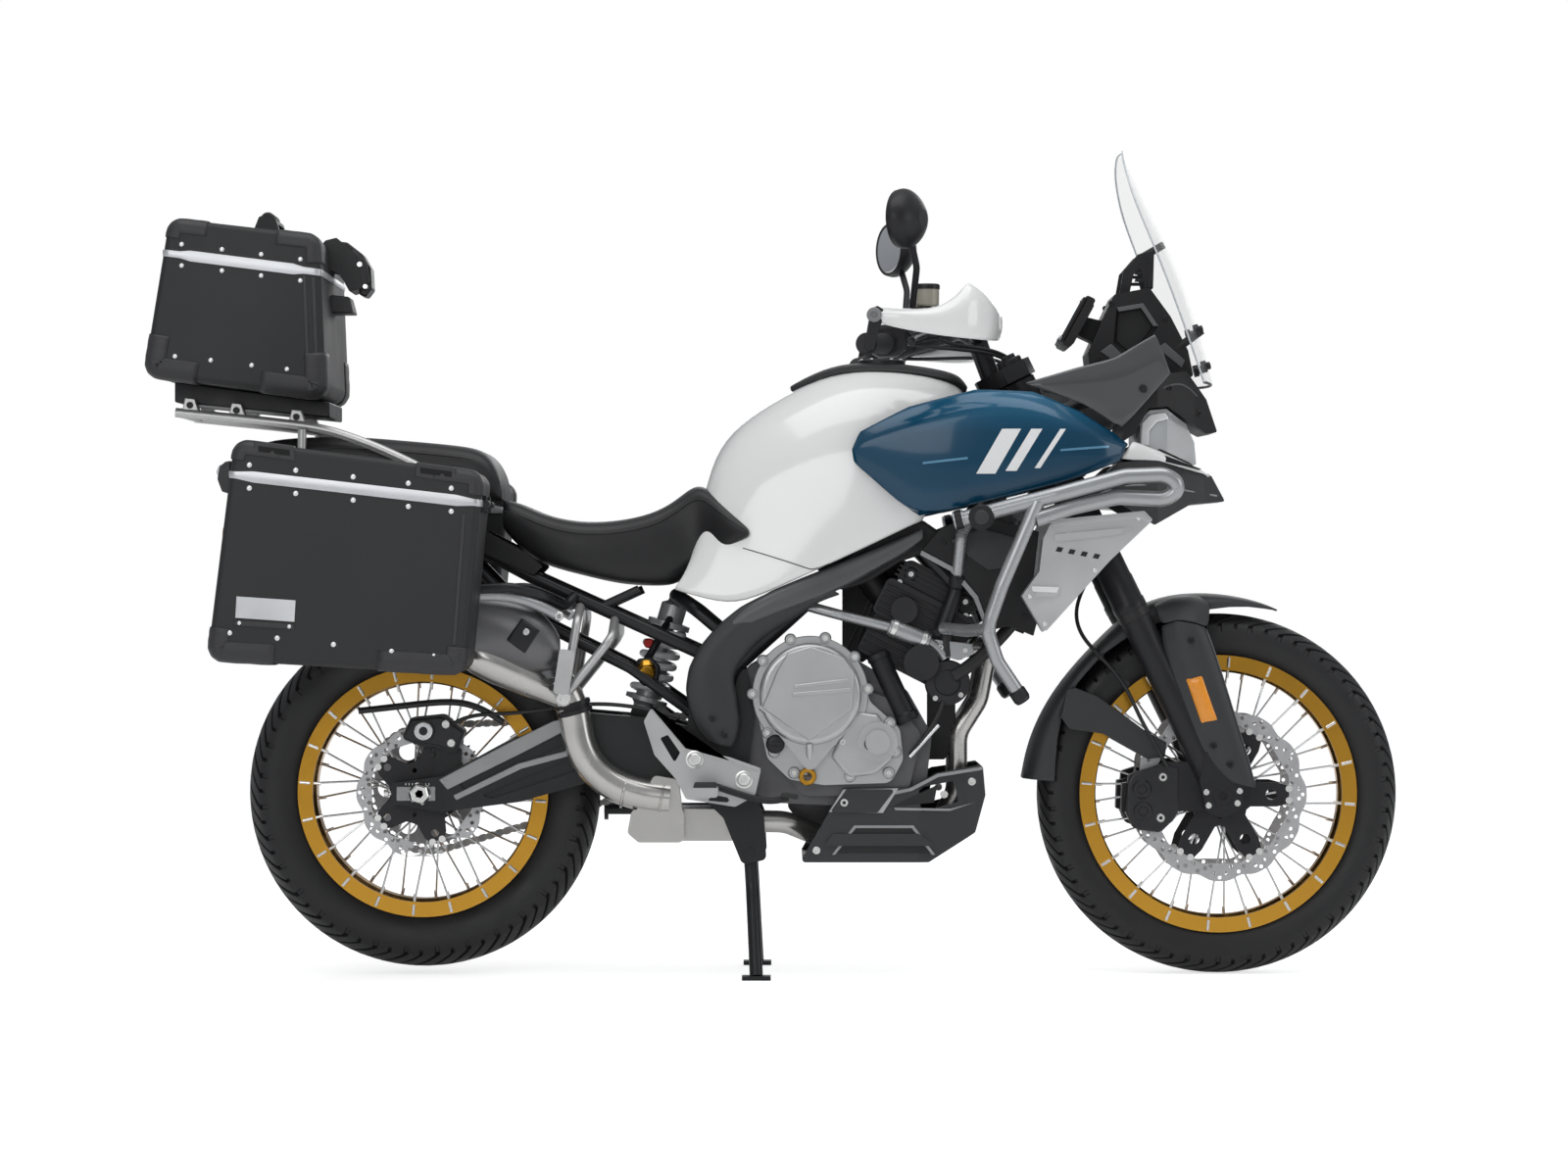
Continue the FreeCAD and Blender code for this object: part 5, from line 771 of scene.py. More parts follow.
def bolts(name, places, way, radius, height, surface, body, sides=14, dome=False):
    """Cap screws with a bevelled rim and a socket, or plain domed rivets."""
    profile = ((1.0, 0.0), (1.0, 0.8), (0.86, 1.0), (0.5, 1.0), (0.46, 0.35))
    if dome:
        profile = ((1.0, 0.0), (0.96, 0.4), (0.78, 0.76), (0.5, 0.95), (0.16, 1.0))
    points, faces = [], []
    for index, place in enumerate(places):
        axis = Vector(way[index] if isinstance(way, list) else way).normalized()
        one = axis.orthogonal().normalized()
        other = axis.cross(one)
        base = len(points)
        for r, h in profile:
            for i in range(sides):
                a = math.tau * i / sides
                spoke = (one * math.cos(a) + other * math.sin(a)) * radius * r
                points.append(tuple(Vector(place) + spoke + axis * height * h))
        for level in range(4):
            for i in range(sides):
                j = (i + 1) % sides
                near, far = base + level * sides, base + (level + 1) * sides
                faces.append((near + i, near + j, far + j, far + i))
        faces.append(tuple(base + i for i in reversed(range(sides))))
        faces.append(tuple(base + 4 * sides + i for i in range(sides)))
    return piece(name, mesh_of(name, points, faces), surface, body)


cap_ring = [
    (836 + 36 * math.cos(math.tau * i / 6), 36 * math.sin(math.tau * i / 6), 1121) for i in range(6)
]


def upright(profile, centre, segments=48):
    """Points and faces of (r, height) pairs turned about an upright axis."""
    points, faces = [], []
    count = len(profile)
    for i in range(segments):
        a = math.tau * i / segments
        points += [
            (centre[0] + r * math.cos(a), centre[1] + r * math.sin(a), centre[2] + h) for r, h in profile
        ]
    for i in range(segments):
        near, far = i * count, ((i + 1) % segments) * count
        for j in range(count):
            k = (j + 1) % count
            faces.append((near + j, near + k, far + k, far + j))
    return points, faces


piece("filler_ring", mesh_of("filler_ring", *upright(
    [(44, -14), (44, 2), (41, 4), (32, 4), (31, 1), (27, 1), (26, 5), (24, 6.5), (0.5, 6.5), (0.5, -14)],
    (836, 0, 1118))),
    satin_black, "chassis", hides=("tank_top_trim",))
bolts("filler_screws", cap_ring, (0, 0, 1), 3.6, 2.8, nipple_steel, "chassis")

# Side panels: petrol blue mouldings on both flanks of the tank, folded along a crease. Towards the top
# the blue is painted paler, partly a lighter paint and partly a painted sky reflection. Three plain
# slanted white bars and two thin lines are printed on each.
blue_rows = (
    (
        (779, 198, 953), (793, 201, 984), (880, 204, 1029), (1000, 206, 1060), (1104, 204, 1056),
        (1186, 196, 1022), (1250, 184, 982), (1275, 178, 963),
    ),
    (
        (779, 202, 952), (796, 210, 976), (888, 222, 1017), (1002, 226, 1046), (1104, 226, 1042),
        (1184, 220, 1006), (1248, 202, 973), (1274, 188, 960),
    ),
    (
        (779, 203, 950), (800, 214, 964), (898, 232, 998), (1006, 238, 1030), (1106, 238, 1024),
        (1184, 232, 992), (1246, 212, 964), (1270, 194, 956),
    ),
    (
        (780, 203, 944), (812, 217, 928), (904, 236, 930), (1016, 242, 962), (1112, 242, 962),
        (1190, 235, 954), (1240, 218, 945), (1266, 198, 946),
    ),
    (
        (782, 202, 932), (838, 214, 884), (900, 232, 860), (1016, 240, 884), (1112, 240, 902),
        (1190, 232, 918), (1236, 218, 929), (1262, 198, 936),
    ),
    (
        (784, 200, 928), (850, 208, 869), (896, 224, 829), (1020, 232, 859), (1116, 232, 882),
        (1190, 226, 903), (1234, 214, 921), (1260, 196, 932),
    ),
    (
        (786, 190, 929), (854, 190, 871), (898, 192, 832), (1020, 200, 861), (1116, 202, 884),
        (1188, 198, 905), (1232, 192, 923), (1258, 184, 934),
    ),
)
blue_panels = skin(
    "tank_side_mouldings", blue_rows, petrol_blue, "chassis", hides=("tank_side_panels",), both=True,
    thick=3, creases=(("row", 2, 0.85), ("row", 0, 0.9), ("row", 5, 0.9)), rim_crease=0.6,
)
# The blue is mixed towards a paler blue with height, from 0.98 to 1.06 m: partly lighter paint, partly a
# painted sky reflection on the upper facet.
tree = petrol_blue.node_tree
place, split = tree.nodes.new("ShaderNodeTexCoord"), tree.nodes.new("ShaderNodeSeparateXYZ")
height, paler_top_sheen_mix = tree.nodes.new("ShaderNodeMapRange"), tree.nodes.new("ShaderNodeMix")
paler_top_sheen_mix.data_type = "RGBA"
height.inputs["From Min"].default_value, height.inputs["From Max"].default_value = 0.98, 1.06
tree.links.new(place.outputs["Object"], split.inputs[0])
tree.links.new(split.outputs["Z"], height.inputs["Value"])
tree.links.new(height.outputs["Result"], paler_top_sheen_mix.inputs["Factor"])
base = tree.nodes["Principled BSDF"].inputs["Base Color"]
tree.links.new(base.links[0].from_socket, paler_top_sheen_mix.inputs[6])
paler_top_sheen_mix.inputs[7].default_value = (0.012, 0.13, 0.25, 1)
tree.links.new(paler_top_sheen_mix.outputs[2], base)
blue_skin = surface_of(blue_panels)
edge_blue = finish("edge_blue", (0.11, 0.3, 0.47), 0.22, metal=0.2, grain=0.02, mottle=0.08, coat=1.0)
stripe_white = finish("stripe_white", (0.86, 0.87, 0.88), 0.25, grain=0.0, mottle=0.02, coat=0.6)


def print_on(name, tree, outlines, surface, body):
    """Thin printed bars on a surface, each a four-cornered patch given by its (x, z) corners."""
    points, faces = [], []
    steps, lift = 16, 1.0
    for s in (-1, 1):
        for corners in outlines:
            base = len(points)
            a, b, c, d = corners
            for i in range(steps + 1):
                for j in range(3):
                    u, v = i / steps, j / 2
                    x = (a[0] * (1 - u) + b[0] * u) * (1 - v) + (d[0] * (1 - u) + c[0] * u) * v
                    z = (a[1] * (1 - u) + b[1] * u) * (1 - v) + (d[1] * (1 - u) + c[1] * u) * v
                    points.append((x, s * 300, z))
            for i in range(steps):
                for j in range(2):
                    k = base + i * 3 + j
                    faces.append((k, k + 3, k + 4, k + 1) if s < 0 else (k, k + 1, k + 4, k + 3))
    mesh = mesh_of(name, laid(tree, points, lift), faces, outward=False)
    return piece(name, mesh, surface, body, sharp=0)


bars = []
for i, width in enumerate((34, 20, 10)):
    x = 1000 + i * 52
    bars.append(((x, 908 + i * 5), (x + width, 908 + i * 5), (x + width + 46, 988), (x + 46, 988)))
print_on("side_stripes", blue_skin, bars, stripe_white, "chassis")
print_on(
    "side_pinstripe", blue_skin,
    [
        ((905, 925), (985, 934), (985, 938), (905, 929)),
        ((1150, 948), (1238, 955), (1238, 959), (1150, 952)),
    ],
    edge_blue, "chassis",
)

# Saddle and pillion pad: moulded foam under black vinyl, one cover each, with a welted seam along
# the shoulders. The saddle's front flanks wrap the tank.
def pad(name, stations, surface, body, hides=()):
    """A closed pad from (x, low, top, half width, dip) stations, flat below and crowned above."""
    rows = []
    for x, low, top, half, dip in stations:
        tall = top - low
        shoulder = min(24, tall * 0.4)
        halves = [
            (x, 0, low), (x, half * 0.55, low), (x, half * 0.86, low + 1),
            (x, half * 0.97, low + tall * 0.12), (x, half, low + tall * 0.42),
            (x, half * 0.98, top - shoulder), (x, half * 0.88, top - shoulder * 0.22),
            (x, half * 0.6, top - dip * 0.2), (x, 0, top - dip),
        ]
        ring = halves + [(px, -py, pz) for px, py, pz in reversed(halves[1:-1])]
        rows.append(ring)
    return skin(name, rows, surface, body, hides, ring=True)


saddle_stations = (
    (146, 816, 858, 112, 4), (152, 806, 868, 122, 6), (178, 778, 862, 134, 8), (207, 753, 848, 142, 8),
    (250, 738, 833, 149, 8), (303, 725, 826, 151, 8), (361, 711, 829, 147, 7), (417, 708, 841, 139, 5),
    (456, 709, 861, 133, 3), (484, 728, 884, 130, 0), (504, 740, 893, 134, 0), (526, 753, 882, 148, 0),
    (560, 774, 850, 178, 0), (588, 791, 822, 190, 0), (600, 799, 808, 193, 0),
)
pillion_stations = (
    (-318, 914, 938, 92, 0), (-308, 908, 956, 108, 2), (-286, 905, 974, 122, 3), (-220, 901, 980, 132, 4),
    (-138, 897, 983, 137, 5), (-40, 891, 975, 141, 5), (60, 884, 966, 143, 4), (104, 872, 959, 144, 3),
    (128, 862, 944, 143, 2), (144, 858, 918, 140, 0), (152, 860, 884, 134, 0),
)
saddle = pad("saddle", saddle_stations, seat_vinyl, "chassis", hides=("seat",))
pillion = pad("pillion_pad", pillion_stations, seat_vinyl, "chassis", hides=("seat",))
welt_black = finish("welt_black", (0.012, 0.012, 0.013), 0.5, grain=0.3)
saddle_skin, pillion_skin = surface_of(saddle), surface_of(pillion)
pipe("saddle_welts", [
    laid(
        saddle_skin,
        [
            (x, s * half, top - min(24, (top - low) * 0.4) * 1.05)
            for x, low, top, half, _ in saddle_stations[1:-1]
        ],
        0.2
    )
    for s in (-1, 1)
], 1.7, welt_black, "chassis")
pipe("pillion_welts", [
    laid(pillion_skin, [(x, s * half, top - 24) for x, low, top, half, _ in pillion_stations[2:-1]], 0.2)
    for s in (-1, 1)
], 1.7, welt_black, "chassis")


# Front fender: a charcoal moulding that starts as a beak over the tyre, widens behind the fork and
# runs down to a spray skirt.
fender_rows = []
for degrees, crown, skirt, half in (
    (71.5, 354, 352, 7), (75, 357, 349, 26), (80, 360, 346, 46), (87, 364, 341, 62), (95, 369, 336, 72),
    (104, 374, 333, 79), (112, 373, 332, 82), (120, 364, 332, 81), (130, 353, 332, 78),
    (142, 351, 329, 75), (152, 353, 322, 73), (161, 356, 312, 72), (169, 358, 304, 70),
    (175.5, 359, 301, 68),
):
    a = math.radians(degrees)
    row = []
    for out, share in ((0.0, 1.0), (0.55, 0.99), (0.93, 0.72), (1.02, 0.38), (1.0, 0.0)):
        r = skirt + (crown - skirt) * share
        row.append((1450 + r * math.cos(a), half * out, 329 + r * math.sin(a)))
    fender_rows.append(across(row))
fender = skin("front_fender_shell", fender_rows, charcoal, "steering", hides=("front_fender",), thick=3.5,
              rim_crease=0.5, creases=(("col", 1, 0.35), ("col", 7, 0.35)))

# Fork guards: charcoal shields ahead of the legs, with a paler front edge, an amber side reflector
# and an arm back to the spray skirt. Each is held by three screws.
guard_rows = (
    ((1340, 118, 636), (1366, 137, 645), (1398, 140, 640), (1418, 128, 634), (1416, 104, 632)),
    ((1342, 120, 606), (1372, 139, 606), (1408, 142, 604), (1430, 130, 602), (1428, 106, 600)),
    ((1352, 122, 560), (1388, 140, 556), (1426, 143, 553), (1448, 131, 550), (1444, 108, 548)),
    ((1366, 122, 500), (1408, 140, 494), (1446, 143, 490), (1468, 131, 486), (1462, 108, 484)),
    ((1380, 122, 440), (1428, 139, 432), (1466, 142, 428), (1487, 131, 424), (1480, 108, 422)),
    ((1400, 120, 392), (1446, 137, 380), (1482, 140, 376), (1503, 130, 372), (1496, 108, 370)),
    ((1440, 118, 362), (1470, 134, 352), (1492, 136, 347), (1509, 128, 344), (1502, 108, 344)),
)
guards = skin("fork_guards", guard_rows, charcoal, "steering", hides=("front_fender",), both=True, thick=3,
              creases=(("col", 3, 0.8), ("col", 1, 0.4)), rim_crease=0.6)
bridge_rows = (
    ((1330, 60, 676), (1330, 100, 668), (1338, 124, 640)),
    ((1364, 62, 690), (1366, 104, 680), (1368, 132, 648)),
    ((1400, 60, 692), (1402, 100, 680), (1404, 134, 642)),
    ((1430, 48, 688), (1432, 84, 674), (1426, 120, 634)),
)
skin("fender_shoulders", bridge_rows, charcoal, "steering", both=True, thick=4, rim_crease=0.3)
guard_edge = finish("guard_edge_grey", (0.2, 0.205, 0.21), 0.42, grain=0.4, grain_mm=0.9)
edge_rows = [
    (row[3], tuple((a + b) / 2 + d for a, b, d in zip(row[3], row[4], (3.5, 2, 0))), row[4])
    for row in guard_rows
]
edge_rows = [tuple((x + 1.5, y, z) for x, y, z in row) for row in edge_rows]
skin("guard_edges", edge_rows, guard_edge, "steering", both=True, thick=2)
arm = [
    (1160, 470), (1172, 520), (1186, 524), (1228, 508), (1318, 442), (1352, 424), (1350, 398),
    (1318, 394), (1236, 440), (1176, 448),
]
for s, word in hands:
    plate("fender_arm_" + word, [arm], s * 81, 6, charcoal, "steering", bevel=2.4)
amber = finish(
    "amber_reflector", (0.85, 0.3, 0.01), 0.2, grain=0.9, grain_mm=2.4, mottle=0.12, mottle_mm=6, coat=0.6
)
guard_skin = surface_of(guards)
reflector_rows = []
for x, z in ((1384, 540), (1386, 535), (1398, 500), (1410, 466), (1412, 461)):
    ends = 0 if x in (1384, 1412) else 1
    line = laid(guard_skin, [(x + dx, 200, z + dx * 0.22) for dx in (-1, 1, 13, 25, 27)], 0.2)
    rise = [(0, 3.4, 4.0, 3.4, 0)[i] * ends for i in range(5)]
    reflector_rows.append(tuple((px, py + up, pz) for (px, py, pz), up in zip(line, rise)))
amber_lens = skin("side_reflectors", reflector_rows, amber, "steering", both=True, levels=1)
guard_bolts = laid(
    guard_skin, [(x, s * 200, z) for x, z in ((1432, 420), (1462, 386), (1392, 610)) for s in (-1, 1)], 0
)
bolts(
    "guard_screws", guard_bolts, [(0, math.copysign(1, y), 0) for _, y, _ in guard_bolts], 6.5, 4,
    satin_black, "steering"
)

# Fork: black tubes with caps on top and dust seals below, feet with pinch screws, and calipers that
# show two piston caps and two pins each. One brake hose runs up behind the right leg.
rake = math.radians(26)
fork_up = Vector((-math.sin(rake), 0, math.cos(rake)))


def up_fork(distance, y):
    """A place up the fork's legs from the front axle, and to the left."""
    return tuple(Vector((1450, y, 329)) + fork_up * distance)


def sleeve(name, start, end, profile, surface, body, segments=40):
    """A turned sleeve: (distance from start, radius) pairs along the line from start to end."""
    start, end = Vector(start), Vector(end)
    way = (end - start).normalized()
    one = way.orthogonal().normalized()
    other = way.cross(one)
    points, faces = [], []
    count = len(profile)
    for i in range(segments):
        a = math.tau * i / segments
        for d, r in profile:
            points.append(tuple(start + way * d + (one * math.cos(a) + other * math.sin(a)) * r))
    for i in range(segments):
        near, far = i * count, ((i + 1) % segments) * count
        for j in range(count - 1):
            faces.append((near + j, near + j + 1, far + j + 1, far + j))
    faces.append(tuple(i * count for i in range(segments)))
    faces.append(tuple(i * count + count - 1 for i in reversed(range(segments))))
    return piece(name, mesh_of(name, points, faces), surface, body)


for s, word in hands:
    sleeve("outer_tube_" + word, up_fork(372, s * 103), up_fork(880, s * 103),
           [
               (0, 24), (0, 30), (3, 31), (16, 31), (19, 29.5), (60, 29.5), (64, 28.5), (254, 28.5),
               (256, 26.5), (286, 26.5), (290, 28), (462, 28), (466, 24), (480, 24), (484, 22), (484, 22),
           ],
           satin_black, "steering")
    sleeve(
        "fork_cap_" + word, up_fork(872, s * 103), up_fork(890, s * 103),
        [(0, 21), (3, 21.4), (6, 20), (6, 13), (13, 13), (14, 11)], satin_black, "steering", 24,
    )
    sleeve(
        "dust_seal_" + word, up_fork(352, s * 103), up_fork(380, s * 103),
        [(0, 26), (4, 29.6), (16, 30.4), (20, 30.4), (20, 24)], rubber, "steering",
    )
foot_screws, foot_ways = [], []
for s in (-1, 1):
    for x, z in ((1420, 336), (1424, 312), (1480, 338), (1476, 316)):
        foot_screws.append((x, s * 132, z))
        foot_ways.append((0, s, 0))
bolts("foot_pinch_screws", foot_screws, foot_ways, 5.5, 4, nipple_steel, "steering")
for s, word in hands:
    sleeve("axle_end_" + word, (1450, s * 122, 329), (1450, s * 140, 329),
           [(0, 18), (9, 18), (11, 16), (11, 10), (6, 9), (6, 7.2)], satin_black, "steering")
caliper_black = finish(
    "caliper_black", (0.02, 0.02, 0.022), 0.34, metal=0.2, grain=0.4, grain_mm=1.0, mottle=0.25
)
for s, word in hands:
    body_outline = [
        (1278, 300), (1280, 350), (1290, 368), (1318, 378), (1350, 388), (1374, 378), (1372, 300),
        (1362, 282), (1336, 262), (1300, 266), (1284, 280),
    ]
    plate("caliper_face_" + word, [body_outline], s * 100, 12, caliper_black, "steering", bevel=4)
    for i, (x, z) in enumerate(((1308, 300), (1306, 340))):
        sleeve("caliper_piston_%s_%d" % (word, i), (x, s * 100, z), (x, s * 116, z),
               [(0, 18), (6, 18), (9, 15), (9, 9), (7, 8)], caliper_black, "steering", 28)
    for i, (x, z) in enumerate(((1340, 288), (1344, 362))):
        sleeve(
            "caliper_pin_%s_%d" % (word, i), (x, s * 98, z), (x, s * 114, z),
            [(0, 8), (8, 8), (10, 6.5), (10, 3.5), (7, 3.5)], nipple_steel, "steering", 20,
        )
hose_black = finish("hose_rubber", (0.014, 0.014, 0.015), 0.5, grain=0.4, grain_mm=0.7, mottle=0.2)
pipe(
    "front_brake_hose",
    [
        [
            (1352, -108, 380), (1330, -112, 420), (1300, -108, 470), (1278, -98, 530), (1232, -84, 580),
            (1196, -66, 618), (1186, -56, 662), (1204, -44, 708), (1236, -30, 760), (1228, -20, 830),
            (1206, -16, 900), (1186, -14, 948),
        ]
    ],
    3.6, hose_black, "steering",
)
clip_places = [(1278, -98, 530), (1232, -84, 580)]
bolts("hose_clips", clip_places, (0, 1, 0), 6.5, 6, satin_black, "steering")

# Handguards: white moulded shells that sweep forward from the bar ends, over a black backbone
# bolted at each bar end.
guard_path = (
    ((812, 446), 1168, 1190, 0), ((826, 454), 1162, 1192, 1), ((868, 458), 1152, 1190, 1),
    ((922, 455), 1143, 1190, 1), ((962, 445), 1139, 1212, 1), ((990, 432), 1137, 1239, 1),
    ((1018, 400), 1136, 1222, 1), ((1036, 348), 1138, 1210, 1), ((1042, 300), 1142, 1200, 1),
    ((1042, 270), 1146, 1194, 0),
)
shell_rows = []
for i, ((x, y), low, high, full) in enumerate(guard_path):
    before, after = guard_path[max(0, i - 1)][0], guard_path[min(len(guard_path) - 1, i + 1)][0]
    way = Vector((after[0] - before[0], after[1] - before[1], 0)).normalized()
    outward = Vector((-way.y, way.x, 0))
    outward = outward if outward.y + outward.x > 0 else -outward
    tall = high - low
    shell_rows.append([
        (x - outward.x * 16 * full, y - outward.y * 16 * full, low + 3),
        (x - outward.x * 4, y - outward.y * 4, low),
        (x + outward.x * 3, y + outward.y * 3, low + tall * 0.3),
        (x + outward.x * 2, y + outward.y * 2, low + tall * 0.72),
        (x - outward.x * 7, y - outward.y * 7, high - 2),
        (x - outward.x * 18 * full, y - outward.y * 18 * full, high),
    ])
hand_shells = skin(
    "handguard_shells", shell_rows, gloss_white, "steering", hides=("handguards",), both=True, thick=3,
    creases=(("col", 3, 0.5), ("col", 1, 0.6)), rim_crease=0.4,
)
spine_rows = []
for (x, y), low, high, full in guard_path:
    z = (low + high) / 2 - 4
    spine_rows.append(
        [(x - 10, y - 6, z - 8), (x - 5, y - 3, z - 8), (x - 5, y - 3, z + 8), (x - 10, y - 6, z + 8)]
    )
skin(
    "handguard_backbones", spine_rows, satin_black, "steering", hides=("handguards",), both=True, thick=4,
    rim_crease=0.8,
)
for s, word in hands:
    sleeve(
        "bar_end_" + word, (814, s * 452, 1178), (814, s * 466, 1178),
        [(0, 13), (7, 13), (9.5, 11), (9.5, 6), (7, 5.5)], guard_edge, "steering", 32,
    )
    plate(
        "bar_end_arm_" + word,
        [[(796, 1122), (800, 1116), (814, 1118), (828, 1168),
          (830, 1188), (820, 1194), (810, 1190), (804, 1166)]],
        s * 451, 5, satin_black, "steering", bevel=1.6,
    )
    pipe(
        "guard_stay_" + word,
        [
            [
                (1034, s * 282, 1162), (1016, s * 262, 1160), (990, s * 248, 1160), (950, s * 236, 1160),
                (905, s * 232, 1158),
            ]
        ],
        6, satin_black, "steering",
    )

# Grips, levers and switches: ribbed rubber grips, forged levers with ball ends, switch pods and
# fluid cups on stalks. The control cables are led forward and down beside the steering head.
grip_rubber = finish("grip_rubber", (0.02, 0.02, 0.021), 0.62, grain=0.8, grain_mm=1.6, mottle=0.2)
for s, word in hands:
    ribs = [(0, 16.5)]
    for i in range(17):
        d = 6 + i * 7.2
        ribs += [(d, 16.8), (d + 0.6, 18.2), (d + 4.6, 18.2), (d + 5.2, 16.8)]
    ribs += [(132, 19.5), (136, 19.5)]
    sleeve("grip_" + word, (836, s * 300, 1137), (801, s * 432, 1129), ribs, grip_rubber, "steering", 36)
    lever_route = [
        (898, s * 240, 1157), (910, s * 262, 1156), (902, s * 296, 1150), (888, s * 340, 1144),
        (882, s * 380, 1139), (880, s * 414, 1134),
    ]
    pipe("lever_" + word, [lever_route], 6.2, satin_black, "steering")
    sleeve(
        "lever_ball_" + word, (880, s * 412, 1134), (880, s * 424, 1133),
        [(0, 6), (2, 8.4), (6, 9), (10, 7.4), (12, 4)], satin_black, "steering", 20,
    )
    pod = [
        (x, z)
        for x, z in (
            (812, 1120), (812, 1158), (826, 1170), (866, 1172), (878, 1160), (874, 1126), (858, 1114),
            (826, 1112),
        )
    ]
    plate("switch_pod_" + word, [pod], s * 282, 34, satin_black, "steering", bevel=7)
    cup_clear = finish("fluid_cup_" + word, (0.36, 0.34, 0.28), 0.25, grain=0.1, mottle=0.1)
    cup = upright([(19, 0), (21, 3), (21.5, 30), (20, 32), (0.5, 32), (0.5, 0)], (914, s * 206, 1208), 36)
    sleeve(
        "fluid_cup_stalk_" + word, (893, s * 206, 1160), (912, s * 206, 1210),
        [(0, 9), (40, 8), (52, 12), (54, 12)], satin_black, "steering", 24,
    )
    piece("fluid_cup_" + word, mesh_of("fluid_cup_" + word, *cup), cup_clear, "steering")
    lid = upright([(22.5, 0), (22.5, 7), (20.5, 9), (0.5, 9), (0.5, 0)], (914, s * 206, 1239), 36)
    piece("fluid_cup_lid_" + word, mesh_of("fluid_cup_lid_" + word, *lid), satin_black, "steering")
pipe("control_cables", [
    [
        (866, -262, 1140), (900, -240, 1135), (960, -170, 1134), (1020, -96, 1132), (1066, -52, 1124),
        (1094, -38, 1092), (1104, -30, 1052),
    ],
    [
        (866, 262, 1140), (900, 240, 1135), (960, 170, 1134), (1020, 96, 1132), (1066, 52, 1124),
        (1094, 38, 1092), (1104, 30, 1052),
    ],
    [
        (894, -206, 1170), (930, -180, 1146), (1000, -110, 1140), (1062, -60, 1134), (1098, -26, 1100),
        (1110, -20, 1056),
    ],
], 3.4, hose_black, "steering")

# Mirrors: flat silvered glass in a bevelled black rim, turned to the rider. The oval heads and
# their stalks are the solids, and both pieces are set into the heads' rear faces.
mirror_glass = finish("mirror_glass", (0.85, 0.87, 0.9), 0.03, metal=1.0, grain=0.0, mottle=0.02, vary=0.01)
mirror_turn = Matrix.Rotation(math.radians(22), 3, "Z")


def on_mirror(s, x, side_way, up_way):
    """A place on a mirror head that is turned about its own upright middle line."""
    spot = Vector((874, 368, 1352)) + mirror_turn @ Vector((x - 874, side_way, up_way))
    return spot.x, s * spot.y, spot.z


for s, word in hands:
    rings = []
    for x, half_y, half_z in ((857.2, 57, 45), (856.2, 50, 39), (856.2, 1, 1)):
        rings.append(
            [on_mirror(s, x, half_y * math.cos(math.tau * i / 32), half_z * math.sin(math.tau * i / 32))
            for i in range(32)]
        )
    skin("mirror_glass_" + word, rings, mirror_glass, "steering", levels=0, ring=True, sharp=30)
    bezel = []
    for x, half_y, half_z in (
        (862, 63.4, 51.4), (857, 63.2, 51.2), (855, 60, 48.5), (856.4, 57, 45), (859, 57, 45)
    ):
        bezel.append(
            [on_mirror(s, x, half_y * math.cos(math.tau * i / 40), half_z * math.sin(math.tau * i / 40))
            for i in range(40)]
        )
    skin("mirror_bezel_" + word, bezel, satin_black, "steering", levels=1, ring=True)


# Cases: matt black folded shells. A satin silver strip hides each seam, wider along the faces than
# round the corners, with a row of pale rivets above and below it. Ribbed black guards wrap the
# corners.
def prisms(name, shapes, surface, body, bevel=0.8, hides=(), sharp=40.0):
    """Blocks with eased edges: each a flat outline of places and the way that it is thickened."""
    points, faces = [], []
    for outline, way in shapes:
        base, count = len(points), len(outline)
        points += [tuple(p) for p in outline] + [tuple(a + b for a, b in zip(p, way)) for p in outline]
        faces.append(tuple(base + i for i in range(count)))
        faces.append(tuple(base + count + i for i in reversed(range(count))))
        faces += [
            (base + (i + 1) % count, base + i, base + count + i, base + count + (i + 1) % count)
            for i in range(count)
        ]
    made = piece(name, mesh_of(name, points, faces), surface, body, hides, sharp)
    if bevel:
        eased = made.modifiers.new("eased", "BEVEL")
        eased.width, eased.segments, eased.limit_method, eased.angle_limit = bevel / 1000, 2, "ANGLE", 0.5
    return made


def side_block(outline, y_from, y_to):
    """A block from an (x, z) outline, between two distances to the left."""
    return [(x, y_from, z) for x, z in outline], (0, y_to - y_from, 0)


def line_z(line, x):
    """The height of a sloping line at x."""
    (x0, z0), (x1, z1) = line
    return z0 + (z1 - z0) * (x - x0) / (x1 - x0)


def case_ring(corners, seam, low_y, high_y, rise, out):
    """Places around a case at a height above its seam and a distance off its walls."""
    ends = []
    for low, high in ((corners[0], corners[3]), (corners[1], corners[2])):
        x = low[0]
        for _ in range(12):
            z = line_z(seam, x) + rise
            x = low[0] + (high[0] - low[0]) * (z - low[1]) / (high[1] - low[1])
        ends.append(x)
    rear, front = ends
    fillet = 12.0
    ring = []
    for cx, cy, start in (
        (front - fillet, high_y - fillet, 0), (rear + fillet, high_y - fillet, 90),
        (rear + fillet, low_y + fillet, 180), (front - fillet, low_y + fillet, 270),
    ):
        for i in range(6):
            a = math.radians(start + 18 * i)
            ring.append((cx + (fillet + out) * math.cos(a), cy + (fillet + out) * math.sin(a)))
    full = []
    for i, (x, y) in enumerate(ring):
        nx, ny = ring[(i + 1) % len(ring)]
        steps = 1 if i % 6 != 5 else 14
        full += [(x + (nx - x) * k / steps, y + (ny - y) * k / steps) for k in range(steps)]
    return [(x, y, line_z(seam, x) + rise) for x, y in full], rear, front


band_silver = finish(
    "band_silver", (0.62, 0.63, 0.65), 0.36, metal=0.75, grain=0.15, grain_mm=0.5, mottle=0.12,
    mottle_mm=60,
)
case_trim = finish(
    "case_trim", (0.03, 0.03, 0.032), 0.5, grain=0.5, grain_mm=0.8, mottle=0.15, mottle_mm=30
)
rivet_white = finish("rivet_white", (0.85, 0.86, 0.87), 0.25, metal=0.5, mottle=0.05)


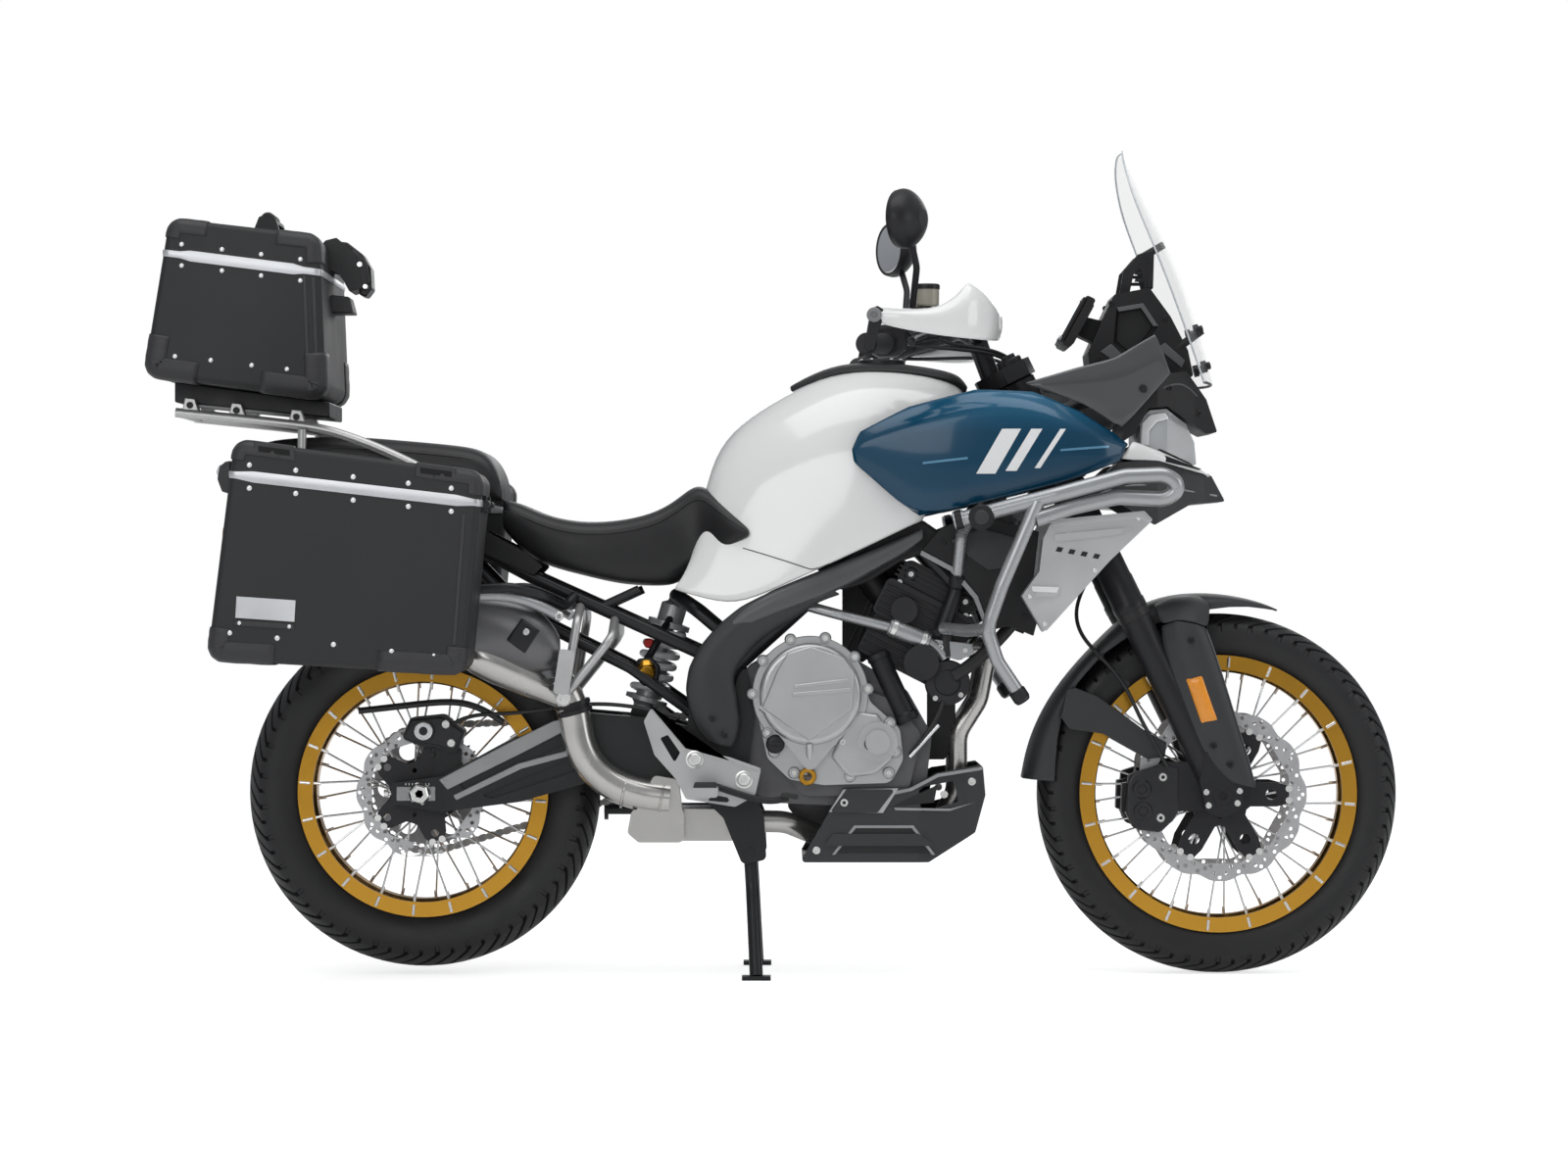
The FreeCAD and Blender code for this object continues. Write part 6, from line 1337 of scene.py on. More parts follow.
def seam_strip(name, corners, seam, low_y, high_y, body):
    """A strip all round a case along its seam, narrower at the corners."""
    rows = []
    for level, out in ((-1, 0.3), (-1, 1.5), (-0.35, 2.2), (0.35, 2.2), (1, 1.5), (1, 0.3)):
        middle, rear, front = case_ring(corners, seam, low_y, high_y, 0.0, out)
        ring = []
        for x, y, z in middle:
            edge = min(x - rear, front - x)
            share = min(1.0, max(0.0, (edge - 30) / 10))
            ring.append((x, y, z + level * (6.0 + 3.6 * share)))
        rows.append(ring)
    points = [p for row in rows for p in row]
    count = len(rows[0])
    faces = []
    for i in range(len(rows)):
        for j in range(count):
            k, n = (j + 1) % count, (i + 1) % len(rows)
            faces.append((i * count + j, i * count + k, n * count + k, n * count + j))
    return piece(name, mesh_of(name, points, faces), band_silver, body, sharp=30)


side_corners = [(-338, 580), (106, 555), (139, 904), (-291, 961)]
side_seam = [(-400, 912.1), (240, 838.5)]
top_corners = [(-487, 1084), (-160, 1041), (-172, 1335), (-441, 1366)]
top_seam = [(-560, 1316.9), (-40, 1251.5)]
for s, word in hands:
    low, high = sorted((s * 264.3, s * 500))
    seam_strip("side_case_strip_" + word, side_corners, side_seam, low, high, "chassis")
    spots = [
        (x, s * 500, line_z(side_seam, x) + rise) for x in (-264, -184, -85, 10, 84) for rise in (20, -20)
    ]
    low_spots = [(-298, 627), (-216, 618), (-119, 607), (-19, 595), (54, 587)]
    above = [p for p in spots if p[2] > line_z(side_seam, p[0])]
    below = [p for p in spots if p[2] < line_z(side_seam, p[0])] + [(x, s * 500, z) for x, z in low_spots]
    bolts(
        "side_lid_rivets_" + word, above, (0, s, 0), 4.6, 2.4, rivet_white, "side_case_lid_" + word,
        dome=True,
    )
    bolts("side_case_rivets_" + word, below, (0, s, 0), 4.6, 2.4, rivet_white, "chassis", dome=True)
seam_strip("top_case_strip", top_corners, top_seam, -220, 220, "chassis")
for word, rise, body in (("lid", 19, "top_case_lid"), ("body", -19, "chassis")):
    spots = [(x, s * 220, line_z(top_seam, x) + rise) for s in (-1, 1) for x in (-418, -346, -276, -206)]
    if word == "body":
        spots += [
            (x, s * 220, z) for s in (-1, 1)
            for x, z in ((-430, 1118), (-366, 1111), (-293, 1102), (-230, 1095))
        ]
    bolts(
        "top_case_rivets_" + word, spots, [(0, y, 0) for _, y, _ in spots], 4.4, 2.4, rivet_white, body,
        dome=True
    )


def corner_path(corners, index, before, after):
    """Places and outward ways along a case's outline, from one side of a corner to the other."""
    corner = Vector((*corners[index], 0))
    ways = [(Vector((*corners[(index + d) % 4], 0)) - corner).normalized() for d in (-1, 1)]
    cos_half = (ways[0] + ways[1]).normalized().dot(ways[0])
    sin_half = math.sqrt(1 - cos_half ** 2)
    radius = 26.0
    back = radius * cos_half / sin_half
    centre = corner + (ways[0] + ways[1]).normalized() * (radius / sin_half)
    norms = [-(w.cross(Vector((0, 0, 1))) * (1 if i == 0 else -1)) for i, w in enumerate(ways)]
    norms = [n if n.dot(corner - centre) > 0 else -n for n in norms]
    path = [(corner + ways[0] * (back + (before - back) * k / 4), norms[0]) for k in (4, 3, 2, 1)]
    for k in range(7):
        n = norms[0].slerp(norms[1], k / 6)
        path.append((centre + n * radius, n))
    path += [(corner + ways[1] * (back + (after - back) * k / 4), norms[1]) for k in (1, 2, 3, 4)]
    return path


def corner_guard(name, corners, index, before, after, face_y, depth, arm, body, mirrored=True, ribs=1.6):
    """A moulded cap that wraps a case's corner over three faces, with shallow ribs across it."""
    rows = []
    for k, (p, n) in enumerate(corner_path(corners, index, before, after)):
        r = ribs * (k % 2) * (0 < k < 14)
        row = [
            (face_y - depth, 0.4), (face_y - depth, 2.4 + r), (face_y - 14, 2.4 + r),
            (face_y - 2, -1.0 + r * 0.6), (face_y + 2.2 + r, -12), (face_y + 2.2 + r, -arm + 3),
            (face_y + 0.3, -arm),
        ]
        rows.append([(p.x + n.x * out, y, p.y + n.y * out) for y, out in row])
    return skin(name, rows, case_trim, body, levels=1, thick=1.2, both=mirrored, rim_crease=1.0, sharp=30,
                creases=(("col", 2, 0.6), ("col", 4, 0.6)))


corner_guard("side_case_guards_rear", side_corners, 0, 58, 116, 500, 70, 34, "chassis")
corner_guard("side_case_guards_front", side_corners, 1, 150, 46, 500, 70, 34, "chassis")
corner_guard("top_case_guards_rear", top_corners, 0, 76, 96, 220, 74, 36, "chassis")
corner_guard("top_case_guards_front", top_corners, 1, 120, 84, 220, 74, 36, "chassis")
corner_guard("top_lid_guards_front", top_corners, 2, 50, 76, 220, 74, 26, "top_case_lid", ribs=0.8)
corner_guard("top_lid_guards_rear", top_corners, 3, 70, 34, 220, 74, 26, "top_case_lid", ribs=0.8)
for s, word in hands:
    for index, end, before, after in ((2, "front", 40, 84), (3, "rear", 84, 34)):
        made = corner_guard(
            "side_lid_guard_%s_%s" % (end, word), side_corners, index, before, after, 500, 70, 24,
            "side_case_lid_" + word, mirrored=False, ribs=0.8,
        )
        if s < 0:
            made.data.transform(Matrix.Scale(-1, 4, (0, 1, 0)))
            made.data.flip_normals()

# Case fittings: grips in the side lids' upper edges, draw latches at the rear edges, a blank plate
# low on each side, pressed ribs near the front, and the top case's over-centre latch and handle.
# The grips' hand slots are flat near-black patches on the lids: painted shade in the openings.
slot_shade_black = finish("slot_shade_black", (0.004, 0.004, 0.004), 0.8, mottle=0.0, vary=0.0)
for s, word in hands:
    lid = "side_case_lid_" + word
    top_line = [side_corners[3], side_corners[2]]
    grips, slots = [], []
    for middle in (-221, 58):
        shape = [
            (x, line_z(top_line, x) + rise)
            for x, rise in ((middle - 37, -24), (middle - 34, 2.5), (middle + 34, 2.5), (middle + 37, -24))
        ]
        grips.append(side_block(shape, s * 470, s * 502))
        shape = [
            (x, line_z(top_line, x) + rise)
            for x, rise in ((middle - 27, -16), (middle - 27, -6), (middle + 27, -6), (middle + 27, -16))
        ]
        slots.append(side_block(shape, s * 500, s * 502.6))
    prisms("side_lid_grips_" + word, grips, case_trim, lid, bevel=2.5)
    prisms("side_lid_grip_slots_" + word, slots, slot_shade_black, lid, bevel=0)
    x, z = -309, line_z(side_seam, -309)
    latch = [(-304, z - 34), (-318, z - 30), (-326, z - 8), (-322, z + 14), (-312, z + 22), (-302, z + 24)]
    prisms(
        "side_latch_" + word,
        [side_block(latch, s * (y - 17), s * (y + 17)) for y in (340, 430)], case_trim, "chassis", bevel=2.5
    )
    keeper = [(-306, z - 16), (-322, z - 12), (-329, z + 4), (-324, z + 16), (-308, z + 20)]
    prisms(
        "side_latch_keepers_" + word, [side_block(keeper, s * (y - 7), s * (y + 7)) for y in (340, 430)],
        band_silver, "chassis", bevel=2
    )
    tag = [(-288, 653), (-286, 690), (-184, 683), (-186, 646)]
    prisms("blank_plate_" + word, [side_block(tag, s * 500, s * 501.6)], band_silver, "chassis", bevel=0.5)
    strap = [(-290, 640), (-289, 649), (-186, 642), (-187, 633)]
    prisms("plate_foot_" + word, [side_block(strap, s * 500, s * 502.2)], case_trim, "chassis", bevel=1)
    bolts(
        "plate_screws_" + word, [(-281, s * 502, 644), (-195, s * 502, 638)], (0, s, 0), 3.4, 1.8,
        rivet_white, "chassis", dome=True,
    )
    fold = [(86, 606), (92, 606), (109, 832), (103, 832)]
    prisms(
        "side_case_fold_" + word, [side_block(fold, s * 499.6, s * 501.6)], case_trim, "chassis", bevel=0.9
    )
folds = [
    [(-196, 1110), (-190, 1109), (-196, 1262), (-202, 1263)],
    [(-180, 1108), (-174, 1107), (-180, 1258), (-186, 1259)],
]
for s, word in hands:
    prisms(
        "top_case_folds_" + word, [side_block(f, s * 219.6, s * 221.4) for f in folds], case_trim, "chassis",
        bevel=0.8
    )
lever = [
    (-160, 1338), (-140, 1336), (-112, 1314), (-97, 1288), (-95, 1250), (-106, 1236), (-118, 1240),
    (-121, 1268), (-136, 1298), (-166, 1322),
]
arms = [
    side_block(
        [(-150, 1300), (-128, 1322), (-104, 1300), (-98, 1262), (-112, 1252), (-124, 1274), (-140, 1288)],
        y, y + 9,
    )
    for y in (-50, 41)
]
prisms("top_latch_lever", [side_block(lever, -34, 34)] + arms, satin_black, "top_case_lid", bevel=3)
for name, x, z, half, radius in (
    ("top_latch_pin", -116, 1294, 55, 5.5), ("top_latch_hook", -106, 1254, 52, 5),
    ("top_latch_pivot", -146, 1322, 44, 6),
):
    sleeve(
        name, (x, -half, z), (x, half, z),
        [(0, radius * 0.8), (1.5, radius), (2 * half - 1.5, radius), (2 * half, radius * 0.8)],
        nipple_steel, "top_case_lid", 20,
    )
prisms(
    "top_latch_seat", [side_block([(-172, 1206), (-172, 1240), (-136, 1236), (-128, 1206)], -40, 40)],
    case_trim, "chassis", bevel=3,
)
sleeve(
    "top_handle_grip", (-284, -50, 1377), (-284, 50, 1377),
    [(0, 9), (3, 12)] + [
        (6 + i * 8.8 + d, r) for i in range(10)
        for d, r in ((0, 12.2), (1.2, 13.2), (6.6, 13.2), (7.8, 12.2))
    ] + [(97, 12), (100, 9)],
    rubber, "top_case_lid", 24
)

# Top rack: bent silver tubes with two cross tubes, welded together. The top case stands on a dark
# base plate above them, held by six clamps with their screws.
rack_tube = finish(
    "rack_tube_silver", (0.56, 0.56, 0.55), 0.36, metal=0.7, grain=0.25, grain_mm=0.6, mottle=0.15
)
rail = [
    (70, 156, 884), (40, 156, 900), (-2, 156, 923), (-24, 156, 934), (-50, 155, 946), (-86, 154, 962),
    (-130, 150, 978), (-175, 146, 992), (-230, 143, 1000), (-440, 132, 1021),
]
strut = [(-210, 150, 990), (-211, 150, 930), (-212, 149, 880), (-212, 140, 862), (-214, 112, 842)]
foot = [(74, 156, 880), (74, 154, 862), (72, 146, 838), (66, 119, 804)]


def both_ways(route):
    """A route and its mirror image."""
    return [route, [(x, -y, z) for x, y, z in route]]


pipe("top_rack_rails", both_ways(rail), 9, rack_tube, "chassis", hides=("top_rack",))
pipe("top_rack_struts", both_ways(strut) + both_ways(foot), 8, rack_tube, "chassis", hides=("top_rack",))
pipe(
    "top_rack_cross_tubes",
    [[(x, y, z) for y in (-134, -60, 60, 134)] for x, z in ((-200, 995), (-432, 1020))], 8, rack_tube,
    "chassis", hides=("top_rack",)
)
base_line = [top_corners[0], top_corners[1]]
base = [
    (-444, 1040), (-444, line_z(base_line, -444) - 0.6), (-164, line_z(base_line, -164) - 0.6),
    (-164, 1012),
]
prisms(
    "case_base_plate", [side_block(base, -118, 118)], satin_black, "chassis", bevel=3, hides=("top_rack",)
)
feet = []
for x in (-414, -330, -222):
    z = line_z([(-440, 1021), (-175, 992)], x)
    for s in (-1, 1):
        feet.append(
            side_block(
                [(x - 15, z + 2), (x - 9, z + 30), (x + 9, z + 28), (x + 17, z + 2)], s * 104, s * 137
            )
        )
prisms("case_clamps", feet, rack_tube, "chassis", bevel=2)
clamp_spots = [
    (x, s * 137, line_z([(-440, 1021), (-175, 992)], x) + 16) for x in (-414, -330, -222) for s in (-1, 1)
]
bolts(
    "case_clamp_screws", clamp_spots, [(0, y, 0) for _, y, _ in clamp_spots], 6, 4, satin_black, "chassis"
)


# Engine side covers: bright castings. The clutch cover has a raised plateau, cast ribs, bosses with
# socket screws round its edge, a black filler cap and a gold-ringed oil window; the generator cover
# has a ring of screws and five ribs.
plateau = [(645, 556), (664, 588), (704, 601), (766, 580), (785, 551), (780, 487), (703, 430), (618, 490)]
prisms("clutch_plateau", [side_block(plateau, -186, -196)], cover_silver, "chassis", bevel=3)
cast_bars = [
    [(674, 524), (777, 536), (775, 543), (676, 531)], [(672, 510), (779, 519), (778, 526), (673, 517)],
]
prisms("clutch_bars", [side_block(b, -194, -199) for b in cast_bars], cover_silver, "chassis", bevel=1.6)
pipe("clutch_ribs", [
    [(616, -184, 492), (652, -186, 464), (703, -187, 424), (752, -186, 456), (786, -184, 484)],
    [(703, -187, 426), (703, -180, 404), (703, -168, 380)],
], 6.5, cover_silver, "chassis")
ring_points, ring_faces = lathe(
    [(90, -160), (103, -160), (104.5, -162), (104.5, -169), (103, -171), (92, -171)], (705, 514), 96, True
)
piece("clutch_flange", mesh_of("clutch_flange", ring_points, ring_faces), cover_silver, "chassis")
lobe = [(778, 484), (828, 478), (850, 430), (852, 396), (822, 370), (774, 364), (742, 400)]
prisms("pump_lobe", [side_block(lobe, -160, -177)], cover_silver, "chassis", bevel=6)
prisms("pump_recess", [side_block(circle(812, 424, 11, 20), -183, -185.2)], case_silver, "chassis", bevel=1)
# A dark ring in the hollow between the clutch cover's dome and its flange: painted shade, for contrast in
# the groove.
shadow_points, shadow_faces = lathe(
    [(86.5, -170), (91.4, -170), (91.4, -178), (86.5, -182)], (705, 514), 96, True
)
groove_shade = finish("casting_groove_shade", (0.06, 0.06, 0.062), 0.6, metal=0.3)
piece("clutch_groove", mesh_of("clutch_groove", shadow_points, shadow_faces), groove_shade, "chassis")
rim_spots = [
    (705 + 104 * math.cos(a), 514 + 104 * math.sin(a))
    for a in (math.radians(d) for d in (5, 40, 75, 110, 145, 180, 222, 262, 304))
]
edge_spots = [(624, 478), (640, 410), (676, 372), (776, 366), (846, 372), (858, 410), (848, 462)]
for i, (x, z) in enumerate(rim_spots):
    sleeve(
        "clutch_boss_%d" % i, (x, -160, z), (x, -175, z), [(0, 11), (11, 10), (13, 8.6), (13, 6.5)],
        cover_silver, "chassis", 24,
    )
bolts("clutch_screws", [(x, -172.5, z) for x, z in rim_spots], (0, -1, 0), 5.6, 5, nipple_steel, "chassis")
for i, (x, z) in enumerate(edge_spots):
    sleeve(
        "cover_boss_%d" % i, (x, -158, z), (x, -171, z), [(0, 12), (8, 11), (10.5, 9), (10.5, 6.5)],
        cover_silver, "chassis", 24,
    )
bolts("cover_screws", [(x, -168, z) for x, z in edge_spots], (0, -1, 0), 5.6, 5, nipple_steel, "chassis")
sleeve(
    "filler_cap", (642, -174, 424), (642, -192, 424),
    [(0, 17), (3, 17), (4, 15)] + [
        (5 + i * 1.6, 14.2 + (i % 2) * 1.2) for i in range(7)
    ] + [(17, 14), (18, 12), (18, 5)],
    satin_black, "chassis", 36
)
prisms(
    "filler_cap_grip", [side_block([(630, 422), (630, 427), (654, 427), (654, 422)], -190, -195)],
    satin_black, "chassis", bevel=1.4,
)
sleeve(
    "oil_window_ring", (700, -174, 366), (700, -182, 366),
    [(0, 16), (5, 16), (7, 14.5), (7, 10.5), (4, 10)], gold, "chassis", 36,
)
window_dark = finish("oil_window", (0.05, 0.03, 0.012), 0.06, grain=0.0, mottle=0.1, coat=1.0)
sleeve(
    "oil_window_pane", (700, -170, 366), (700, -179, 366), [(0, 10), (7, 10), (8.4, 7), (8.8, 1)],
    window_dark, "chassis", 28,
)
left_ring = lathe([(60, 150), (86, 150), (88, 152), (88, 170), (84, 173), (74, 173)], (810, 450), 96, True)
piece("generator_flange", mesh_of("generator_flange", *left_ring), cover_silver, "chassis")
left_spots = [
    (810 + 80 * math.cos(math.tau * i / 8 + 0.2), 450 + 80 * math.sin(math.tau * i / 8 + 0.2))
    for i in range(8)
]
bolts(
    "generator_screws", [(x, 172.5, z) for x, z in left_spots], (0, 1, 0), 5.2, 4.6, nipple_steel, "chassis"
)
vanes = []
for i in range(5):
    a = math.tau * i / 5 + 0.5
    c, s = math.cos(a), math.sin(a)
    vanes.append(
        [
            (810 + 14 * c - 3 * s, 450 + 14 * s + 3 * c), (810 + 62 * c - 3 * s, 450 + 62 * s + 3 * c),
            (810 + 62 * c + 3 * s, 450 + 62 * s - 3 * c), (810 + 14 * c + 3 * s, 450 + 14 * s - 3 * c),
        ]
    )
prisms("generator_ribs", [side_block(v, 188, 193) for v in vanes], cover_silver, "chassis", bevel=1.6)
gear_spots = [(652, 424), (700, 360), (766, 352), (752, 534), (684, 548), (652, 470)]
bolts(
    "gear_cover_screws", [(x, 164, z) for x, z in gear_spots], (0, 1, 0), 5.2, 4.6, nipple_steel, "chassis"
)

# Cylinders: black castings with cooling ribs along their flanks, a cam cover on screws, a round
# housing in front and a barrel beside them, with a bright coolant pipe, hoses and leads between.
lean_sin, lean_cos = math.sin(math.radians(27)), math.cos(math.radians(27))


def up_engine(distance, ahead):
    """An (x, z) place up the cylinders' lean from the crankshaft, and ahead of their middle."""
    return 810 + distance * lean_sin + ahead * lean_cos, 450 + distance * lean_cos - ahead * lean_sin


rib_shapes = []
for s in (-1, 1):
    for low, back, front, face in [(126 + 11 * i, -80, 68, 127) for i in range(6)] + [
        (200 + 11.5 * i, -86, 80, 133) for i in range(5)
    ]:
        rib = [
            up_engine(low, back), up_engine(low, front), up_engine(low + 4.5, front),
            up_engine(low + 4.5, back),
        ]
        rib_shapes.append(side_block(rib, s * face, s * (face + 6)))
prisms("cylinder_ribs", rib_shapes, head_black, "chassis", bevel=1.2)
rail = [up_engine(256, -84), up_engine(256, 78), up_engine(265, 78), up_engine(265, -84)]
prisms("cam_cover_rail", [side_block(rail, -127, 127)], head_black, "chassis", bevel=2.5)
cam_spots = [
    (*up_engine(d, f), s) for d, f in ((284, -58), (284, 52), (262, -70), (262, 64)) for s in (-1, 1)
]
for i, (x, z, s) in enumerate(cam_spots[:4]):
    sleeve(
        "cam_boss_%d" % i, (x, s * 118, z), (x, s * 128, z), [(0, 13), (7, 12), (9, 10), (9, 6.5)],
        head_black, "chassis", 24,
    )
bolts(
    "cam_cover_screws", [(x, s * 126, z) for x, z, s in cam_spots], [(0, s, 0) for _, _, s in cam_spots],
    5.4, 5, nipple_steel, "chassis"
)
sleeve(
    "front_housing", (952, -92, 534), (952, -152, 534),
    [(0, 38), (50, 39), (52, 41), (55, 41), (58, 38), (59, 24), (56, 22), (56, 8)], head_black, "chassis",
    48,
)
sleeve(
    "starter_barrel", (824, -140, 588), (886, -146, 456),
    [(0, 14), (3, 20), (12, 21), (14, 19), (120, 19), (124, 22), (134, 22), (138, 18)], satin_black,
    "chassis", 36,
)
prisms(
    "housing_bracket",
    [side_block([(928, 612), (996, 604), (1000, 586), (972, 574), (938, 584)], -149, -153)], bar_silver,
    "chassis", bevel=1.4,
)
bolts(
    "housing_screws", [(940, -152, 598), (984, -152, 592), (930, -150, 506), (976, -150, 512)], (0, -1, 0),
    5.2, 5, nipple_steel, "chassis",
)
coolant = [
    (700, -140, 672), (728, -150, 664), (776, -152, 651), (846, -152, 635), (900, -152, 618),
    (932, -150, 602), (948, -146, 578),
]
pipe("coolant_pipe", [coolant], 9.5, bar_silver, "chassis", sides=5)
sleeve(
    "coolant_sleeve", (846, -152, 636), (922, -151, 606),
    [(0, 11), (2, 15), (26, 15.6), (78, 15), (80, 11)], bar_silver, "chassis", 32,
)
for i, (a, b) in enumerate((((852, -152, 634), (862, -152, 630)), ((905, -151, 613), (915, -151, 609)))):
    sleeve(
        "coolant_clip_%d" % i, a, b, [(0, 15.8), (1, 16.6), (9, 16.6), (10, 15.8)], nipple_steel, "chassis",
        32,
    )
pipe("engine_hoses", [
    [
        (1036, -142, 834), (1010, -148, 800), (984, -146, 746), (960, -140, 690), (948, -142, 640),
        (950, -144, 580),
    ],
    [(1078, -120, 650), (1040, -132, 600), (990, -146, 560), (962, -148, 545)],
], 12, hose_black, "chassis", sides=4)
pipe("engine_leads", [
    [(586, -150, 600), (640, -148, 640), (720, -146, 700), (800, -140, 742)],
    [(884, -152, 402), (902, -156, 428), (928, -156, 452), (944, -150, 500)],
], 4.2, hose_black, "chassis")
pipe("gear_rod", [[(884, -154, 400), (936, -154, 458)]], 4, spoke_steel, "chassis")

# Radiator: a row of thin bright fins pressed onto the core, between its side tanks. The core, the
# tanks and the fan behind are the solid itself.
core_low, core_high = Vector((1086, 0, 640)), Vector((1046, 0, 846))
core_up = (core_high - core_low).normalized()
core_ahead = Vector((core_up.z, 0, -core_up.x))
fin_shapes = []
for i in range(30):
    spot = core_low + core_up * (24 + i * 5.9) + core_ahead * 12
    edge = [spot, spot + core_ahead * 7, spot + core_ahead * 7 + core_up * 1.2, spot + core_up * 1.2]
    fin_shapes.append(([(p.x, -132, p.z) for p in edge], (0, 264, 0)))
prisms("radiator_fins", fin_shapes, spoke_steel, "chassis", bevel=0)

# Skid plate: a charcoal plate wrapped under the engine, with a bright bolted panel. Its dark darts are
# painted shade, and the pale colour of its folds and top edge is a painted highlight on raised edges.
edge_pale = finish("edge_pale", (0.3, 0.305, 0.31), 0.4, grain=0.3, grain_mm=0.9)
plate_bright = finish(
    "plate_bright", (0.5, 0.5, 0.5), 0.34, metal=0.5, grain=0.3, grain_mm=0.9, mottle=0.08
)
# Near-black patches for darts, slots and insets: painted shade in recesses and openings.
recess_shade_black = finish("recess_shade_black", (0.009, 0.009, 0.01), 0.6, mottle=0.05)
for s, word in hands:
    panel = [(764, 342), (864, 344), (836, 299), (738, 301)]
    prisms("skid_panel_" + word, [side_block(panel, s * 149, s * 154)], plate_bright, "chassis", bevel=1.6)
    # The pale lip along the plate's top edge is a painted highlight.
    lip = [(852, 338), (884, 344), (934, 370), (1016, 383), (1015, 377), (936, 364), (888, 339), (856, 332)]
    prisms("skid_lip_" + word, [side_block(lip, s * 149, s * 153)], edge_pale, "chassis", bevel=1.2)
    # The dark dart and the low panel inside the raised frame are painted shade.
    dart = [(852, 311), (934, 350), (928, 318)]
    low = [(750, 227), (787, 272), (888, 272), (924, 227)]
    prisms(
        "skid_darts_" + word, [side_block(dart, s * 149.6, s * 151), side_block(low, s * 149.6, s * 151)],
        recess_shade_black, "chassis", bevel=0.4,
    )
    # The wedge and the raised frame are paler: painted highlights on their edges.
    wedge = [(856, 309), (958, 307), (1000, 318), (956, 303), (858, 304)]
    fold = [(744, 224), (784, 277), (891, 277), (930, 224), (924, 224), (888, 272), (787, 272), (750, 224)]
    prisms(
        "skid_folds_" + word,
        [side_block(wedge, s * 149.6, s * 152.6), side_block(fold, s * 149.6, s * 152)], edge_pale,
        "chassis", bevel=0.6,
    )
    bolts(
        "skid_screws_" + word,
        [(766, s * 153, 318), (946, s * 150, 333), (996, s * 150, 356), (716, s * 150, 232)], (0, s, 0), 7,
        4.5, nipple_steel, "chassis",
    )

# Frame covers: moulded shells that bulge over the lower frame, and a paler sweep above them that follows
# the spar up to the tank; the sweep's paler grey is partly its own tone and partly a painted highlight.
# Two screws show on each side.
cover_pale = finish("cover_pale", (0.085, 0.087, 0.09), 0.34, grain=0.35, grain_mm=0.9, mottle=0.12)
cover_stations = (
    ((523, 429), (545, 421), (564, 418)), ((503, 448), (540, 438), (573, 432)),
    ((488, 480), (534, 472), (580, 462)), ((480, 522), (526, 516), (574, 506)),
    ((486, 562), (528, 556), (566, 546)), ((506, 600), (546, 584), (582, 574)),
    ((538, 638), (574, 618), (608, 604)), ((580, 672), (612, 646), (640, 628)),
    ((630, 697), (660, 670), (684, 654)), ((684, 716), (702, 696), (722, 680)),
    ((716, 722), (736, 706), (758, 692)),
)
cover_rows = []
for i, (outer, middle, inner) in enumerate(cover_stations):
    full = min(1.0, 0.45 + 0.2 * min(i, len(cover_stations) - 1 - i))
    cover_rows.append([
        (outer[0], 166, outer[1]),
        (outer[0] * 0.96 + middle[0] * 0.04, 168 + 20 * full, outer[1] * 0.96 + middle[1] * 0.04),
        (outer[0] * 0.5 + middle[0] * 0.5, 170 + 26 * full, outer[1] * 0.5 + middle[1] * 0.5),
        (middle[0], 170 + 24 * full, middle[1]),
        (inner[0] * 0.94 + middle[0] * 0.06, 168 + 12 * full, inner[1] * 0.94 + middle[1] * 0.06),
        (inner[0], 166, inner[1]),
    ])
skin(
    "frame_cover_shells", cover_rows, charcoal, "chassis", hides=("frame_side_covers",), both=True, thick=4,
    rim_crease=0.4, creases=(("col", 1, 0.5),),
)
# The sweeps' paler grey is partly the moulding's lighter tone and partly a painted highlight along the spar.
sweep_rows = []
for (ox, oz), (ix, iz), out in (((548, 636), (566, 622), 189), ((582, 668), (604, 642), 194),
                                ((634, 700), (662, 664), 193), ((692, 724), (724, 686), 188),
                                ((752, 748), (780, 712), 181), ((812, 772), (832, 742), 177),
                                ((866, 794), (878, 768), 175), ((906, 812), (908, 792), 173)):
    sweep_rows.append(
        [
            (ox, out - 12, oz), (ox * 0.9 + ix * 0.1, out + 1, oz * 0.9 + iz * 0.1),
            ((ox + ix) / 2, out + 4, (oz + iz) / 2), (ox * 0.1 + ix * 0.9, out + 1, oz * 0.1 + iz * 0.9),
            (ix, out - 12, iz),
        ]
    )
skin(
    "cover_sweeps", sweep_rows, cover_pale, "chassis", hides=("frame_side_covers",), both=True, thick=4,
    rim_crease=0.5, creases=(("col", 3, 0.6),),
)
for s, word in hands:
    bolts(
        "cover_fasteners_" + word, [(530, s * 193, 470), (552, s * 190, 440)], (0, s, 0), 6, 4, satin_black,
        "chassis",
    )

# Side covers of the radiator and the air box: flat black panels behind the bars that close the
# space under the tank, with a pale lower fold. Trays inside hold the loom and shield the front.
prisms(
    "loom_tray",
    [
        side_block(
            [(764, 590), (764, 742), (800, 766), (866, 786), (900, 700), (850, 600), (800, 568)], -34, -40
        )
    ],
    deep_black, "chassis", bevel=2,
)
prisms(
    "loom_tray_ribs",
    [
        side_block(
            [
                (770 + i * 20, 596 + i * 14), (774 + i * 20, 594 + i * 14), (824 + i * 12, 700 + i * 12),
                (820 + i * 12, 702 + i * 12),
            ],
            -39, -44,
        )
        for i in range(3)
    ],
    charcoal, "chassis", bevel=1
)
prisms(
    "front_shield",
    [side_block([(918, 392), (918, 548), (950, 560), (970, 520), (970, 420), (950, 392)], -52, -57)],
    deep_black, "chassis", bevel=2,
)
inner_panel = [
    (905, 772), (938, 812), (1001, 838), (1116, 806), (1106, 724), (1112, 642), (1106, 618), (1062, 636),
    (1028, 628), (1006, 690), (962, 742),
]
box_panel = [(716, 742), (800, 786), (906, 828), (938, 806), (922, 770), (868, 752), (812, 716), (764, 700)]
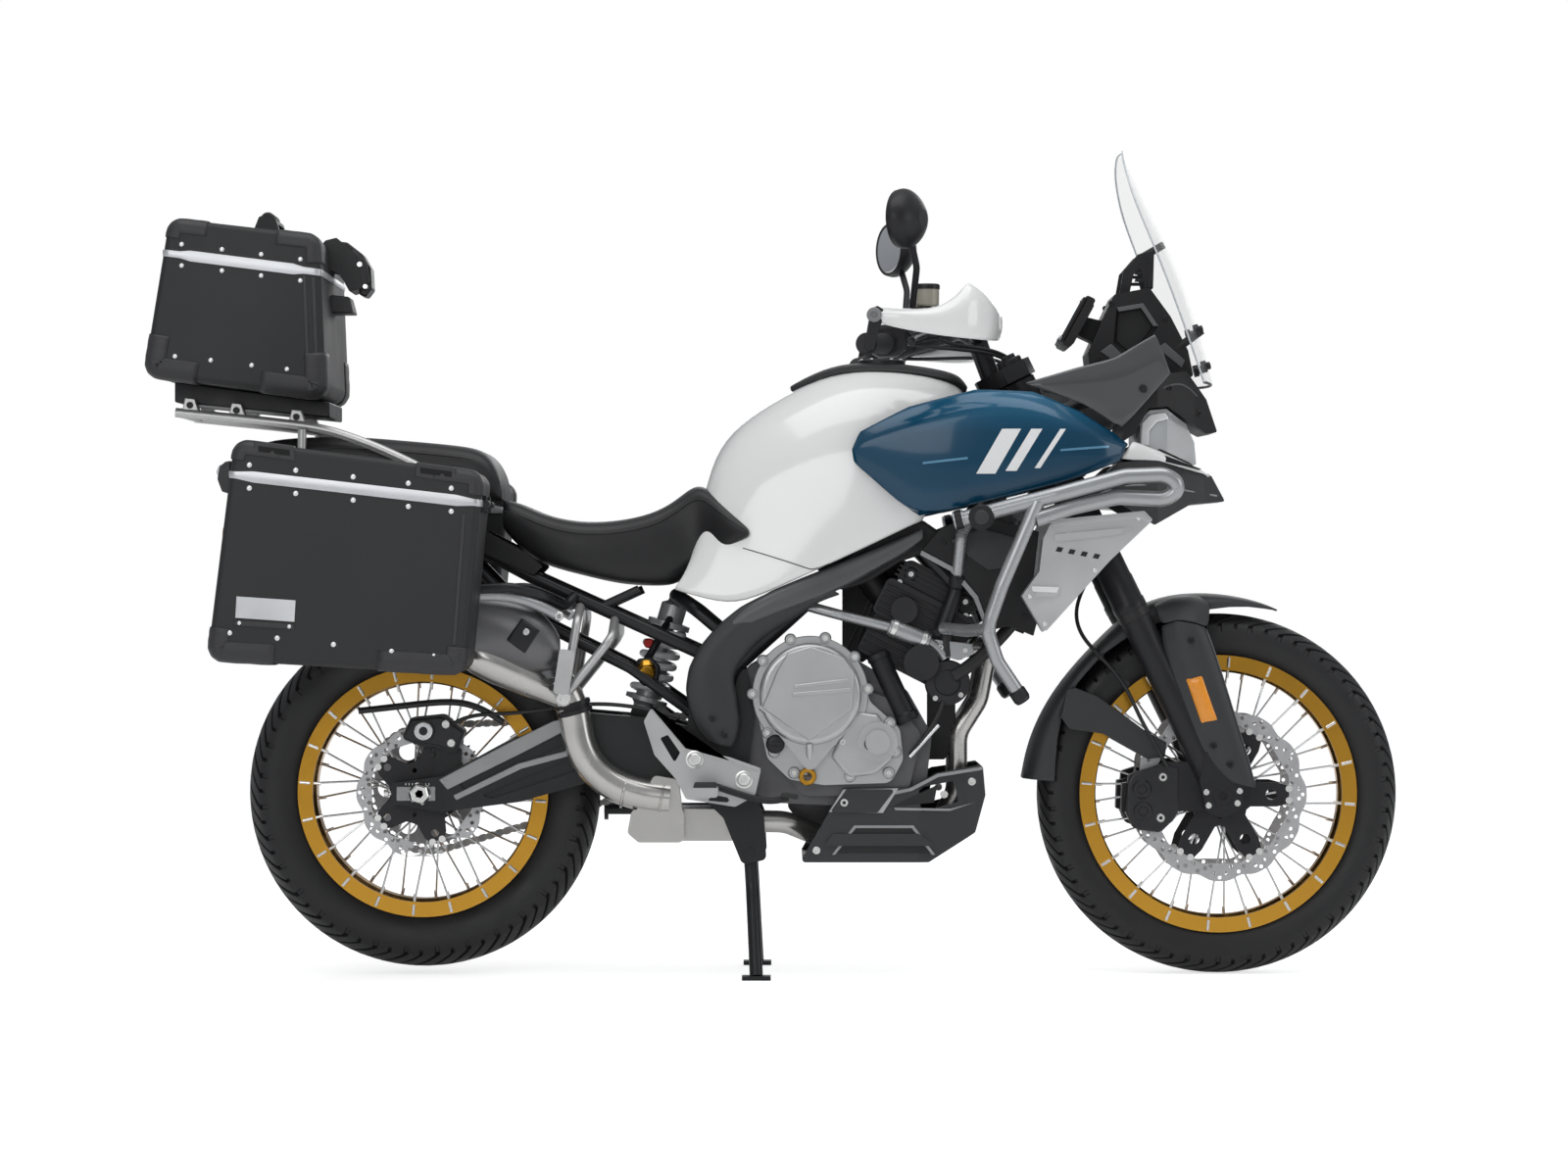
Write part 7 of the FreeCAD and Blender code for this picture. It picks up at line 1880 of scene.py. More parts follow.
for s, word in hands:
    prisms(
        "inner_panel_" + word, [side_block(inner_panel, s * 166, s * 171)], deep_black, "chassis", bevel=2
    )
    prisms(
        "air_box_side_" + word, [side_block(box_panel, s * 118, s * 150)], deep_black, "chassis", bevel=5
    )
    fold = [
        (905, 772), (962, 742), (1006, 690), (1028, 628), (1022, 626), (998, 686), (956, 735), (902, 764),
    ]
    prisms("inner_panel_fold_" + word, [side_block(fold, s * 168, s * 174)], edge_pale, "chassis", bevel=1)
    duct = [(956, 790), (1010, 812), (1076, 794), (1068, 742), (1024, 736), (984, 764)]
    prisms("inner_panel_step_" + word, [side_block(duct, s * 169, s * 177)], charcoal, "chassis", bevel=3)
    bolts(
        "inner_panel_screws_" + word,
        [(x, s * 170.5, z) for x, z in ((944, 786), (1090, 652), (1096, 796))], (0, s, 0), 5, 3.4,
        satin_black, "chassis"
    )


# Rear suspension: a coil-over shock with a pale spring between two collars, a preload knob in gold
# with its hose, and the arm's raised panels, axle nuts and chain adjusters.
shock_low, shock_high = Vector((396, 0, 468)), Vector((462, 0, 690))
shock_way = (shock_high - shock_low).normalized()
shock_long = (shock_high - shock_low).length
spring_white = finish("spring_white", (0.92, 0.93, 0.94), 0.3, grain=0.05, mottle=0.04, coat=0.5)
one = shock_way.orthogonal().normalized()
other = shock_way.cross(one)
coil = []
for i in range(6 * 14 + 1):
    a = math.tau * i / 14
    spot = shock_low + shock_way * (44 + (shock_long - 108) * i / 84) + (
        one * math.cos(a) + other * math.sin(a)
    ) * 32
    coil.append(tuple(spot))
pipe("shock_spring", [coil], 6.3, spring_white, "chassis", sides=5, hides=("shock_absorber",))
sleeve("shock_body", tuple(shock_low), tuple(shock_high),
       [(4, 12), (8, 20), (22, 21), (28, 26), (30, 39), (38, 39), (40, 22), (104, 22), (108, 25), (112, 25),
        (114, 12), (shock_long - 62, 12), (shock_long - 60, 39), (shock_long - 50, 39),
        (shock_long - 48, 24), (shock_long - 18, 24), (shock_long - 12, 14), (shock_long - 4, 12)],
       shock_grey, "chassis", 48)
sleeve(
    "shock_lower_eye", (396, -18, 468), (396, 18, 468),
    [(0, 9), (0, 16), (2, 17), (34, 17), (36, 16), (36, 9)], satin_black, "chassis", 32,
)
sleeve(
    "shock_upper_eye", (462, -24, 690), (462, 24, 690),
    [(0, 9), (0, 13), (2, 14), (46, 14), (48, 13), (48, 9)], satin_black, "chassis", 32,
)
pipe(
    "preload_arm", [[(452, -6, 652), (446, -40, 646), (426, -80, 600), (404, -106, 566)]], 7, satin_black,
    "chassis", sides=5,
)
sleeve(
    "preload_knob", (408, -104, 562), (410, -138, 546),
    [(0, 16), (6, 17)] + [
        (8 + i * 2, 15.4 + (i % 2) * 1.4) for i in range(9)
    ] + [(27, 15), (29, 13), (29, 5)],
    gold, "chassis", 36
)
knob_block = [(392, 576), (418, 580), (434, 562), (430, 532), (404, 526), (386, 546)]
prisms("preload_block", [side_block(knob_block, -96, -116)], satin_black, "chassis", bevel=4)
sleeve(
    "rebound_dial", (414, -62, 604), (410, -78, 604), [(0, 8), (2, 9), (12, 9), (14, 7), (14, 3)],
    finish("dial_red", (0.5, 0.02, 0.015), 0.3, metal=0.3, mottle=0.05), "chassis", 24,
)
arm_pale = finish("arm_pale", (0.34, 0.345, 0.35), 0.3, metal=0.5, grain=0.1, grain_mm=1.0, mottle=0.1)
for s, face, word in ((-1, 127, "right"), (1, 145, "left")):
    upper = [(34, 358), (150, 420), (240, 464), (288, 474), (262, 446), (180, 404), (50, 340)]
    prisms(
        "arm_panel_" + word, [side_block(upper, s * (face - 1), s * (face + 2.4))], arm_pale, "chassis",
        bevel=1.4,
    )
    rib = [(60, 330), (178, 388), (292, 418), (296, 408), (184, 378), (66, 321)]
    prisms(
        "arm_rib_" + word, [side_block(rib, s * (face - 1), s * (face + 3.4))], arm_pale, "chassis",
        bevel=1.6,
    )
    sleeve(
        "axle_nut_" + word, (0, s * (face + 1), 333), (0, s * (face + 15), 333),
        [(0, 21), (3, 21), (4, 18), (12, 18), (14, 15), (14, 8), (11, 7)], nipple_steel, "chassis",
        6 if s < 0 else 30,
    )
    block = [(-42, 346), (-42, 320), (28, 320), (28, 346)]
    prisms(
        "axle_block_" + word, [side_block(block, s * (face - 2), s * (face + 3))], arm_pale, "chassis",
        bevel=1.4,
    )
    sleeve(
        "adjuster_" + word, (-66, s * (face - 14), 333), (-38, s * (face - 14), 333),
        [(0, 6), (1, 7), (8, 7), (9, 4), (28, 4)], nipple_steel, "chassis", 6,
    )
    sleeve(
        "pivot_cap_" + word, (520, s * 132, 405), (520, s * 137, 405),
        [(0, 17), (3, 17), (5, 15), (5, 9), (3, 8)], nipple_steel, "chassis", 30,
    )
    notch_marks = [
        side_block([(x, 348), (x, 352), (x + 1.2, 352), (x + 1.2, 348)], s * (face - 0.4), s * (face + 1.0))
        for x in range(-26, 22, 6)
    ]
    prisms("axle_marks_" + word, notch_marks, nipple_steel, "chassis", bevel=0)

# Rear brake: a black sliding caliper with a bright piston cap, its pins and hose, and a guard
# bent from round bar over the disc.
caliper_face = [(-30, 434), (-16, 467), (38, 472), (78, 444), (62, 408), (30, 420), (-2, 424)]
prisms("rear_caliper_face", [side_block(caliper_face, -110, -116)], caliper_black, "chassis", bevel=3)
sleeve(
    "rear_piston_cap", (6, -116, 446), (6, -126, 446), [(0, 18), (7, 18), (9, 15), (9, 8), (7, 7)],
    spoke_steel, "chassis", 36,
)
for i, (x, z) in enumerate(((46, 458), (56, 424))):
    sleeve(
        "rear_caliper_pin_%d" % i, (x, -112, z), (x, -122, z),
        [(0, 8), (6, 8), (8, 6.5), (8, 3.5), (5, 3.5)], nipple_steel, "chassis", 24,
    )
pipe(
    "rear_brake_hose",
    [
        [
            (58, -118, 458), (90, -122, 478), (150, -128, 474), (240, -128, 488), (330, -126, 500),
            (420, -132, 486), (470, -140, 470),
        ]
    ],
    3.8, hose_black, "chassis",
)
pipe(
    "disc_guard",
    [[(-112, -112, 482), (-20, -112, 492), (60, -114, 505), (110, -118, 490), (150, -122, 462)]], 6,
    caliper_black, "chassis", sides=4,
)

# Drive chain: steel link plates on both sides of a row of rollers, spaced evenly round both
# sprockets. The chain is fixed and doesn't run with the wheel.
chain_pitch, chain_y = 15.875, 97
pitch_big = chain_pitch / (2 * math.sin(math.pi / 46))
pitch_small = chain_pitch / (2 * math.sin(math.pi / 16))
front_sprocket_at, rear_sprocket_at = Vector((602, 0, 432)), Vector((0, 0, 333))
span = front_sprocket_at - rear_sprocket_at
slope, spread = math.atan2(span.z, span.x), math.acos((pitch_big - pitch_small) / span.length)
straight = math.sqrt(span.length ** 2 - (pitch_big - pitch_small) ** 2)
loop = 2 * straight + (math.tau - 2 * spread) * pitch_big + 2 * spread * pitch_small


def on_chain(distance):
    """An (x, z) place on the chain's pitch line."""
    d = distance % loop
    for start, radius, angle, turning, length in (
        (rear_sprocket_at, pitch_big, slope + spread, False, straight),
        (front_sprocket_at, pitch_small, slope + spread, True, 2 * spread * pitch_small),
        (front_sprocket_at, pitch_small, slope - spread, False, straight),
        (rear_sprocket_at, pitch_big, slope - spread, True, loop),
    ):
        if d < length:
            a = angle - d / radius if turning else angle
            x, z = start.x + radius * math.cos(a), start.z + radius * math.sin(a)
            return (x, z) if turning else (x + d * math.sin(angle), z - d * math.cos(angle))
        d -= length


link_count = int(loop / chain_pitch)
links, pins = [], []
for i in range(link_count):
    (ax, az), (bx, bz) = on_chain(loop * i / link_count), on_chain(loop * (i + 1) / link_count)
    along = Vector((bx - ax, 0, bz - az)).normalized()
    rise = Vector((-along.z, 0, along.x))
    a, b = Vector((ax, 0, az)), Vector((bx, 0, bz))
    shape = [
        a - along * 6 + rise * 3, a - along * 3 + rise * 6.6, a + along * 4 + rise * 6.2,
        (a + b) / 2 + rise * 4.6, b - along * 4 + rise * 6.2, b + along * 3 + rise * 6.6,
        b + along * 6 + rise * 3,
    ]
    shape += [
        b + along * 6 - rise * 3, b + along * 3 - rise * 6.6, b - along * 4 - rise * 6.2,
        (a + b) / 2 - rise * 4.6, a + along * 4 - rise * 6.2, a - along * 3 - rise * 6.6,
        a - along * 6 - rise * 3,
    ]
    for side_y, thick_y in (
        (chain_y - 10.6, 1.9), (chain_y + 8.7, 1.9)
    ) if i % 2 else ((chain_y - 8.4, 1.9), (chain_y + 6.5, 1.9)):
        links.append(([(p.x, side_y, p.z) for p in shape], (0, thick_y, 0)))
    pins.append(((ax, chain_y - 11.2, az), (ax, chain_y + 11.2, az)))
chain_steel = finish(
    "chain_steel", (0.33, 0.32, 0.3), 0.34, metal=0.85, grain=0.2, mottle=0.15, mottle_mm=12
)
prisms("chain_links", links, chain_steel, "chassis", bevel=0, hides=("drive_chain",), sharp=50)
piece("chain_rollers", mesh_of("chain_rollers", *rods(pins, 4.6, 10)), sprocket_steel, "chassis")

# Footrests: cast hangers on shouldered bolts, rubber-topped pegs and toothed pillion pegs, with a
# brake pedal on the right and a gear pedal and its link on the left.
for s, word in hands:
    for i, (x, z) in enumerate(((498, 398), (586, 362))):
        sleeve(
            "hanger_bolt_%s_%d" % (word, i), (x, s * 208, z), (x, s * 221, z),
            [(0, 16), (5, 16), (6, 11), (12, 11), (13, 9.5), (13, 5.4), (8, 5)], nipple_steel, "chassis",
            30,
        )
    # The hanger's slot is a thin near-black patch: painted shade in the opening.
    slot_shape = [(520, 330), (522, 336), (556, 330), (560, 325), (556, 321), (524, 324)]
    prisms(
        "hanger_slot_" + word, [side_block(slot_shape, s * 209.6, s * 211)], recess_shade_black, "chassis",
        bevel=0.4,
    )
    edge = [
        (421, 492), (428, 486), (480, 434), (486, 412), (560, 396), (610, 378), (617, 382), (560, 402),
        (482, 418), (477, 440),
    ]
    prisms("hanger_rim_" + word, [side_block(edge, s * 208, s * 213)], hanger_silver, "chassis", bevel=1.4)
    blocks = [
        side_block([(497, 351), (539, 351), (537, 359), (499, 359)], s * y, s * (y + 8))
        for y in range(246, 304, 11)
    ]
    prisms("peg_rubbers_" + word, blocks, grip_rubber, "chassis", bevel=1.6)
    pipe(
        "peg_spring_" + word,
        [
            [
                (506, s * 218, 350), (530, s * 222, 350), (532, s * 230, 328), (506, s * 226, 326),
                (508, s * 236, 348),
            ]
        ],
        1.6, nipple_steel, "chassis",
    )
    teeth_blocks = [
        side_block(
            [
                (240 + 3.4 * i, 522 + i * 14), (236 + 3.4 * i, 530 + i * 14), (250 + 3.4 * i, 530 + i * 14),
                (250 + 3.4 * i, 522 + i * 14),
            ],
            s * 226, s * 238,
        )
        for i in range(5)
    ]
    prisms("pillion_peg_teeth_" + word, teeth_blocks, satin_black, "chassis", bevel=1)
    sleeve(
        "pillion_pivot_" + word, (264, s * 230, 508), (264, s * 240, 508),
        [(0, 13), (6, 13), (8, 11), (8, 5.5), (5, 5)], nipple_steel, "chassis", 28,
    )
pedal = [(530, -218, 352), (566, -222, 340), (606, -222, 326), (640, -224, 322), (664, -230, 330)]
pipe("brake_pedal", [pedal], 6, satin_black, "chassis", sides=4)
prisms(
    "brake_pedal_pad", [side_block([(650, 332), (656, 340), (684, 336), (682, 328)], -222, -252)],
    grip_rubber, "chassis", bevel=2,
)
shifter = [(530, 218, 352), (566, 222, 346), (610, 222, 348), (652, 224, 352)]
pipe("gear_pedal", [shifter], 5.5, satin_black, "chassis", sides=4)
sleeve(
    "gear_pedal_pad", (652, 218, 352), (652, 252, 352),
    [(0, 7), (2, 8.5)] + [(4 + i * 3, 8.2 + (i % 2) * 1.2) for i in range(9)] + [(32, 8), (34, 6)],
    grip_rubber, "chassis", 24
)
pipe("gear_link", [[(648, 218, 358), (640, 200, 400), (634, 184, 428)]], 4, spoke_steel, "chassis")

# Exhaust: collars at the headers, a bent link pipe with weld beads and a dark clamp, a cone, two
# bands, a shield with its screw on the silencer's nose, and a rolled tip.
for s, word in hands:
    x, z = up_engine(215, 98)
    for i in range(2):
        sx, sz = up_engine(222 - 5 * i, 88 + 8 * i)
        ex, ez = up_engine(221 - 5 * i, 94 + 8 * i)
        sleeve(
            "header_collar_%s_%d" % (word, i), (sx, s * 50, sz), (ex, s * 50, ez),
            [(0, 27), (1, 30), (5, 30), (6, 27)], pipe_steel, "chassis", 40,
        )
pipe(
    "link_pipe_skin",
    [
        [
            (452, -153, 326), (400, -154, 330), (352, -157, 346), (306, -159, 384), (287, -160, 430),
            (283, -160, 470), (272, -163, 506), (250, -171, 543),
        ]
    ],
    29, pipe_steel, "chassis", sides=8,
)
sleeve(
    "muffler_cone", (92, -194, 592), (262, -168, 512),
    [(0, 28), (20, 34), (60, 36), (130, 31), (178, 27), (188, 25)], pipe_steel, "chassis", 48,
)
sleeve(
    "link_clamp", (282, -160.5, 478), (276, -162, 500),
    [(0, 30), (1, 33), (9, 33), (10, 31), (14, 31), (15, 33), (22, 33), (23, 30)], satin_black, "chassis",
    48,
)
muffler_skin = surface_of(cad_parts["muffler"])
facet_rows = []
for u in range(5):
    facet_rows.append([])
    for v in range(5):
        a, b, c, d = (163, 612), (196, 588), (222, 628), (190, 650)
        x = (a[0] * (4 - u) + b[0] * u) * (4 - v) / 16 + (d[0] * (4 - u) + c[0] * u) * v / 16
        z = (a[1] * (4 - u) + b[1] * u) * (4 - v) / 16 + (d[1] * (4 - u) + c[1] * u) * v / 16
        facet_rows[-1].append((x, -300, z))
facet_rows = [laid(muffler_skin, row, 2.6) for row in facet_rows]
skin("muffler_shield", facet_rows, satin_black, "chassis", thick=2.4, levels=1, rim_crease=0.7)
(shield_x, shield_y, shield_z), = laid(muffler_skin, [(198, -300, 626)], 3)
bolts(
    "muffler_shield_screw", [(shield_x, shield_y, shield_z)], (0.2, -1, 0), 6, 4.4, nipple_steel, "chassis"
)
for x, z, wide, tall in ((96, 640, 45, 65), (-236, 702, 45, 65)):
    band_rows = []
    for d, out in ((-5, 0), (-4, 1.6), (4, 1.6), (5, 0)):
        band_rows.append(
            [(x + d, -196 + (wide - 0.6 + out) * math.cos(math.tau * i / 48),
              z - d * 0.187 + (tall - 0.6 + out) * math.sin(math.tau * i / 48))
            for i in range(48)]
        )
    skin("muffler_band_%d" % x, band_rows, muffler_grey, "chassis", levels=0, ring=True, sharp=30)
sleeve(
    "muffler_tip", (-252, -196, 711), (-288, -196, 719),
    [(0, 26), (2, 27), (10, 24), (14, 21), (30, 21), (35, 22.5), (37, 21.5), (37, 17), (8, 16)], pipe_steel,
    "chassis", 40,
)
for i, (x, y, z, r) in enumerate(((440, -153, 326, 31), (372, -156, 338, 30.6))):
    sleeve(
        "link_weld_%d" % i, (x, y, z), (x - 5, y, z + 1), [(0, r - 2), (1.4, r), (3.6, r), (5, r - 2)],
        pipe_steel, "chassis", 40,
    )

# Racks beside the rear frame: pale tube arms welded to the pillion hanger, with locks and rubber
# feet that hold the cases.
for s, word in hands:
    pipe(
        "rack_arm_" + word,
        [
            [
                (96, s * 250, 690), (150, s * 246, 694), (196, s * 236, 684), (232, s * 224, 668),
                (258, s * 212, 652),
            ]
        ],
        10, rack_silver, "chassis", sides=4,
    )
    bolts(
        "rack_arm_screw_" + word, [(256, s * 220, 654)], (0, s, 0), 9, 6, nipple_steel, "chassis", sides=6
    )
    for i, (x, z) in enumerate(((-268, 860), (60, 838), (-262, 690), (62, 660))):
        sleeve(
            "case_foot_%s_%d" % (word, i), (x, s * 252, z), (x, s * 264.6, z),
            [(0, 14), (2, 16), (10, 16), (12.5, 14)], rubber, "chassis", 28,
        )
    lock = [(-120, 830), (-120, 862), (-72, 858), (-72, 828)]
    prisms("case_lock_" + word, [side_block(lock, s * 247, s * 264.6)], satin_black, "chassis", bevel=2.5)

# Tail: a red lamp across the rear, amber indicators on short black stems, and a blank plate
# screwed to its carrier.
red_lens = finish(
    "red_lens", (0.55, 0.012, 0.01), 0.12, grain=0.3, grain_mm=3.0, mottle=0.08, mottle_mm=8, coat=1.0
)
amber_lens_finish = finish(
    "amber_lens", (0.85, 0.28, 0.01), 0.14, grain=0.3, grain_mm=3.0, mottle=0.08, mottle_mm=8, coat=1.0
)
lens_rows = []
for z, out in ((833, 0), (836, 3), (846, 5), (856, 3), (859, 0)):
    lens_rows.append([(-352.4 - out + y ** 2 / 520, y, z) for y in (-60, -50, -30, 0, 30, 50, 60)])
tail_lens = skin("tail_lamp_lens", lens_rows, red_lens, "chassis", thick=3, rim_crease=0.8)
for s, word in hands:
    for end, way in (("rear", -1), ("front", 1)):
        x = -350 if way < 0 else -306
        sleeve(
            "indicator_lens_%s_%s" % (end, word), (x - way * 12, s * 150, 800), (x + way * 3, s * 150, 800),
            [(0, 18.4), (9, 18.4), (12, 17), (14, 13), (15, 6)], amber_lens_finish, "chassis", 32,
        )
    pipe(
        "indicator_stem_" + word,
        [[(-326, s * 58, 802), (-330, s * 80, 802), (-330, s * 110, 800), (-329, s * 136, 800)]], 7.5,
        satin_black, "chassis", sides=4,
    )
plate_white = finish("plate_white", (0.78, 0.78, 0.74), 0.35, grain=0.02, mottle=0.03)


def tilt(z, off):
    """Where the leaning number plate is at a height, a distance off its carrier."""
    return -362 - (760 - z) * 0.1 - off


blank = [[(tilt(z, 2.2), y, z) for y in (-94, -90, 90, 94)] for z in (754, 750, 650, 646)]
skin("number_plate", blank, plate_white, "chassis", levels=0, thick=1.6)
rim_path = [
    (tilt(z, 2), y, z)
    for y, z in ((-96, 756), (0, 757), (96, 756), (97, 700), (96, 644), (0, 643), (-96, 644), (-97, 700))
]
pipe("number_plate_rim", [rim_path], 2, satin_black, "chassis", closed=True)
bolts(
    "number_plate_screws", [(tilt(748, 3.4), y, 748) for y in (-60, 60)], (-1, 0, 0.1), 4.4, 3,
    nipple_steel, "chassis"
)

# Stands: shouldered steel caps over the pins that the centre stand turns on, one at each side of
# the frame.
for s, word in hands:
    sleeve(
        "centre_stand_pivot_" + word, (596, s * 106, 228), (596, s * 118, 228),
        [(0, 15), (3, 17), (9, 17), (12, 14), (12, 7)], nipple_steel, "centre_stand", 28,
    )


# Headlamp: a clear lens over two bright bowls with a bulb in each, and pale moulded sides that
# carry on the lamp's line.
lens_clear = finish("lens_clear", (0.94, 0.96, 0.98), 0.04, grain=0.0, mottle=0.01, vary=0.01)
lens_clear.node_tree.nodes["Principled BSDF"].inputs["Transmission Weight"].default_value = 0.92
lens_clear.node_tree.nodes["Principled BSDF"].inputs["IOR"].default_value = 1.15
reflector = finish("reflector", (0.93, 0.94, 0.95), 0.2, metal=0.3, grain=0.0, mottle=0.03, coat=0.5)
lens_rows = []
for z, x_mid, half, back in (
    (950, 1404, 84, 52), (966, 1406, 90, 56), (986, 1398, 94, 60), (1004, 1386, 96, 62),
    (1018, 1366, 92, 50),
):
    lens_rows.append(
        [(x_mid - back * (abs(y) / half) ** 1.7, y, z) for y in [half * k / 5 for k in range(-5, 6)]]
    )
headlamp_lens = skin("headlamp_lens", lens_rows, lens_clear, "chassis", thick=2.5, rim_crease=0.5)
for s, word in hands:
    sleeve(
        "headlamp_bowl_" + word, (1340, s * 48, 984), (1392, s * 46, 984),
        [(0, 4), (4, 18), (14, 27), (30, 32), (34, 32), (30, 30), (16, 24), (8, 12), (6, 2)], reflector,
        "chassis", 40,
    )
    sleeve(
        "headlamp_bulb_" + word, (1350, s * 48, 984), (1376, s * 47, 984),
        [(0, 6), (14, 7), (20, 6), (24, 3)], lens_clear, "chassis", 24,
    )
    mark = [
        (1300, 962), (1302, 1002), (1318, 1018), (1346, 1022), (1352, 1010), (1330, 1004), (1316, 988),
        (1316, 960),
    ]
    prisms("lamp_side_" + word, [side_block(mark, s * 126, s * 139)], reflector, "chassis", bevel=2)

# Cowl and beak: black moulded panels with folded edges over the lamp; white fins below the lamp
# sit on a charcoal beak that ends in a blunt lip.
cowl_skin = surface_of(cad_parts["front_fairing"])
for s, word in hands:
    pipe(
        "cowl_fold_" + word,
        [
            laid(cowl_skin, [
                (x, s * 400, z - 9)
                for x, z in ((1286, 1046), (1318, 1064), (1350, 1080), (1382, 1086), (1404, 1060))
            ], 0.4)
        ],
        1.6, cover_pale, "chassis"
    )
    spots = laid(cowl_skin, [(x, s * 400, z) for x, z in ((1288, 1020), (1352, 1064), (1408, 1020))], 0)
    bolts("cowl_screws_" + word, spots, [(0.3, s, 0)] * 3, 5, 3.4, satin_black, "chassis")
fin_rows = []
for x, low, high, half in (
    (1264, 937, 938, 186), (1272, 935, 951, 184), (1284, 934, 968, 180), (1306, 934, 961, 173),
    (1332, 933, 951, 165), (1372, 922, 935, 140), (1416, 911, 918, 108), (1430, 907, 909, 98),
):
    fin_rows.append(
        [
            (x, half + 1.5, low), (x, half + 4, low + (high - low) * 0.35),
            (x, half + 3, low + (high - low) * 0.75), (x, half - 3, high),
        ]
    )
white_fins = skin(
    "nose_fin_shells", fin_rows, gloss_white, "chassis", hides=("nose_fins",), both=True, thick=5,
    rim_crease=0.6,
)
prisms(
    "nose_fin_core",
    [side_block([(1268, 936), (1284, 962), (1330, 948), (1410, 918), (1330, 934)], -160, 160)], deep_black,
    "chassis", bevel=1.5, hides=("nose_fins",),
)
beak_skin = surface_of(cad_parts["nose_beak"])
for s, word in hands:
    pipe(
        "beak_fold_" + word,
        [
            laid(beak_skin, [
                (x, s * 400, z)
                for x, z in ((1176, 846), (1230, 882), (1286, 892), (1340, 888), (1400, 878), (1444, 872))
            ], 0.4)
        ],
        1.8, edge_pale, "chassis"
    )
    spots = laid(beak_skin, [(x, s * 400, z) for x, z in ((1232, 900), (1320, 912))], 0)
    bolts("beak_screws_" + word, spots, [(0, s, 0)] * 2, 5, 3.4, satin_black, "chassis")

# Instrument tower: a black moulding with insets painted near-black as shade, and screws at each side.
# The display has a charcoal shell with a pale rim, a dark glass face and buttons below, turned to the rider.
inset_grey = finish("inset_grey", (0.1, 0.102, 0.105), 0.5, grain=0.4, grain_mm=0.9)
for s, word in hands:
    # The insets are near-black: painted shade in the recesses.
    inset = [(1266, 1206), (1306, 1213), (1328, 1180), (1292, 1130), (1262, 1154)]
    prisms("tower_inset_" + word, [side_block(inset, s * 58, s * 63)], recess_shade_black, "chassis", bevel=0.8)
    rim = [(1262, 1214), (1310, 1222), (1338, 1180), (1328, 1180), (1306, 1213), (1266, 1206)]
    prisms("tower_inset_rim_" + word, [side_block(rim, s * 76, s * 80)], inset_grey, "chassis", bevel=1)
    cheek = [
        (1232, 1134), (1252, 1148), (1290, 1110), (1350, 1150), (1386, 1118), (1380, 1104), (1348, 1130),
        (1290, 1092),
    ]
    prisms("tower_cheek_" + word, [side_block(cheek, s * 77, s * 80.5)], inset_grey, "chassis", bevel=1.2)
    bolts(
        "tower_screws_" + word,
        [(x, s * 78, z) for x, z in ((1232, 1120), (1252, 1222), (1350, 1194), (1380, 1096))], (0, s, 0), 5,
        3.4, satin_black, "chassis"
    )
face_glass = finish(
    "display_glass", (0.012, 0.014, 0.018), 0.05, grain=0.0, mottle=0.1, vary=0.01, coat=1.0
)
face_low, face_high = Vector((1163, 0, 1152)), Vector((1206, 0, 1231))
face_up = (face_high - face_low).normalized()
face_out = Vector((-face_up.z, 0, face_up.x))
face_frame, face_pane = [], []
for low, high, half, shapes in ((0.0, 1.0, 91, face_frame), (0.1, 0.9, 78, face_pane)):
    a, b = face_low + (face_high - face_low) * low, face_low + (face_high - face_low) * high
    shapes.append(
        (
            [(a.x, -half, a.z), (a.x, half, a.z), (b.x, half, b.z), (b.x, -half, b.z)],
            tuple(face_out * (5 if shapes is face_frame else 6.4)),
        )
    )
prisms("display_bezel", face_frame, satin_black, "chassis", bevel=2.2)
shell_low, shell_high = face_low + face_up * 3, face_high - face_up * 3
shell_back = [
    (a.x, y, a.z) for a, y in ((shell_low, -88), (shell_low, 88), (shell_high, 88), (shell_high, -88))
]
prisms("display_shell", [(shell_back, tuple(face_out * -20))], charcoal, "chassis", bevel=4)
prisms(
    "display_rim",
    [
        (
            [(a.x, y, a.z) for a, y in ((face_low, -92), (face_low, 92), (face_high, 92), (face_high, -92))],
            tuple(face_out * -4),
        )
    ],
    edge_pale, "chassis", bevel=1
)
pane = prisms("display_face", face_pane, face_glass, "chassis", bevel=0.8)
lit = finish("display_lit", (0.2, 0.6, 0.75), 0.3, grain=0.0, mottle=0.04)
lit.node_tree.nodes["Principled BSDF"].inputs["Emission Color"].default_value = (0.3, 0.75, 0.9, 1)
lit.node_tree.nodes["Principled BSDF"].inputs["Emission Strength"].default_value = 0.4
gauge = []
for i in range(14):
    a = math.radians(200 - i * 17)
    spot = face_low + (face_high - face_low) * 0.5 + face_up * 24 * math.sin(a) + face_out * 6.2
    y = 24 * math.cos(a)
    gauge.append(
        (
            [
                (spot.x, y - 1.6, spot.z), (spot.x, y + 1.6, spot.z),
                (spot.x + face_up.x * 5, y + 1.6, spot.z + face_up.z * 5),
                (spot.x + face_up.x * 5, y - 1.6, spot.z + face_up.z * 5),
            ],
            tuple(face_out * 0.6),
        )
    )
prisms("display_gauge", gauge, lit, "chassis", bevel=0)
buttons_at = [
    tuple(face_low + (face_high - face_low) * 0.05 + face_out * 4.6 + Vector((0, y, 0)))
    for y in (-20, 0, 20)
]
bolts("display_buttons", buttons_at, tuple(face_out), 4, 2, rubber, "chassis", dome=True)

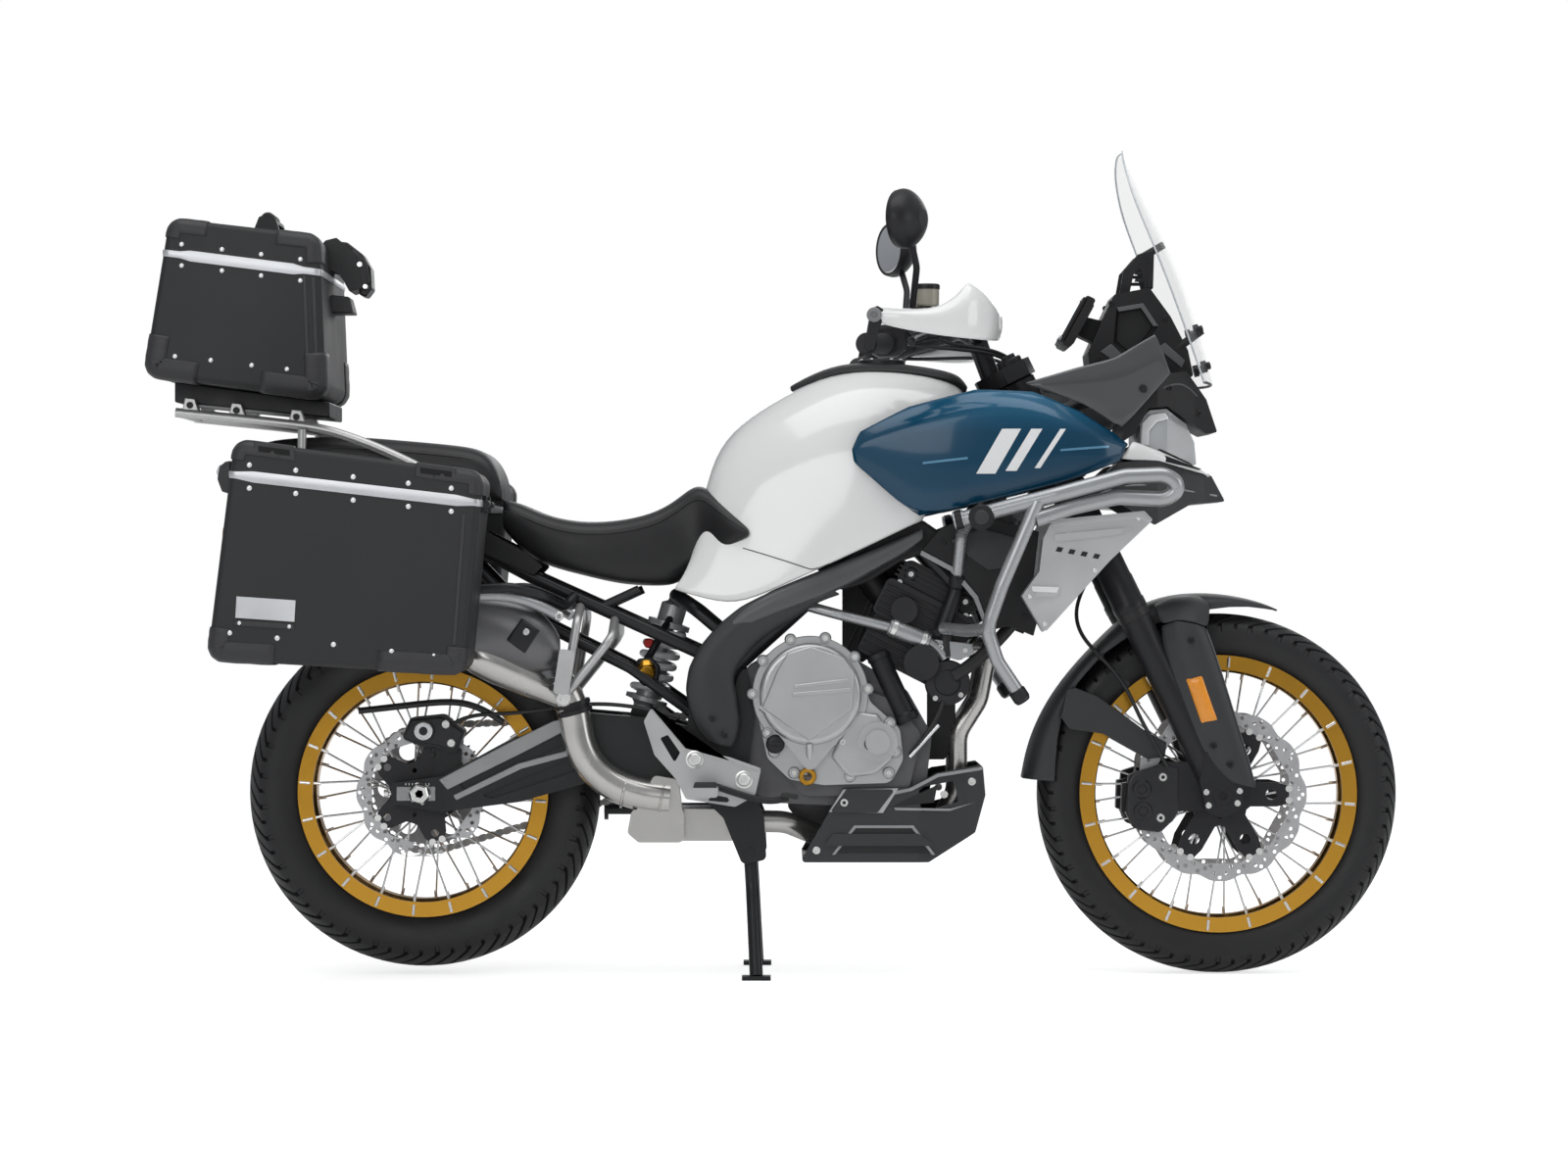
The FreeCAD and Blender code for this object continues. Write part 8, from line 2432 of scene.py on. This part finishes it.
# Windscreen: clear sheet with a polished edge, held by four rubber-cushioned screws on a slotted
# black bracket; smoked deflectors below it with a folded crease.
screen_rows = (
    (1076, 1444, 130, 26), (1180, 1418, 176, 40), (1300, 1376, 186, 44), (1400, 1326, 162, 36),
    (1470, 1294, 118, 20), (1502, 1280, 62, 6),
)
screen_edge = finish("screen_edge", (0.6, 0.63, 0.65), 0.2, grain=0.0, mottle=0.05, coat=0.6)
edge_route = (
    [(x - back - 2, half, z) for z, x, half, back in screen_rows]
    + [(1278, 30, 1503.5), (1278, -30, 1503.5)]
    + [(x - back - 2, -half, z) for z, x, half, back in reversed(screen_rows)]
)
screen_film = finish("screen_film", (0.62, 0.65, 0.67), 0.08, shine=0.3, grain=0.0, mottle=0.02, vary=0.01)
screen_film.node_tree.nodes["Principled BSDF"].inputs["Alpha"].default_value = 0.1
sheet_rows = [
    [(x - 1 - back * k * k / 16, half * k / 4, z) for k in range(-4, 5)] for z, x, half, back in screen_rows
]
sheet = skin(
    "windscreen_sheet", sheet_rows, screen_film, "chassis", hides=("windscreen",), thick=3, rim_crease=0.7
)
pipe("screen_edge_bead", [edge_route], 1.8, screen_edge, "chassis", sides=3)
pipe(
    "screen_lower_bead",
    [[(1416, -130, 1076), (1434, -80, 1075), (1443, 0, 1075), (1434, 80, 1075), (1416, 130, 1076)]], 2.6,
    satin_black, "chassis",
)
for s, word in hands:
    for i, (x, y, z) in enumerate(((1412, 82, 1174), (1426, 80, 1108))):
        sleeve(
            "screen_screw_%s_%d" % (word, i), (x - 10, s * y, z - 3), (x + 6, s * y, z + 1),
            [(0, 11), (9, 11), (10, 7), (16, 7), (17, 4)], satin_black, "chassis", 28,
        )
for y, word in ((-54, "right"), (54, "left")):
    blocks = [
        side_block(
            [
                (1268, 1236), (1278, 1284), (1302, 1312), (1322, 1318), (1326, 1300), (1308, 1294),
                (1294, 1274), (1286, 1236),
            ],
            y - 5, y + 5,
        )
    ]
    blocks.append(side_block([(1318, 1250), (1322, 1318), (1332, 1318), (1330, 1250)], y - 5, y + 5))
    prisms("screen_bracket_" + word, blocks, satin_black, "chassis", bevel=1.6)
    slots = [
        side_block(
            [(1296, 1262 + i * 13), (1298, 1268 + i * 13), (1318, 1268 + i * 13), (1318, 1262 + i * 13)],
            y - 3, y + 3,
        )
        for i in range(3)
    ]
    prisms("bracket_bars_" + word, slots, satin_black, "chassis", bevel=0.8)
smoke = finish(
    "smoked_sheet", (0.1, 0.105, 0.11), 0.08, shine=0.4, grain=0.0, mottle=0.03, vary=0.01, coat=1.0
)
smoke.node_tree.nodes["Principled BSDF"].inputs["Transmission Weight"].default_value = 0.35
smoke.node_tree.nodes["Principled BSDF"].inputs["IOR"].default_value = 1.35
for s, word in hands:
    upper = [(1090, 176, 1073), (1182, 180, 1100), (1250, 181, 1117), (1324, 180, 1161)]
    crease = [(1100, 181, 1068), (1188, 186, 1078), (1262, 188, 1086), (1338, 184, 1126)]
    lower = [(1110, 180, 1064), (1192, 182, 1038), (1272, 182, 1022), (1350, 180, 1094)]
    foot_row = [(1118, 178, 1060), (1196, 179, 1034), (1264, 178, 990), (1352, 178, 1090)]
    made = skin(
        "deflector_" + word,
        [[(x, s * y, z) for x, y, z in row] for row in (upper, crease, lower, foot_row)], smoke, "chassis",
        hides=("wind_deflectors",), thick=3, levels=2, rim_crease=0.9, creases=(("row", 1, 0.9),)
    )
    sleeve(
        "deflector_boss_" + word, (1302, s * 150, 1062), (1302, s * 186, 1062),
        [(0, 9), (30, 9), (31, 7), (36, 7)], satin_black, "chassis", 28,
    )

# Radiator shrouds and engine bars: brushed shrouds with rivets and slots, black plugs in the bars'
# ends, clamps on the frame, weld beads where tubes meet, and a round black boss on each bar.
for s, word in hands:
    bolts(
        "shroud_rivets_" + word,
        [(x, s * 229.5, z) for x, z in ((1164, 800), (1290, 829), (1122, 640), (1096, 690), (1212, 736))],
        (0, s, 0), 4.4, 2.6, nipple_steel, "chassis", dome=True
    )
    # The slots are thin near-black patches on the shrouds: painted shade in the openings.
    slots = [
        side_block(
            [
                (1142 + i * 22, 770 - i * 4), (1146 + i * 22, 778 - i * 4), (1156 + i * 22, 776 - i * 4),
                (1152 + i * 22, 768 - i * 4),
            ],
            s * 229.6, s * 231,
        )
        for i in range(4)
    ]
    prisms("shroud_slots_" + word, slots, recess_shade_black, "chassis", bevel=0.3)
    scoop = [(1098, 708), (1148, 706), (1144, 696), (1100, 698)]
    prisms("shroud_scoop_" + word, [side_block(scoop, s * 229, s * 237)], gloss_white, "chassis", bevel=1.6)
    fold = [(1134, 822), (1298, 838), (1312, 824), (1304, 822), (1294, 830), (1136, 814)]
    prisms("shroud_fold_" + word, [side_block(fold, s * 229, s * 232)], shroud_silver, "chassis", bevel=1)
    sleeve(
        "bar_plug_upper_" + word, (978, s * 255.4, 828), (962, s * 254, 824),
        [(0, 14), (4, 17.4), (14, 17.4), (18, 15), (18.6, 4)], satin_black, "chassis", 32,
    )
    sleeve(
        "bar_plug_lower_" + word, (1070, s * 246, 524), (1086, s * 241, 500),
        [(0, 13), (4, 15.6), (20, 15.6), (26, 13), (27, 4)], satin_black, "chassis", 32,
    )
    for i, (x, y, z) in enumerate(((1108, 266, 846), (1018, 262, 631))):
        sleeve(
            "bar_weld_%s_%d" % (word, i), (x - 3, s * (y - 15), z), (x - 3, s * (y - 8), z),
            [(0, 12), (2, 15), (5, 15), (7, 12)], bar_silver, "chassis", 28,
        )
    sleeve(
        "bar_clamp_" + word, (968, s * 158, 708), (976, s * 196, 784),
        [(0, 13), (3, 15), (20, 15), (23, 11)], satin_black, "chassis", 28,
    )
    sleeve(
        "bar_lamp_disc_" + word, (1008, s * 246, 830), (1008, s * 272, 830),
        [(0, 14), (2, 23), (26, 23), (28, 21)], satin_black, "chassis", 36,
    )
    sleeve(
        "bar_lamp_face_" + word, (1008, s * 262, 830), (1008, s * 276, 830),
        [(0, 13), (12, 13), (14, 10), (14, 3)], charcoal, "chassis", 32,
    )
